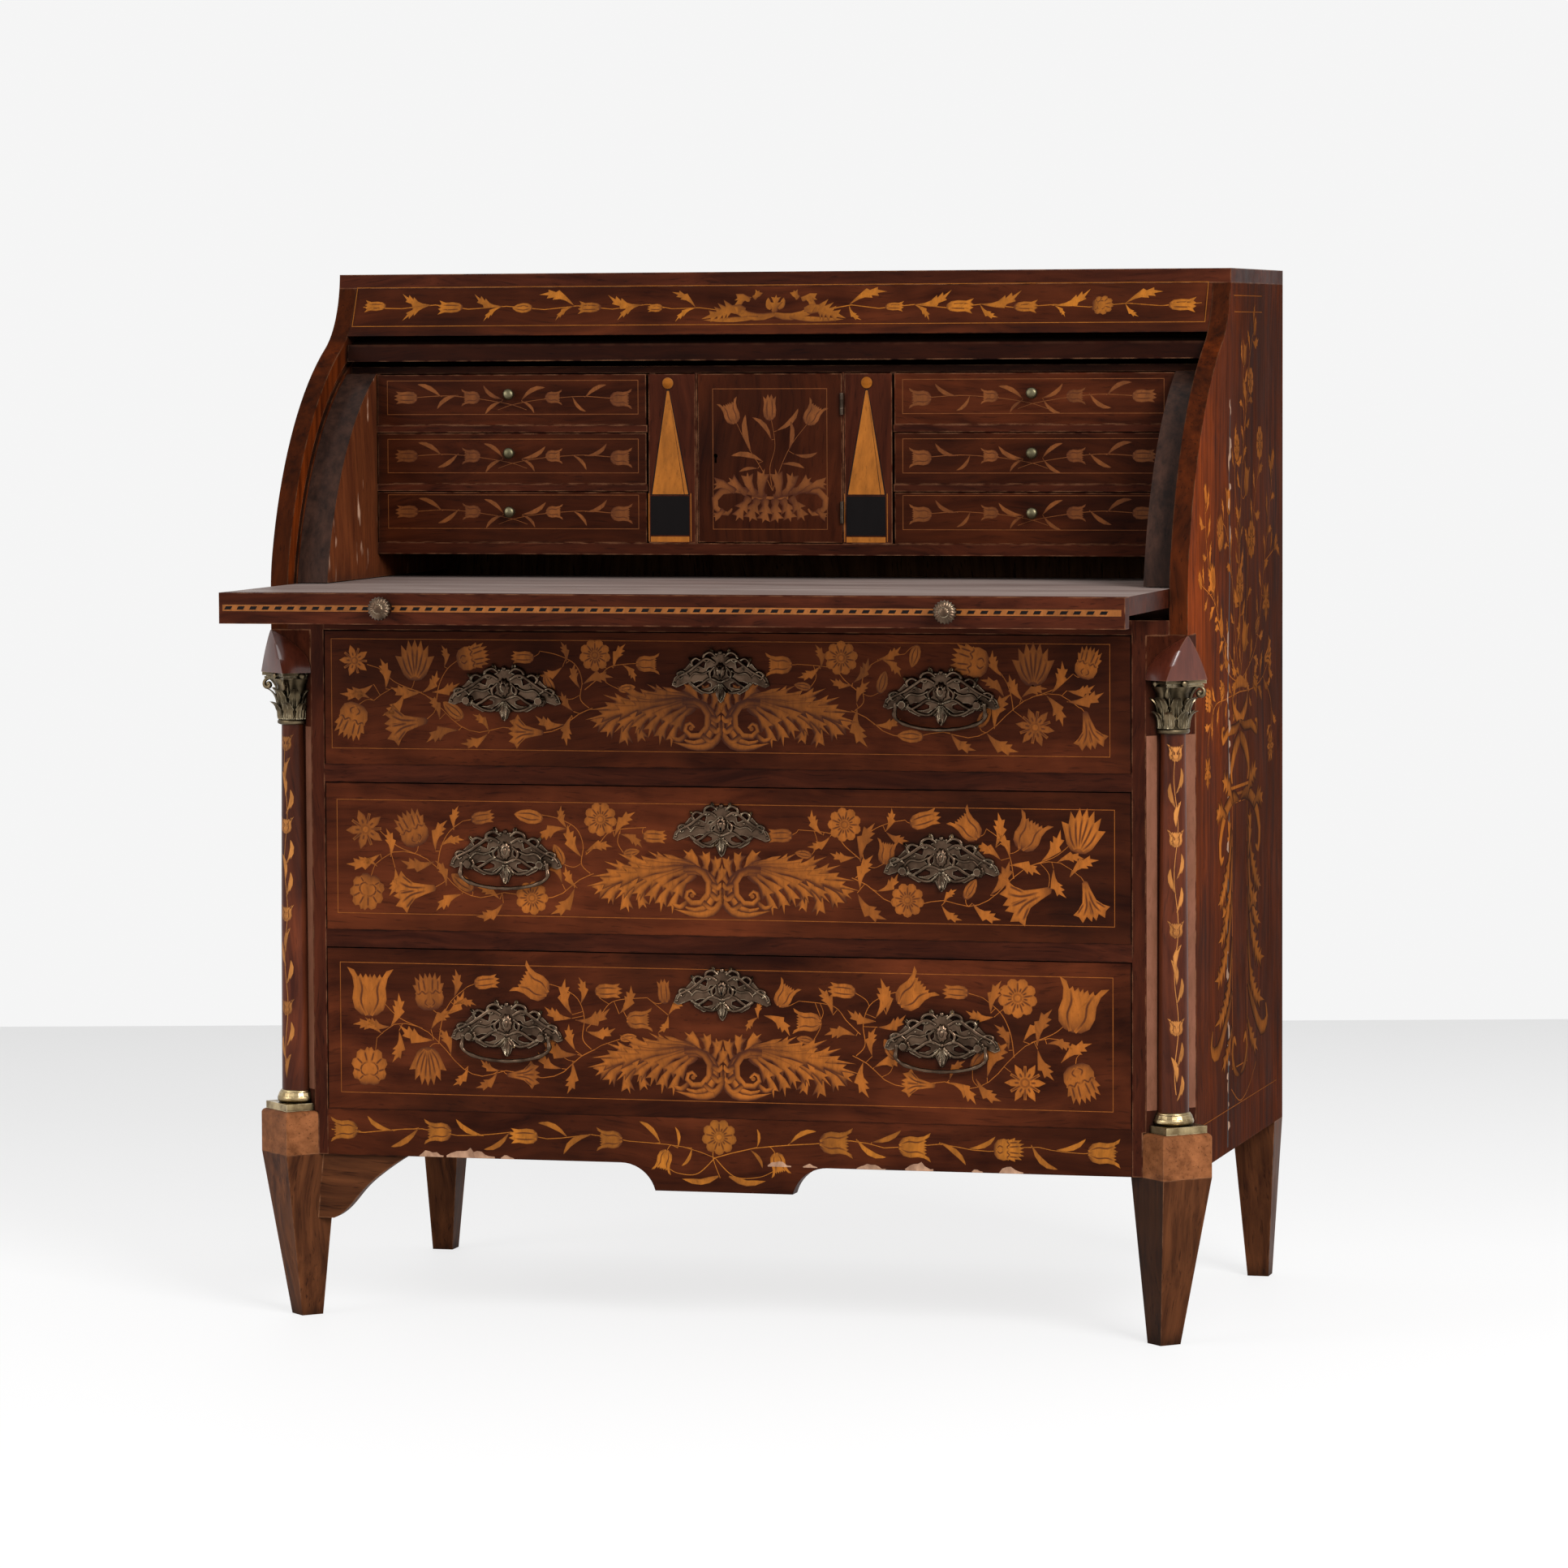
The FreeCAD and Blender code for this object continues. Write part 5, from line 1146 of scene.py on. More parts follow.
OBELISKS = {"left": (-116, -2.0), "right": (111, 1.0)}
OBELISK_STRIP = (857.5, 863.5)
OBELISK_BLOCK = (865, 909)
OBELISK_SHAFT = (911, 1027)
OBELISK_LINES = (858, 912)
OBELISK_BALL_Z = 1035.5
OBELISK_BALL = ((6.4, -0.4), (6.4, 0.8), (5.4, 1.6), (4.2, 1.7), (3.4, 2.3), (1.5, 2.6), (0.1, 2.6))


def obelisk_veneers(side):
    """Pale obelisk with a ball on its tip, its dark outline and block, and the strip below."""
    middle, lean = OBELISKS[side]
    pale, dark = Veneer(41), Veneer(42)
    foot, top = OBELISK_SHAFT
    half, tip = 21, middle + lean
    edge, block = half - 5, (middle - 23, middle + 22)
    dark.patch([(middle - half - 1.6, foot - 1), (middle + half + 1.6, foot - 1), (tip + 1.6, top + 2),
                (tip - 1.6, top + 2)], 0.4, dark.lift())
    pale.start_motif()
    pale.level = 4
    pale.patch([(middle - half, foot), (middle + edge, foot), (tip + 0.6, top), (tip - 1.2, top)], 0.05,
               pale.lift())
    pale.patch([(middle + edge + 0.8, foot), (middle + half, foot), (tip + 1.2, top), (tip + 0.7, top)], 0.3,
               pale.lift())
    dark.patch(upright_box(*block, *OBELISK_BLOCK), 0.8, dark.lift())
    pale.patch(upright_box(*block, *OBELISK_STRIP), 0.05, pale.lift())
    for u in (middle - 25, middle + 24):
        pale.line((u, OBELISK_LINES[0]), (u, OBELISK_LINES[1]), 1.0, 0.35)
    return pale, dark


# Rope banding on the slide


def rope_veneers():
    """Small dark slanted blocks on a pale band, between two thin dark lines."""
    pale, dark = Veneer(51), Veneer(52)
    half, bottom, middle, top, pitch = 492, 795.8, 799.3, 802.8, 14.1
    low, high, wide, slant = bottom + 1.7, top - 1.7, 7.4, 2.0
    dark.line((-half, middle), (half, middle), top - bottom + 0.8, 0.7)
    pale.level = 2
    pale.patch(upright_box(-half, half, bottom, top), 0.15, pale.lift())
    dark.level = 6
    for i in range(int(2 * half / pitch)):
        x = pitch * i - half + 2
        block = [(x, low), (x + wide, low), (x + wide + slant, high), (x + slant, high)]
        dark.patch(block, 0.6, dark.lift())
        dark.level = 6 + i % 3
    return pale, dark


# The sides: across is the depth from the front plane, as it lies in the saved frame

SIDE_MIDDLE = 300
SIDE_FLOWERS = (
    ("rosette", 300, 808, 45, 0), ("rosette", 365, 1035, 32, 0), ("rosette", 420, 965, 40, 0),
    ("bud", 100, 915, 24, -20), ("carnation", 185, 870, 42, -20), ("rosette", 370, 858, 45, 0),
    ("bud", 70, 822, 26, -50), ("lotus", 140, 822, 38, -40), ("star5", 460, 785, 50, 0),
    ("tulip", 190, 768, 30, -30), ("bud", 405, 760, 28, 60), ("tulip", 340, 925, 38, 15),
    ("lily", 470, 722, 46, 80), ("tulip", 395, 695, 32, 110), ("tulip", 195, 695, 28, -110),
    ("carnation", 116, 690, 36, -80), ("star5", 112, 612, 40, 0), ("bud", 500, 945, 28, 40),
    ("rosette", 282, 962, 32, 0), ("tulip", 330, 752, 40, 20), ("tulip", 232, 905, 34, -10),
    ("star6", 488, 618, 42, 0), ("bud", 520, 850, 26, 50), ("tulip", 330, 1066, 28, 10),
    ("bud", 392, 1096, 24, 30),
)

SIDE_STEMS = (
    ((300, 690), (302, 760), (298, 830), (306, 900), (326, 980), (352, 1020)),
    ((300, 700), (270, 760), (250, 830), (220, 870), (200, 880)),
    ((300, 700), (340, 780), (350, 840), (390, 900), (420, 950)),
    ((296, 700), (230, 740), (170, 780), (110, 850), (98, 900)),
    ((296, 700), (220, 720), (160, 790), (80, 816)), ((304, 700), (400, 740), (450, 830), (500, 930)),
    ((300, 690), (380, 690), (440, 700), (480, 720)), ((300, 690), (220, 686), (150, 680), (112, 640)),
    ((300, 760), (290, 860), (270, 930), (282, 955)), ((330, 980), (350, 1040), (372, 1080), (392, 1092)),
    ((440, 700), (490, 670), (490, 630)), ((230, 860), (228, 890)), ((450, 830), (500, 840), (518, 848)),
    ((330, 980), (318, 1030), (328, 1060)),
)

# One half of the urn's lip, handle and shoulder, and of the scrolled leaves of its foot

URN_BODY = (
    (((46, 690), (40, 676), (20, 664), (0, 660)), (1, 5, 7, 7, 6), 0.7, 10),
    (((2, 656), (30, 650), (70, 650), (100, 640), (104, 652), (92, 654)), (4, 6, 6, 5, 4, 2), 0.8, 14),
    (((2, 640), (30, 628), (52, 606), (46, 590)), (8, 10, 9, 6, 3), 0.6, 12),
)
URN_SCROLLS = (
    (((6, 570), (40, 575), (90, 560), (118, 530), (112, 508), (96, 512)), (3, 8, 9, 8, 6, 2), 0),
    (((40, 568), (70, 590), (106, 598)), (4, 9, 8, 0), 3),
    (((80, 556), (116, 566), (140, 556)), (4, 8, 7, 0), 3),
    (((48, 540), (70, 500), (104, 470), (130, 462)), (4, 9, 9, 6, 0), 5),
    (((46, 520), (60, 470), (94, 430), (128, 420)), (4, 9, 9, 6, 0), 5),
    (((46, 470), (70, 420), (110, 385), (150, 380)), (4, 9, 10, 7, 0), 5),
    (((46, 420), (64, 370), (100, 340), (150, 330)), (4, 9, 9, 7, 0), 5),
    (((46, 360), (80, 330), (130, 300), (166, 306), (160, 326)), (4, 8, 9, 7, 2), 0),
    (((46, 320), (70, 296), (110, 276)), (4, 8, 7, 0), 3),
    (((4, 262), (30, 270), (44, 290), (34, 304), (22, 296)), (3, 6, 6, 5, 2), 0),
    (((50, 500), (62, 530), (60, 556)), (4, 8, 7, 0), 2),
    (((54, 440), (84, 452), (104, 446)), (4, 8, 7, 0), 2),
)


def leaves_along(veneer, stems):
    """Leaves set to the left and right of the stems in turn."""
    pitch, size = 19, 34
    found = []
    for path in stems:
        length = sum(math.dist(a, b) for a, b in zip(path, path[1:]))
        count = int(length / pitch)
        line = smooth_path(path, 60)
        for k in range(1, count):
            i = int(60 * k / count)
            du, dv = heading(line, i)
            hand = 1 if k % 2 else -1
            lean = math.radians(veneer.chance.uniform(35, 60)) * hand
            lu = du * math.cos(lean) - dv * math.sin(lean)
            lv = du * math.sin(lean) + dv * math.cos(lean)
            long = size * veneer.chance.uniform(0.8, 1.25)
            u, v = line[i]
            tip = (u + lu * long, v + lv * long)
            if all(math.dist(tip, (x, z)) > 0.62 * grown for _, x, z, grown, _ in SIDE_FLOWERS):
                found.append((u + lu * 4, v + lv * 4, *tip))
    return found


def side_veneer(seed):
    """The urn with its flowers and leaves on a side."""
    veneer = Veneer(seed)
    grow(veneer, SIDE_STEMS, SIDE_FLOWERS, leaves_along(veneer, SIDE_STEMS), 1.3, 2, 0.9)
    m = SIDE_MIDDLE
    veneer.start_motif()
    veneer.blade([(m - 48, 693), (m, 702), (m + 48, 693)], (0, 5, 7, 5, 0), 0.3, LEAF_SHADES, steps=14)
    for side in (1, -1):
        for path, widths, base, steps in URN_BODY:
            veneer.blade(mirrored(path, side, m), widths, base, SCROLL_SHADES, steps=steps)
        for path, widths, teeth in URN_SCROLLS:
            veneer.blade(mirrored(path, side, m), widths, 0.8, SCROLL_SHADES, teeth, steps=14)
        veneer.disc(m + side * 102, 645, 5, 0.8)
    veneer.line((m - 60, 585), (m + 60, 585), 3.5, 0.1)
    veneer.line((m - 66, 577), (m + 66, 577), 3.0, 0.5)
    veneer.border(m - 45, m + 45, 272, 568, 1.4, 0.05)
    veneer.stem([(m - 50, 250), (m, 232), (m + 50, 240), (m + 100, 265)], 1.6, 0.2)
    for left, right, v in ((89, 527, 229.5), (264, 434, 1130), (268, 434, 1112)):
        veneer.line((left, v), (right, v), STRING_WIDTH)
    return veneer


CRACK = ((228, 188), (232, 300), (226, 420), (236, 560), (230, 700), (240, 830), (236, 930), (244, 1010))


def crack_veneers():
    """A long shrinkage crack in the left panel of the right side, with pale chips along it."""
    dark, chips = Veneer(61), Veneer(62)
    dark.stem(CRACK, 6.0, 1.0, 70)
    line = smooth_path(CRACK, 60)
    for i in range(1, 60):
        if chips.chance.random() < 0.62:
            wide, tall = chips.chance.uniform(3.5, 13.0), chips.chance.uniform(6, 26)
            hand = chips.chance.choice((-1, 1))
            chip = ((1, 0), (wide, tall * 0.3), (wide * 0.8, tall * 0.8), (0.6, tall))
            chips.patch(mirrored(chip, hand, *line[i]), chips.chance.uniform(0, 0.3), chips.lift())
    return dark, chips


# Columns and canted corners: where the columns stand, their radius at three heights, and how far
# the corners are cut

COLUMN_X = 497.5
COLUMN_Y = -139.5
COLUMN_PROFILE = ((17.0, 252.0), (15.95, 435.6), (13.5, 660.0))
CANT_DEPTH = 46.0


def column_veneer(seed):
    """A climbing row of small tulips with slender curved leaves, from the base to the capital."""
    veneer = Veneer(seed)
    stem = [(2.2 * math.sin(v / 17.0), v) for v in range(272, 640, 12)]
    veneer.stem(stem, 0.9, steps=90)
    for z in (345, 450, 548, 640):
        flower(veneer, "tulip", 0, z, 19, 0)
        for drop, hand in ((30, 1), (46, -1), (66, 1)):
            if z - drop > 262:
                leaf(veneer, 0, z - drop - 14, hand * 6, z - drop + 14, 0, 1.1)
    return veneer


def cant_veneer(seed):
    """Two upright strips of a canted corner, pinkish grey as a painted reflection, each with a line in its
    middle.
    """
    veneer = Veneer(seed)
    reach = math.hypot(CANT_DEPTH, CANT_DEPTH)
    for left, right in ((1.0, 14.5), (reach - 14.5, reach - 1.0)):
        veneer.patch(upright_box(left, right, 254, 658), 0.1, 0.05)
        middle = (left + right) / 2
        veneer.line((middle, 256), (middle, 656), 1.0, 0.35)
    return veneer


def cant_face(side):
    """The canted corner: across runs along the chamfer from its inner edge."""
    root = math.sqrt(0.5)
    return lambda u, v, lift: (
        side * (CANT_INNER + u * root + lift * root) * MM, (FRONT_Y + u * root - lift * root) * MM, v * MM)


# Faces that veneer is laid on


def front_face(node, behind=0.0):
    """The front of a node, or a plane behind it: across is x and up is z."""
    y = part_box(node)[0].y + behind * MM
    return lambda u, v, lift: (u * MM, y - lift * MM, v * MM)


def side_face(hand, side):
    """The outer face of a side: across is the depth from the front plane and up is z."""
    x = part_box(f"side_{hand}")[1 if side > 0 else 0].x
    return lambda u, v, lift: (x + side * lift * MM, (u + FRONT_Y) * MM, v * MM)


def profile_face(node):
    """The front of a moulding: its outline is read from the node's own mesh, height by height."""
    rows = {}
    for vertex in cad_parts[node].data.vertices:
        z = round(vertex.co.z, 5)
        rows[z] = min(rows.get(z, vertex.co.y), vertex.co.y)
    heights = sorted(rows)

    def depth(z):
        for low, high in zip(heights, heights[1:]):
            if low <= z <= high:
                share = (z - low) / (high - low)
                return rows[low] * (1 - share) + rows[high] * share
        return rows[heights[-1] if z > heights[-1] else heights[0]]

    def place(u, v, lift):
        z = v * MM
        slope = (depth(z + MM) - depth(z - MM)) / (2 * MM)
        size = math.hypot(1.0, slope)
        return (u * MM, depth(z) - lift * MM / size, z + lift * MM * slope / size)

    return place


def column_radius(z):
    """The column's radius in millimetres at a height."""
    foot, waist, neck = COLUMN_PROFILE
    (radius, low), (other, high) = (foot, waist) if z < waist[1] else (waist, neck)
    return radius + (other - radius) * (z - low) / (high - low)


def column_face(x, degrees):
    """Round a column: across is the arc from a direction, in degrees from the front, and up is z."""

    def place(u, v, lift):
        out = column_radius(v)
        angle = math.radians(degrees) + u / out
        reach = out + lift
        return ((x + reach * math.sin(angle)) * MM, (COLUMN_Y - reach * math.cos(angle)) * MM, v * MM)

    return place


# Cast and turned metal

# A cast leaf: its width along it, and how far each place across it is raised
LEAF_LOBES = (0.55, 0.95, 0.75, 1.05, 0.8, 0.75, 0.25)
LEAF_RIBS = ((-1, 0.0), (-0.66, 0.25), (-0.33, -0.05), (0, 0.45), (0.33, -0.05), (0.66, 0.25), (1, 0.0))


class Casting:
    """Rounded metal shapes in millimetres, joined in one mesh."""

    def __init__(self):
        self.points = []
        self.faces = []

    def net(self, rows):
        """Quads through closed rings of points, with a lid on the first and on the last."""
        first, wide = len(self.points), len(rows[0])
        for row in rows:
            self.points += [Vector(point) for point in row]
        last = first + (len(rows) - 1) * wide
        for a in range(first, last, wide):
            for j in range(wide):
                k = (j + 1) % wide
                self.faces.append((a + j, a + k, a + wide + k, a + wide + j))
        self.faces.append(tuple(range(first + wide - 1, first - 1, -1)))
        self.faces.append(tuple(range(last, last + wide)))

    def tube(self, path, radii, sides, steps):
        """A bar along a curve in space, its radius eased through the given ones."""
        path = [Vector(point) for point in path]
        ends = [path[0], *path, path[-1]]
        centre = []
        for step in range(steps + 1):
            at = step / steps * (len(path) - 1)
            leg = min(int(at), len(path) - 2)
            centre.append(on_curve(*ends[leg:leg + 4], at - leg))
        rows, side = [], None
        for i, point in enumerate(centre):
            ahead = (centre[min(i + 1, steps)] - centre[max(i - 1, 0)]).normalized()
            if side is None:
                side = ahead.orthogonal().normalized()
            side = (side - ahead * side.dot(ahead)).normalized()
            other = ahead.cross(side)
            radius = ease(radii, i / steps)
            rows.append([
                point + (side * math.cos(turn) + other * math.sin(turn)) * radius
                for turn in (math.tau * k / sides for k in range(sides))
            ])
        self.net(rows)

    def turn(self, profile, centre, axis="z", sides=48, flutes=0, depth=0.0, squash=1.0):
        """A turned shape from (radius, along) pairs, with flutes cut into it if wanted."""
        rows = []
        for radius, along in profile:
            row = []
            for k in range(sides):
                angle = math.tau * k / sides
                grooved = radius * (1 - depth * (0.5 - 0.5 * math.cos(flutes * angle))) if flutes else radius
                u, v = grooved * math.cos(angle), grooved * math.sin(angle) * squash
                row.append(Vector((u, v, along) if axis == "z" else (u, -along, v)) + Vector(centre))
            rows.append(row)
        self.net(rows)

    def scale_leaf(self, foot, along, out, length, width, thick, curl):
        """A ribbed leaf that stands on its foot, with lobed edges, and curls out at its tip."""
        along, out = Vector(along), Vector(out)
        across = along.cross(out)
        rows = []
        for i in range(9):
            share = i / 8
            wide = width / 2 * ease(LEAF_LOBES, share)
            level = Vector(foot) + along * length * (share - curl * 0.45 * share ** 4)
            level += out * length * curl * share ** 2.6
            front = [level + across * wide * k + out * thick * (1 + r * 1.6) for k, r in LEAF_RIBS]
            rows.append(front + [level + across * wide * k for k in (1, 0, -1)])
        self.net(rows)

    def lay(self, name, body, material, slot="old_brass"):
        """Makes the shapes one smooth piece that rides on a body."""
        mesh = bpy.data.meshes.new(name)
        mesh.from_pydata([point * MM for point in self.points], [], self.faces)
        mesh.validate()
        shape = bmesh.new()
        shape.from_mesh(mesh)
        bmesh.ops.recalc_face_normals(shape, faces=shape.faces)
        shape.to_mesh(mesh)
        shape.free()
        mesh.shade_smooth()
        mesh.set_sharp_from_angle(angle=math.radians(50))
        return add_piece(name, mesh, body, material)


# A dome from its foot to its tip, as shares of its radius and height
DOME = ((1.0, 0.0), (0.97, 0.3), (0.86, 0.6), (0.66, 0.85), (0.35, 1.0), (0.05, 1.05))

# Where the handle plates stand, and the heights of each drawer's handle plates and keyhole plate
PLATE_X = 246.5
PLATE_Y = FRONT_Y - 2.0
PLATE_HEIGHTS = ((695.95, 717.0), (515.915, 549.05), (325.0, 369.0))

# Half of a handle plate's relief, from its middle: tubes as path and radii, beads as place and
# radius, leaves as place, lean, length and width
PLATE_TUBES = (
    (((7, 17), (18, 22), (30, 15), (42, 7), (55, 1), (60, -5)), (1.8, 2.6, 2.4, 2.2, 1.8, 1.0)),
    (((6, 24), (13, 29), (21, 26), (22, 20), (17, 18), (15, 22)), (1.5, 2.1, 2.0, 1.8, 1.5, 1.0)),
    (((24, 18), (32, 22), (38, 18), (36, 13), (32, 14)), (1.3, 1.8, 1.8, 1.5, 1.0)),
    (((2, -5), (14, -1), (26, -8), (34, -11), (41, -7)), (1.4, 2.0, 2.0, 1.8, 1.6)),
    (((2, -8), (12, -17), (24, -16), (34, -10), (40, -6)), (1.2, 1.8, 1.9, 1.6, 1.4)),
    (((8, 12), (14, 6), (12, -1), (5, -4)), (1.4, 1.9, 1.7, 1.2)),
    (((41, 1), (50, 7), (57, 4), (54, -2), (50, 0)), (1.2, 1.7, 1.7, 1.4, 1.0)),
    (((14, 8), (24, 4), (34, 5), (41, -1)), (1.0, 1.6, 1.5, 1.0)),
)
PLATE_BEADS = ((0, 29, 2.8), (5.5, 27, 1.9), (27, 20, 1.7), (48, 5, 1.6), (61, -7, 1.9), (30, 9, 1.5),
               (0, -5, 2.6))
PLATE_LEAVES = ((0, -8, 0, 21, 7.5), (2, -9, 38, 13, 5.0), (10, 27, 20, 8, 4.5), (36, 17, 40, 9, 4.0))


def plate_relief(casting, x, z, size, tall):
    """Scrolls, beads, shell and leaf drop on one plate."""

    def at(u, v, out=0.0):
        return (x + u * size, PLATE_Y - out, z + v * tall)

    for side in (1, -1):
        for path, radii in PLATE_TUBES:
            casting.tube([at(side * u, v, 0.5) for u, v in path], [r * size for r in radii], 8, 18)
        for u, v, radius in PLATE_BEADS:
            if side == 1 or u:
                casting.turn([(radius * a, radius * b) for a, b in DOME], at(side * u, v), "y", 12)
        for u, v, lean, length, width in PLATE_LEAVES:
            if side == 1 or u:
                angle = math.radians(lean) * side
                down = -1 if v < 0 else 1
                along = (math.sin(angle), 0, down * math.cos(angle))
                foot = at(side * u, v)
                casting.scale_leaf(foot, along, (0, -1, 0), length * size, width * size, 1.2, 0.12)
    casting.turn([(7.4 * size * a, 4.0 * b) for a, b in DOME], at(0, 8), "y", 40, 10, 0.16, 1.5)
    casting.turn([(3.6 * size * a, 5.6 * b) for a, b in DOME], at(0, 8), "y", 24, 0, 0.0, 1.6)


# Half of a bail, as shares of its arm and drop; its beaded radii; and where the bails hang
BAIL_SPINE = ((1.0, 0.06), (1.0, -0.1), (1.02, -0.42), (0.95, -0.62), (0.76, -0.8), (0.5, -0.92),
              (0.25, -0.98), (0.0, -1.0))
BAIL_RADII = (2.2, 2.5, 2.0, 3.0, 2.0, 1.9, 2.7, 2.0, 1.9, 2.3, 1.9, 2.5,
              1.9, 2.3, 1.9, 2.0, 2.7, 1.9, 2.0, 3.0, 2.0, 2.5, 2.2)
BAILS = (("bail_1_right", 1, 689.45), ("bail_2_left", -1, 509.415), ("bail_3_left", -1, 318.5),
         ("bail_3_right", 1, 318.5))
BAIL_Y = FRONT_Y - 8.0
BAIL_HALF_SPAN = 41.5
BAIL_ARM = 49.3
BAIL_PIN = 37.3
BAIL_DROP = 26.6

# The collar of a bail's post on its plate, and how far it lies below the plate's middle
POST_COLLAR = ((6.8, 0.0), (6.6, 1.2), (5.4, 2.0), (4.6, 2.6), (4.4, 3.4))
POST_BELOW = 6.5

# The slide's knobs: foot, ribbed head and eye as (radius, out), and where they stand
SLIDE_KNOB_FOOT = ((8.2, 0.0), (8.2, 2.6), (6.0, 5.0), (5.4, 12.0), (7.0, 15.0))
SLIDE_KNOB_HEAD = ((7.0, 14.5), (11.5, 16.2), (13.0, 18.6), (12.8, 20.6), (11.0, 22.4), (8.0, 23.6),
                   (5.4, 24.0))
SLIDE_KNOB_EYE = ((5.2, 23.2), (5.2, 24.6), (4.0, 25.4), (1.5, 25.8), (0.1, 25.8))
SLIDE_KNOB_X = 308.8
SLIDE_KNOB_Y = FRONT_Y - 228.0
SLIDE_KNOB_Z = 800.0

# A small drawer's knob, how far it stands before the front board, and its height above the middle
SMALL_KNOB = ((3.8, 0.0), (3.8, 1.9), (2.6, 3.2), (2.8, 7.6), (5.2, 9.2), (6.4, 10.6), (6.4, 12.2),
              (5.2, 13.6), (3.4, 14.4), (0.1, 14.7))
SMALL_KNOB_DEPTH = 14.0
SMALL_KNOB_RISE = 6.0

# Rings of a column's base, and the bell of its capital, as (radius, height)
BASE_RINGS = ((19.5, 238.0), (20.8, 238.6), (22.1, 240.8), (22.3, 243.0), (21.6, 245.4), (19.6, 247.0),
              (18.6, 247.4), (18.8, 248.4), (19.2, 250.0), (18.4, 251.6), (17.0, 252.4))
CAPITAL_BELL = ((15.4, 660), (17.6, 661), (18.2, 663), (17.4, 665), (15.6, 666), (15.8, 690), (19.0, 704),
                (24.5, 711))

# A capital's leaf rows as (foot, height, leaves, radius, turn, curl), and its abacus's steps as
# (low, high, share of its size)
CAPITAL_LEAVES = ((666, 23, 8, 15.8, 0.0, 0.42), (676, 30, 8, 16.2, 0.5, 0.44), (666, 34, 8, 15.0, 0.5, 0.1))
ABACUS_STEPS = ((711.0, 713.0, 0.93), (713.0, 714.2, 0.88), (714.2, 717.9, 1.0))
ABACUS_REACH = 36.6

# The pointed caps: their heights, the case's edge, and how far each corner reaches at the foot
CAP_BOTTOM, CAP_HEIGHT = 718.0, 48.0
CAP_EDGE_X, CAP_NOSE, CAP_REACH, CAP_BACK = 517.0, 20.0, 37.0, 17.0


def pointed_cap(casting, side):
    """A glossy cap: square on the capital, swelling, and drawn up to the case's sharp corner."""
    rows = []
    for i in range(21):
        t = 0.985 * i / 20
        swell = math.cos(math.pi / 2 * t ** 1.25)
        front = (1 - t) ** 0.92 * (1 + 0.25 * t)
        left = (CAP_EDGE_X - CANT_DEPTH * swell, FRONT_Y - 0.6)
        nose = (COLUMN_X + (CAP_EDGE_X - COLUMN_X) * (1 - front), FRONT_Y - 0.6 - (CAP_NOSE - 0.6) * front)
        right = (CAP_EDGE_X + (COLUMN_X + CAP_REACH - CAP_EDGE_X) * front + 0.6, FRONT_Y + CAP_BACK * front)
        back = (CAP_EDGE_X + 0.6, FRONT_Y + CANT_DEPTH * swell)
        halfway = CANT_DEPTH * 0.5 * swell
        inner = (CAP_EDGE_X - halfway, FRONT_Y + halfway)
        ring = []
        for (ax, ay), (bx, by), bulge in ((left, nose, 3.2), (nose, right, 1.2), (right, back, 0.4)):
            long = math.hypot(bx - ax, by - ay) or 1.0
            nx, ny = (by - ay) / long, -(bx - ax) / long
            for k in range(6):
                share = k / 6
                out = 4 * share * (1 - share) * bulge * math.sin(math.pi * min(1.0, t + 0.15))
                ring.append((ax + (bx - ax) * share + nx * out, ay + (by - ay) * share + ny * out))
        z = CAP_BOTTOM + CAP_HEIGHT * t
        rows.append([(side * u, v, z) for u, v in (*ring, back, inner)])
    casting.net(rows)


def level_way(angle):
    """The level direction at an angle from x."""
    return Vector((math.cos(angle), math.sin(angle), 0))


def corinthian(casting, side):
    """One capital: ringed bell, rows of leaves, scrolls under the corners and a moulded abacus."""
    x, y = side * COLUMN_X, COLUMN_Y
    outer_corner = Vector((side, -1, 0))

    def at(out, reach, z):
        return Vector((x, y, z)) + out * reach

    casting.turn(CAPITAL_BELL, (x, y, 0), "z", 48)
    for foot, tall, count, radius, turn, curl in CAPITAL_LEAVES:
        for k in range(count):
            out = level_way(math.tau * (k + turn) / count + math.radians(45))
            if out.dot(outer_corner.normalized()) > -0.45:
                casting.scale_leaf(at(out, radius, foot), (0, 0, 1), out, tall, 13.0, 1.6, curl)
    for angle in (0, -90, -180) if side > 0 else (180, -90, 0):
        out = level_way(math.radians(angle))
        if out.dot(outer_corner) < -0.2:
            continue
        spiral = []
        for k in range(26):
            turn = 0.35 * k
            reach = 6.6 * math.exp(-0.085 * k)
            spiral.append(at(out, 29.4 + reach * math.sin(turn), 704 + reach * math.cos(turn)))
        stalk = [at(out, 17.5, 690), at(out, 20.0, 702), spiral[0] - out * 3]
        casting.tube(stalk + spiral, (1.6, 2.0, 2.4, 2.4, 2.2, 1.8, 1.2), 8, 80)
    for low, high, shrink in ABACUS_STEPS:
        reach = ABACUS_REACH * shrink
        rows = []
        for z in (low, high):
            row = []
            for corner in range(4):
                a, b = math.radians(90 * corner), math.radians(90 * corner + 90)
                for k in range(8):
                    share = k / 8
                    u = math.cos(a) * (1 - share) + math.cos(b) * share
                    v = math.sin(a) * (1 - share) + math.sin(b) * share
                    hollow = 1 - 0.16 * math.sin(math.pi * share)
                    row.append((x + reach * u * hollow, y + reach * v * hollow, z))
            rows.append(row)
        casting.net(rows)
    for angle in (-45, 45, -135):
        out = level_way(math.radians(angle))
        if out.dot(outer_corner) > -0.1:
            centre = at(out, 21.5, 714.5)
            casting.tube([centre, centre + out * 2.5, centre + out * 4.0], (4.6, 4.0, 1.0), 12, 6)


# Settings


def colour_property(name, description, default):
    return bpy.props.FloatVectorProperty(
        name=name, description=description, subtype="COLOR", size=3, min=0.0, max=1.0, default=default
    )


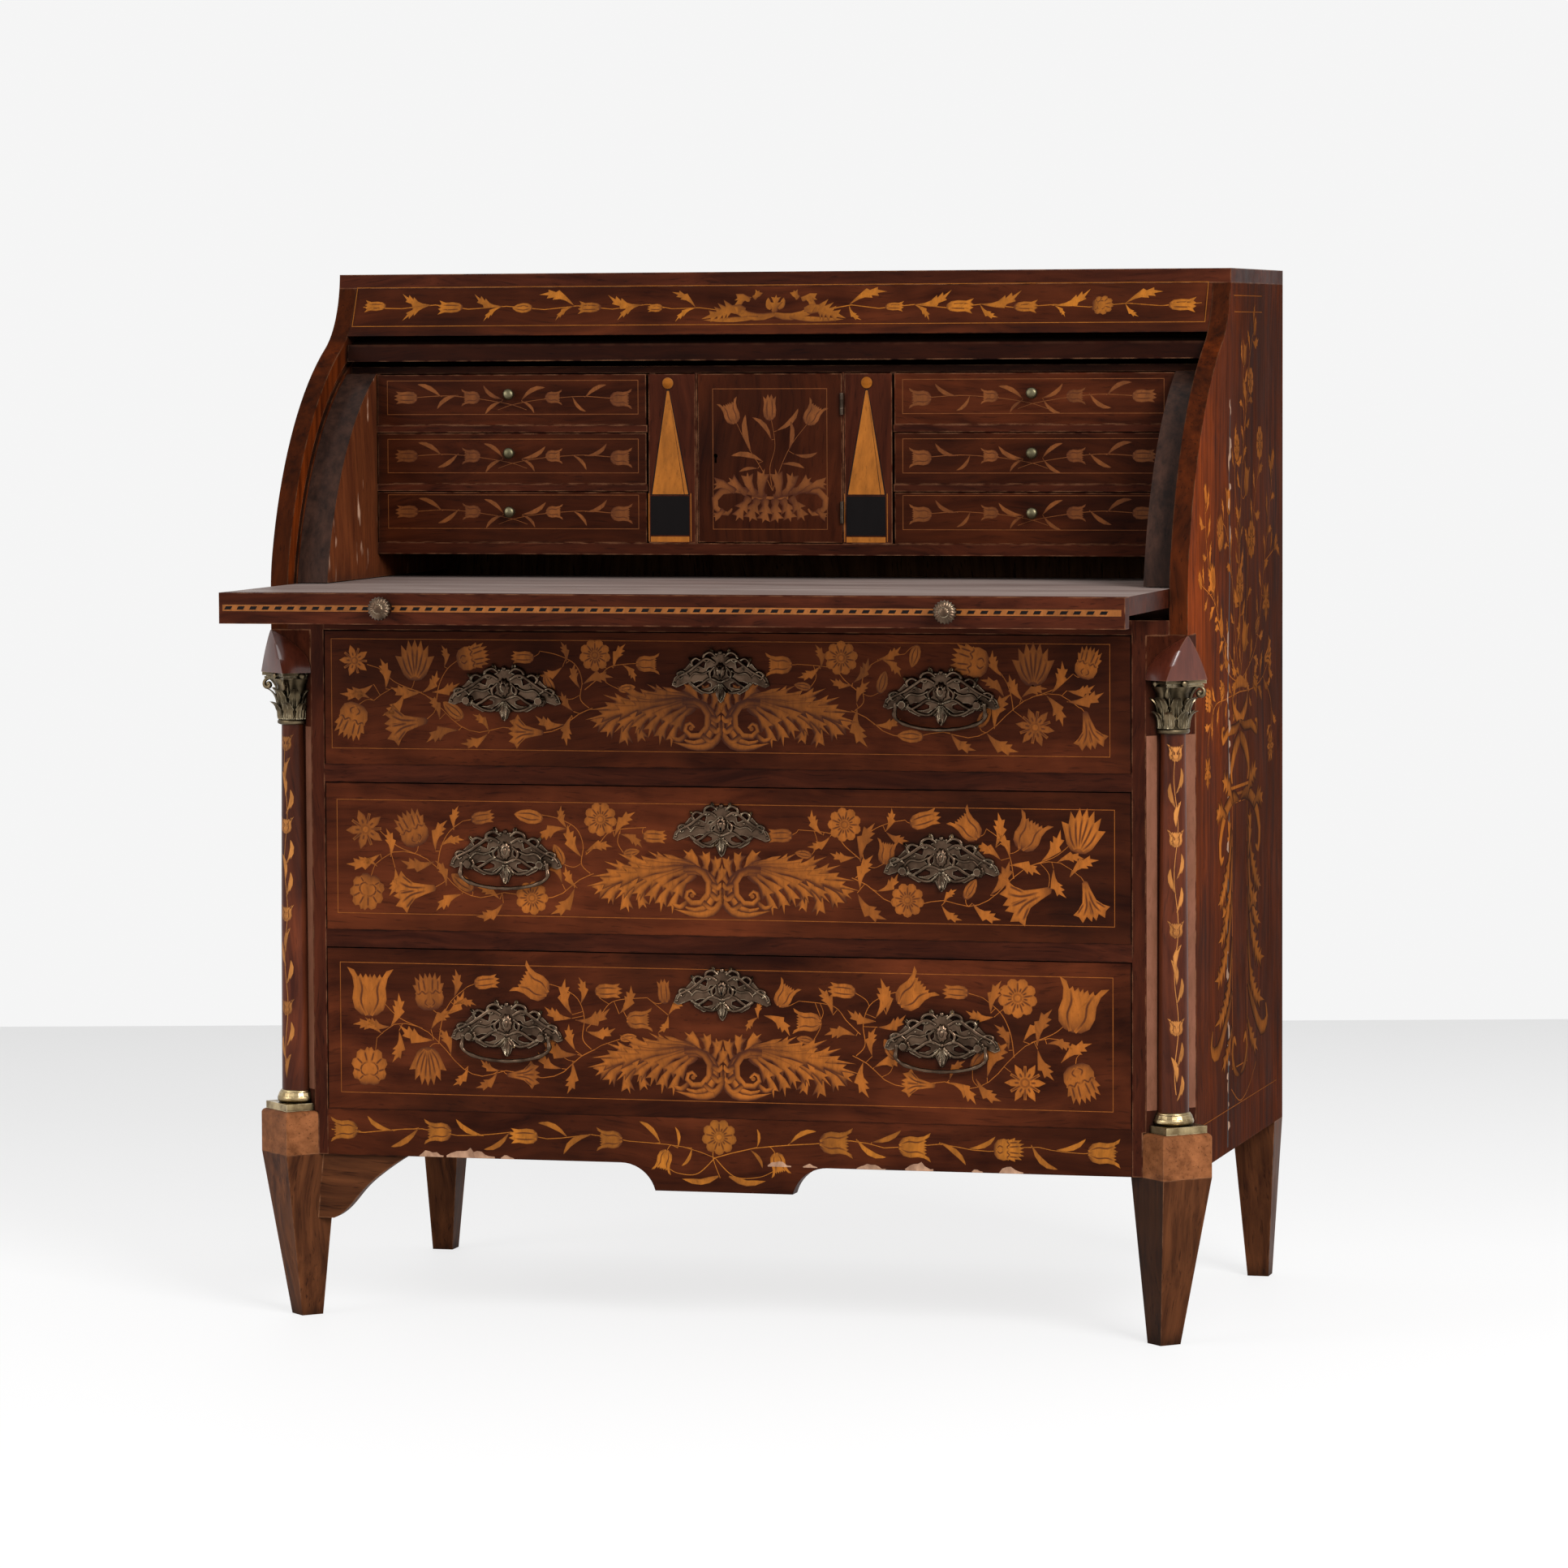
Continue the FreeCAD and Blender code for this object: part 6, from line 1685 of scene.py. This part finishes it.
def number_property(name, description, default, **kind):
    return bpy.props.FloatProperty(name=name, description=description, default=default, **kind)


class BureauWood(bpy.types.PropertyGroup):
    """Colours of the boards."""

    flame_light: colour_property("Flame light", "Light streaks of the drawer fronts", (0.11, 0.024, 0.0075))
    flame_dark: colour_property("Flame dark", "Dark streaks of the drawer fronts", (0.022, 0.0044, 0.002))
    case_light: colour_property("Case light", "Light streaks of rails and boards", (0.072, 0.016, 0.0065))
    case_dark: colour_property("Case dark", "Dark streaks of rails and boards", (0.022, 0.005, 0.0026))
    side_light: colour_property("Side light", "Light streaks of the sides", (0.27, 0.047, 0.0065))
    side_dark: colour_property("Side dark", "Dark streaks of the sides", (0.055, 0.009, 0.002))
    leg_light: colour_property("Leg light", "Light streaks of the legs", (0.13, 0.043, 0.015))
    leg_dark: colour_property("Leg dark", "Dark streaks of the legs", (0.032, 0.01, 0.0045))
    block_light: colour_property("Block light", "Light streaks of the foot blocks", (0.37, 0.135, 0.05))
    lining: colour_property("Lining", "Drawer boxes and hidden boards", (0.34, 0.16, 0.062))
    edge_colour: colour_property("Cheek edge", "Rubbed edge of the inner cheeks", (0.052, 0.024, 0.016))
    dust_colour: colour_property("Dust", "Bloom on the slide's top", (0.33, 0.262, 0.236))


class BureauInlay(bpy.types.PropertyGroup):
    """Colours of the marquetry."""

    golden: colour_property("Golden", "Pale veneer of flowers and leaves", (0.36, 0.104, 0.0118))
    scorched: colour_property("Scorched", "Veneer burnt in hot sand", (0.05, 0.011, 0.003))
    faded: colour_property("Faded", "Veneer of the inner drawers", (0.205, 0.062, 0.0135))
    side_tone: colour_property("Side veneer", "Veneer of the side panels", (0.72, 0.21, 0.026))
    stringing: colour_property("Stringing", "Thin lines round the panels", (0.3, 0.1, 0.022))


class BureauMetal(bpy.types.PropertyGroup):
    """Colours of the metalwork."""

    handle: colour_property("Handles", "Rubbed metal of plates and bails", (0.46, 0.37, 0.25))
    bronze: colour_property("Capitals", "Rubbed metal of the capitals", (0.52, 0.43, 0.28))
    brass: colour_property("Brass", "Rubbed metal of bases and knobs", (0.82, 0.66, 0.4))


class BureauStudio(bpy.types.PropertyGroup):
    """Camera, lamps and floor."""

    lens: number_property("Lens", "Focal length of the camera", 146.58, unit="CAMERA")
    place: bpy.props.FloatVectorProperty(
        name="Camera place", description="Where the camera stands", subtype="TRANSLATION", unit="LENGTH",
        default=(1.83386, -6.85485, 1.07851),
    )
    yaw: number_property("Yaw", "Turn to the left", math.radians(14.75), subtype="ANGLE")
    pitch: number_property("Pitch", "Tilt downwards", math.radians(3.94), subtype="ANGLE")
    roll: number_property("Roll", "Turn about the view", math.radians(0.28), subtype="ANGLE")
    key_power: number_property("Key lamp", "Power of the large soft lamp", 290.0, unit="POWER")
    fill_power: number_property("Fill lamp", "Power of the lamp on the left", 70.0, unit="POWER")
    sky: number_property("Room light", "Light from all round", 0.56)
    backdrop: number_property("Backdrop", "Brightness of the backdrop in view", 0.915)
    floor_white: number_property("Floor white", "Share of the floor that shows plain white in view", 0.77)
    floor_far: number_property("Floor end", "Distance of the floor's far edge", 10.12, unit="LENGTH")


SETTINGS = {"wood": BureauWood, "inlay": BureauInlay, "metal": BureauMetal, "studio": BureauStudio}


def settings(group):
    return getattr(bpy.context.scene, f"bureau_{group}")


def material_named(name):
    found = bpy.data.materials.get(name)
    if found is None:
        raise RuntimeError(f"the finish {name!r} isn't made yet; run the finishes first")
    return found


def dress(nodes, finish):
    """Gives CAD nodes a finish in place of their packed one."""
    for name in nodes:
        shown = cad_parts[name]
        shown.data.materials.clear()
        shown.data.materials.append(material_named(finish))


# Finishes


def toned(colour, share):
    """A colour made darker or lighter."""
    return [share * part for part in colour]


def make_woods(wood):
    """Mahogany in its many states, and the plain hidden wood."""
    # Near-black edges on the drawer fronts, frieze and apron: painted shade of the gaps between parts
    wood_finish("Flame mahogany x", wood.flame_light, wood.flame_dark, "x", 0.72, 0.4, (0.34, 0.48),
                edge_wear_and_shade=0.9, edge_wear_and_shade_colour=(0.008, 0.003, 0.002, 1.0), reach=0.0026)
    for axis in "xz":
        wood_finish(f"Carcass mahogany {axis}", wood.case_light, wood.case_dark, axis, 0.4, 0.5)
        wood_finish(f"Leg mahogany {axis}", wood.leg_light, wood.leg_dark, axis, 0.35, 0.6, (0.36, 0.52))
    # Near-black edges on the rails: painted shade of the gaps beside the drawers
    wood_finish("Rail mahogany", wood.case_light, wood.case_dark, "x", 0.4, 0.5, edge_wear_and_shade=0.95,
                edge_wear_and_shade_colour=(0.006, 0.003, 0.002, 1.0), reach=0.0032)
    wood_finish("Side mahogany", wood.side_light, wood.side_dark, "z", 0.45, 0.6, (0.55, 0.7), 0.0, 0.9,
                sheen=0.006)
    darken_to_back("Side mahogany")
    # The right front leg: the leg finish with painted shade on its left faces
    wood_finish("Right leg mahogany with painted shade", wood.leg_light, wood.leg_dark, "z", 0.35, 0.6, (0.36, 0.52))
    paint_shade_on_left_faces("Right leg mahogany with painted shade")
    wood_finish("Corner mahogany", wood.case_light, wood.case_dark, "z", 0.4, 0.5, (0.5, 0.65), sheen=0.006)
    wood_finish("Block mahogany", wood.block_light, wood.leg_light, "x", 0.5, 0.5, (0.35, 0.5))
    wood_finish("Polished cap", (0.13, 0.028, 0.013), (0.06, 0.012, 0.006), "z", 0.4, 0.3, (0.16, 0.24), 0.3,
                0.3, 0.4, sheen=0.4)
    wood_finish("Column mahogany", toned(wood.flame_light, 1.4), toned(wood.flame_dark, 1.6), "z", 0.5, 0.4,
                (0.26, 0.38), 0.0, 0.2, 0.6, sheen=0.12)
    wood_finish("Drawer lining", wood.lining, toned(wood.lining, 0.5), "x", 0.35, 0.7, (0.55, 0.7), 0.0, 0.3,
                0.6, (0.4, 0.27, 0.14, 1.0))
    wood_finish("Hidden board", (0.2, 0.088, 0.038), (0.095, 0.038, 0.017), "z", 0.1, 0.9, (0.6, 0.75), 0.0,
                0.4, 0.8)
    for axis in "xz":
        wood_finish(f"Gallery mahogany {axis}", toned(wood.flame_light, 0.76), toned(wood.flame_dark, 0.76),
                    axis, 0.62, 0.4, (0.3, 0.45))
    # The fall rail, set back under the frieze: the case wood at 0.4 of its colour, painted shade of the
    # recess
    wood_finish("Case x in painted shade", toned(wood.case_light, 0.4), toned(wood.case_dark, 0.4))
    fall_finish("Fall mahogany", wood)
    cheek_finish("Inner cheek", wood)
    dusty_finish("Dusty slide top", wood)


def make_veneers(inlay):
    """The veneers, the obelisks' satin wood, and the painted shade that fills the keyholes."""
    inlay_finish("Sand shaded veneer", inlay.golden, inlay.scorched)
    inlay_finish("Golden veneer", (0.4, 0.13, 0.0115), inlay.scorched)
    inlay_finish("Faded veneer", inlay.faded, inlay.scorched)
    inlay_finish("Side veneer", inlay.side_tone, inlay.scorched, 0.65, 0.006)
    darken_to_back("Side veneer")
    inlay_finish("Stringing", inlay.stringing, inlay.scorched)
    inlay_finish("Ebonised veneer", (0.009, 0.007, 0.0075), (0.004, 0.003, 0.003), 0.45, 0.06)
    inlay_finish("Satin veneer", (0.38, 0.123, 0.015), (0.18, 0.055, 0.009))
    inlay_finish("Column veneer", (0.52, 0.2, 0.045), inlay.scorched)
    # The cant strips' pinkish grey is a painted reflection; the orange mixes into their middle lines
    inlay_finish("Cant veneer with painted reflection", (0.16, 0.064, 0.044), (0.6, 0.22, 0.06), 0.4)
    inlay_finish("Bare wood", (0.5, 0.29, 0.18), (0.12, 0.05, 0.03), 0.6)
    wood_finish("Satin wood", (0.36, 0.118, 0.0145), (0.22, 0.066, 0.007), "x", 0.2, 0.3)
    # Near-black painted shade for the inside of the keyholes
    wood_finish("Keyhole painted shade", (0.004, 0.003, 0.003), (0.002, 0.002, 0.002), "x", 0.4, 0.3, (0.7, 0.8), 0.0,
                0.0, 0.0)


def make_metals(metal):
    """Cast, turned and rusty metal."""
    metal_finish("Old handle metal", metal.handle, (0.125, 0.077, 0.049), (0.045, 0.027, 0.0175),
                 (0.24, 0.44))
    metal_finish("Bronze capital", metal.bronze, (0.19, 0.14, 0.08), (0.08, 0.06, 0.034), (0.34, 0.5))
    metal_finish("Worn brass", metal.brass, (0.5, 0.38, 0.2), (0.2, 0.14, 0.07), (0.24, 0.42))
    metal_finish("Green brass", (0.36, 0.31, 0.19), (0.15, 0.13, 0.075), (0.07, 0.062, 0.034), (0.34, 0.52))
    metal_finish("Iron", (0.15, 0.11, 0.08), (0.05, 0.035, 0.025), (0.03, 0.02, 0.014), (0.4, 0.6))


# Operators


class BureauFinishes(bpy.types.Operator):
    """Makes the shared shader groups and every finish."""

    bl_idname = "bureau.finishes"
    bl_label = "Make finishes"

    def execute(self, context):
        build_grain_group()
        build_wear_and_gap_shade_group()
        build_grime_and_shade_group()
        build_scratch_group()
        make_woods(settings("wood"))
        make_veneers(settings("inlay"))
        make_metals(settings("metal"))
        return {"FINISHED"}


# Which finish each node of the frame is given

SMALL_DRAWERS = tuple(f"small_drawer_{hand}_{row}" for hand in ("left", "right") for row in SMALL_DROP)
NODE_FINISHES = {
    "Flame mahogany x": ("drawer_1_front", "drawer_2_front", "drawer_3_front", "frieze", "apron"),
    "Gallery mahogany x": SMALL_DRAWERS,
    "Gallery mahogany z": ("cupboard_door",),
    "Column mahogany": ("column_left", "column_right"),
    "Fall mahogany": ("fall_shell",),
    "Case x in painted shade": ("fall_rail",),
    "Carcass mahogany x": (
        "slide_bed", "slide_fascia", "top_board", "gallery_base", "gallery_shelves", "gallery_top",
    ),
    "Rail mahogany": ("drawer_rail_lower", "drawer_rail_upper"),
    "Carcass mahogany z": (
        "corner_posts", "gallery_partitions", "gallery_back", "document_box_left", "document_box_right",
    ),
    "Side mahogany": ("side_left", "side_right"),
    "Corner mahogany": ("corner_caps",),
    "Block mahogany": ("foot_blocks",),
    "Leg mahogany x": ("leg_bracket_left",),
    "Leg mahogany z": ("front_leg_left", "back_leg_left", "back_leg_right"),
    "Right leg mahogany with painted shade": ("front_leg_right",),
    "Drawer lining": ("drawer_1_box", "drawer_2_box", "drawer_3_box"),
    "Hidden board": ("back_panel", "bottom_board", "drawer_guides"),
    "Inner cheek": ("cheeks",),
    "Dusty slide top": ("slide_board",),
    "Bronze capital": ("capitals",),
    "Worn brass": ("column_bases", "slide_knobs"),
    "Old handle metal": (
        "drawer_1_plates", "drawer_2_plates", "drawer_3_plates", "bail_1_right", "bail_2_left",
        "bail_3_left", "bail_3_right", "keyhole_cover",
    ),
    "Iron": ("door_hinge_fixed", "door_hinge_moving"),
}


class BureauDressNodes(bpy.types.Operator):
    """Gives every board and fitting of the frame its finish."""

    bl_idname = "bureau.dress_nodes"
    bl_label = "Dress the frame"

    def execute(self, context):
        for finish, nodes in NODE_FINISHES.items():
            dress(nodes, finish)
        bare = set(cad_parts) - {name for nodes in NODE_FINISHES.values() for name in nodes}
        if bare:
            raise RuntimeError(f"nodes with no finish: {sorted(bare)}")
        return {"FINISHED"}


class BureauDrawerMarquetry(bpy.types.Operator):
    """Lays flowers, leaves and scrolled acanthus on the three long drawers."""

    bl_idname = "bureau.drawer_marquetry"
    bl_label = "Long drawer marquetry"

    def execute(self, context):
        for number in (1, 2, 3):
            veneer = drawer_veneer(number)
            veneer.lay(
                f"drawer_{number}_marquetry", front_face(f"drawer_{number}_front"),
                f"long_drawer_{number}", material_named("Sand shaded veneer"),
            )
        return {"FINISHED"}


class BureauFrieze(bpy.types.Operator):
    """Lays the flower garland on the curved frieze."""

    bl_idname = "bureau.frieze"
    bl_label = "Frieze marquetry"

    def execute(self, context):
        face = profile_face("frieze")
        frieze_veneer().lay("frieze_marquetry", face, "case", material_named("Golden veneer"))
        return {"FINISHED"}


class BureauApron(bpy.types.Operator):
    """Lays the garland on the apron and shows the bare wood where veneer is lost."""

    bl_idname = "bureau.apron"
    bl_label = "Apron marquetry"

    def execute(self, context):
        face = front_face("apron")
        apron_veneer().lay("apron_marquetry", face, "case", material_named("Golden veneer"))
        bare = ragged_patches(13, LOST_VENEER, APRON_BOTTOM)
        bare.lay("apron_bare_wood", face, "case", material_named("Bare wood"))
        return {"FINISHED"}


class BureauGallery(bpy.types.Operator):
    """Lays sprays, obelisks and stringing on the small drawers, the door and the upright boxes."""

    bl_idname = "bureau.gallery"
    bl_label = "Gallery marquetry"

    def execute(self, context):
        faded = material_named("Faded veneer")
        for row in SMALL_DROP:
            for hand, side in (("left", 1), ("right", -1)):
                node = f"small_drawer_{hand}_{row}"
                veneer = small_drawer_veneer(row, side)
                veneer.lay(f"{node}_marquetry", front_face(node, SMALL_KNOB_DEPTH), node, faded)
        door_veneer().lay("cupboard_marquetry", front_face("cupboard_door"), "cupboard_door", faded)
        for hand in OBELISKS:
            node = f"document_box_{hand}"
            pale, dark = obelisk_veneers(hand)
            pale.lay(f"obelisk_{hand}", front_face(node), node, material_named("Satin veneer"))
            dark.lay(f"obelisk_{hand}_dark", front_face(node), node, material_named("Ebonised veneer"))
            button = Casting()
            middle, lean = OBELISKS[hand]
            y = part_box(node)[0].y / MM
            button.turn(OBELISK_BALL, (middle + lean, y, OBELISK_BALL_Z), "y", 28)
            button.lay(f"obelisk_{hand}_ball", node, material_named("Satin wood"), "light_wood")
        return {"FINISHED"}


class BureauRope(bpy.types.Operator):
    """Lays the rope banding along the slide's front."""

    bl_idname = "bureau.rope"
    bl_label = "Rope banding"

    def execute(self, context):
        pale, dark = rope_veneers()
        face = front_face("slide_fascia")
        pale.lay("rope_banding_pale", face, "writing_slide", material_named("Stringing"))
        dark.lay("rope_banding_dark", face, "writing_slide", material_named("Ebonised veneer"))
        return {"FINISHED"}


class BureauSides(bpy.types.Operator):
    """Lays the urn with flowers on both sides, and the crack on the right one."""

    bl_idname = "bureau.sides"
    bl_label = "Side marquetry"

    def execute(self, context):
        for hand, side in (("right", 1), ("left", -1)):
            face = side_face(hand, side)
            side_veneer(14 + side).lay(f"side_{hand}_marquetry", face, "case", material_named("Side veneer"))
        dark, chips = crack_veneers()
        face = side_face("right", 1)
        dark.lay("side_crack", face, "case", material_named("Ebonised veneer"), "corner_wood")
        chips.lay("side_chips", face, "case", material_named("Bare wood"))
        return {"FINISHED"}


class BureauCorners(bpy.types.Operator):
    """Smooth columns with climbing tulips, and the veneer strips of the canted corners."""

    bl_idname = "bureau.corners"
    bl_label = "Columns and canted corners"

    def execute(self, context):
        for hand, side in (("right", 1), ("left", -1)):
            node = f"column_{hand}"
            x = side * COLUMN_X
            shaft = Casting()
            shaft.turn(COLUMN_PROFILE, (x, COLUMN_Y, 0), "z", 96)
            wood = material_named("Column mahogany")
            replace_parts(shaft.lay(f"{node}_shaft", "case", wood, "marquetry_wood"), node)
            face = column_face(x, side * 24.0)
            column_veneer(70 + side).lay(f"{node}_marquetry", face, "case", material_named("Column veneer"))
            strips = cant_veneer(80 + side)
            # The strips' pinkish grey is a painted reflection
            pink_sheen = material_named("Cant veneer with painted reflection")
            strips.lay(f"cant_{hand}_strips", cant_face(side), "case", pink_sheen, "corner_wood")
        return {"FINISHED"}


class BureauPlates(bpy.types.Operator):
    """Scrolls, shells and leaf drops on the handle plates and keyhole plates."""

    bl_idname = "bureau.plates"
    bl_label = "Plate relief"

    def execute(self, context):
        metal = material_named("Old handle metal")
        for number, (plate_z, lock_z) in enumerate(PLATE_HEIGHTS, 1):
            relief = Casting()
            for side in (-1, 1):
                plate_relief(relief, side * PLATE_X, plate_z, 1.0, 1.0)
                for post in (-1, 1):
                    centre = (side * PLATE_X + post * BAIL_HALF_SPAN, PLATE_Y, plate_z - POST_BELOW)
                    relief.turn(POST_COLLAR, centre, "y", 32, 8, 0.12)
            plate_relief(relief, 0, lock_z, 0.85, 0.95)
            relief.lay(f"drawer_{number}_plate_relief", f"long_drawer_{number}", metal)
            # A near-black keyhole: painted shade where the hole is dark
            lock, out = Casting(), 6.1
            lock.turn([(2.6, 0.0), (2.6, out)], (0, FRONT_Y, lock_z + 9.5), "y", 20)
            slit = ((-1.6, 9), (1.6, 9), (1.0, 1), (-1.0, 1))
            lock.net([[(u, y, lock_z + v) for u, v in slit] for y in (FRONT_Y, FRONT_Y - out)])
            lock.lay(f"drawer_{number}_keyhole", f"long_drawer_{number}", material_named("Keyhole painted shade"))
        return {"FINISHED"}


class BureauBails(bpy.types.Operator):
    """Smooth swinging bails with turned beads."""

    bl_idname = "bureau.bails"
    bl_label = "Bails"

    def execute(self, context):
        for node, side, axis_z in BAILS:
            bail = Casting()
            x = side * PLATE_X
            half = [(BAIL_ARM * u, BAIL_DROP * v) for u, v in BAIL_SPINE]
            spine = half + [(-u, v) for u, v in reversed(half[:-1])]
            bail.tube([(x + u, BAIL_Y, axis_z + v) for u, v in spine], BAIL_RADII, 16, 110)
            for hand in (-1, 1):
                ends = [(x + hand * reach, BAIL_Y, axis_z) for reach in (BAIL_PIN, BAIL_ARM)]
                bail.tube(ends, (1.7, 1.7), 16, 2)
            piece = bail.lay(f"{node}_cast", node, material_named("Old handle metal"))
            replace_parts(piece, node)
        return {"FINISHED"}


class BureauKnobs(bpy.types.Operator):
    """Gadrooned knobs of the slide and plain round knobs of the small drawers."""

    bl_idname = "bureau.knobs"
    bl_label = "Knobs"

    def execute(self, context):
        knobs = Casting()
        for side in (-1, 1):
            centre = (side * SLIDE_KNOB_X, SLIDE_KNOB_Y, SLIDE_KNOB_Z)
            knobs.turn(SLIDE_KNOB_FOOT, centre, "y", 32)
            knobs.turn(SLIDE_KNOB_HEAD, centre, "y", 160, 20, 0.11)
            knobs.turn(SLIDE_KNOB_EYE, centre, "y", 60, 10, 0.1)
        piece = knobs.lay("slide_knobs_gadrooned", "writing_slide", material_named("Old handle metal"))
        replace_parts(piece, "slide_knobs")
        for row in SMALL_DROP:
            for hand in ("left", "right"):
                node = f"small_drawer_{hand}_{row}"
                knob = Casting()
                low, high = (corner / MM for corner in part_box(node))
                middle = (low + high) / 2
                centre = (middle.x, low.y + SMALL_KNOB_DEPTH, middle.z + SMALL_KNOB_RISE)
                knob.turn(SMALL_KNOB, centre, "y", 32)
                knob.lay(f"{node}_knob", node, material_named("Green brass"), "brass")
        return {"FINISHED"}


class BureauCapitals(bpy.types.Operator):
    """Cast capitals with curled leaves and scrolls, and the ringed bases."""

    bl_idname = "bureau.capitals"
    bl_label = "Capitals and bases"

    def execute(self, context):
        capital, base, caps = Casting(), Casting(), Casting()
        for side in (-1, 1):
            corinthian(capital, side)
            pointed_cap(caps, side)
            base.turn(BASE_RINGS, (side * COLUMN_X, COLUMN_Y, 0), "z", 72)
        piece = capital.lay("capitals_cast", "case", material_named("Bronze capital"), "old_brass")
        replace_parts(piece, "capitals")
        base.lay("column_base_rings", "case", material_named("Worn brass"), "brass")
        caps.lay("caps_polished", "case", material_named("Polished cap"), "corner_wood")
        return {"FINISHED"}


class BureauStage(bpy.types.Operator):
    """Sets the floor, the lamps, the room light and the camera."""

    bl_idname = "bureau.stage"
    bl_label = "Stage and camera"

    def execute(self, context):
        studio = settings("studio")
        add_camera(studio)
        add_floor(studio)
        add_lamps(studio)
        light_room(studio)
        context.scene.view_settings.view_transform = "Standard"
        return {"FINISHED"}


def add_camera(studio):
    """A camera from its place, yaw, pitch and roll; at zero it looks along y."""
    lens = bpy.data.cameras.new("Camera")
    lens.lens = studio.lens
    lens.sensor_width = 36.0
    camera = bpy.data.objects.new("Camera", lens)
    bpy.context.scene.collection.objects.link(camera)
    upright = Matrix.Rotation(studio.yaw, 4, "Z") @ Matrix.Rotation(math.pi / 2 - studio.pitch, 4, "X")
    camera.matrix_world = (
        Matrix.Translation(studio.place) @ upright @ Matrix.Rotation(-studio.roll, 4, "Z")
    )
    bpy.context.scene.camera = camera


def seen_directly(tree):
    """1 for rays of the camera, of reflections and through glass, 0 for the light on the piece."""
    path = add_node(tree, "ShaderNodeLightPath")
    either = maths(tree, "MAXIMUM", path.outputs["Is Camera Ray"], path.outputs["Is Transmission Ray"])
    return maths(tree, "MAXIMUM", either, path.outputs["Is Glossy Ray"])


def add_floor(studio):
    """A pale floor with painted shade darkening it a little to its far edge, which makes the faint line
    behind the piece.
    """
    material = new_material("Studio floor")
    tree, shader = nodes_of(material)
    aim = Matrix.Rotation(studio.yaw, 3, "Z")
    ahead = aim @ Vector((0.0, 1.0, 0.0))
    far, near, half = studio.floor_far, -6.0, 9.0
    foot = Vector((studio.place[0], studio.place[1], 0.0))
    place = add_node(tree, "ShaderNodeTexCoord").outputs["Object"]
    away = vector_maths(tree, "DOT_PRODUCT", place, ahead)
    reach = ahead.dot(foot) + far
    # Painted shade: the floor's colour falls from 0.95 to 0.76 over its last 2.6 metres, as the lamps' light
    # falls off
    fading = spread(tree, away, reach - 2.6, reach)
    pale = blend_colours(tree, fading, (0.95, 0.95, 0.95, 1.0), (0.76, 0.76, 0.76, 1.0))
    white = maths(tree, "MULTIPLY", seen_directly(tree), studio.floor_white)
    tree.links.new(blend_colours(tree, white, pale, (0.0, 0.0, 0.0, 1.0)), shader.inputs["Base Color"])
    tree.links.new(pale, shader.inputs["Emission Color"])
    tree.links.new(white, shader.inputs["Emission Strength"])
    shader.inputs["Roughness"].default_value = 0.7
    shader.inputs["Specular IOR Level"].default_value = 0.1
    corners = [foot + aim @ Vector((u, v, 0)) for u, v in upright_box(-half, half, near, far)]
    mesh = bpy.data.meshes.new("studio_floor")
    mesh.from_pydata(corners, [], [(0, 1, 2, 3)])
    floor = bpy.data.objects.new("studio_floor", mesh)
    floor.data.materials.append(material)
    bpy.context.scene.collection.objects.link(floor)


# Lamps as (name, place, size), and the point that they shine at, in metres

KEY_LAMP = ("Key lamp", (3.4, -3.6, 3.4), 2.2)
FILL_LAMP = ("Fill lamp", (-3.6, -3.4, 2.2), 2.6)
LAMP_AIM = Vector((0.0, 0.0, 0.55))


def add_lamps(studio):
    """A large soft lamp at the right and a weaker one at the left, both before the piece."""
    for (name, place, size), power in ((KEY_LAMP, studio.key_power), (FILL_LAMP, studio.fill_power)):
        lamp = bpy.data.lights.new(name, "AREA")
        lamp.energy = power
        lamp.size = size
        shown = bpy.data.objects.new(name, lamp)
        bpy.context.scene.collection.objects.link(shown)
        shown.location = place
        shown.rotation_euler = (LAMP_AIM - Vector(place)).to_track_quat("-Z", "Y").to_euler()


def light_room(studio):
    """The room's plain light, and the white backdrop for the camera and for reflections."""
    world = bpy.data.worlds.new("Room")
    world.use_nodes = True
    bpy.context.scene.world = world
    tree = world.node_tree
    strength = spread(tree, seen_directly(tree), 0.0, 1.0, studio.sky, studio.backdrop)
    back = tree.nodes["Background"]
    back.inputs["Color"].default_value = (1.0, 1.0, 1.0, 1.0)
    tree.links.new(strength, back.inputs["Strength"])


class BureauPanel(bpy.types.Panel):
    """Lists the bureau's operators and settings in the sidebar."""

    bl_idname = "VIEW3D_PT_bureau"
    bl_label = "Bureau"
    bl_space_type = "VIEW_3D"
    bl_region_type = "UI"
    bl_category = "Bureau"

    def draw(self, context):
        for operator in OPERATORS:
            self.layout.operator(operator.bl_idname)
        for group in SETTINGS:
            held = settings(group)
            for name in held.__annotations__:
                self.layout.prop(held, name)


OPERATORS = (
    BureauFinishes,
    BureauDressNodes,
    BureauDrawerMarquetry,
    BureauFrieze,
    BureauApron,
    BureauGallery,
    BureauRope,
    BureauSides,
    BureauCorners,
    BureauPlates,
    BureauBails,
    BureauKnobs,
    BureauCapitals,
    BureauStage,
)


def register():
    for group, kind in SETTINGS.items():
        bpy.utils.register_class(kind)
        setattr(bpy.types.Scene, f"bureau_{group}", bpy.props.PointerProperty(type=kind))
    for kind in (*OPERATORS, BureauPanel):
        bpy.utils.register_class(kind)


def unregister():
    for kind in reversed((*OPERATORS, BureauPanel)):
        bpy.utils.unregister_class(kind)
    for group, kind in SETTINGS.items():
        delattr(bpy.types.Scene, f"bureau_{group}")
        bpy.utils.unregister_class(kind)


def main():
    """Dresses the frame."""
    register()
    for operator in OPERATORS:
        group, name = operator.bl_idname.split(".")
        getattr(getattr(bpy.ops, group), name)()


if __name__ == "__main__":
    main()
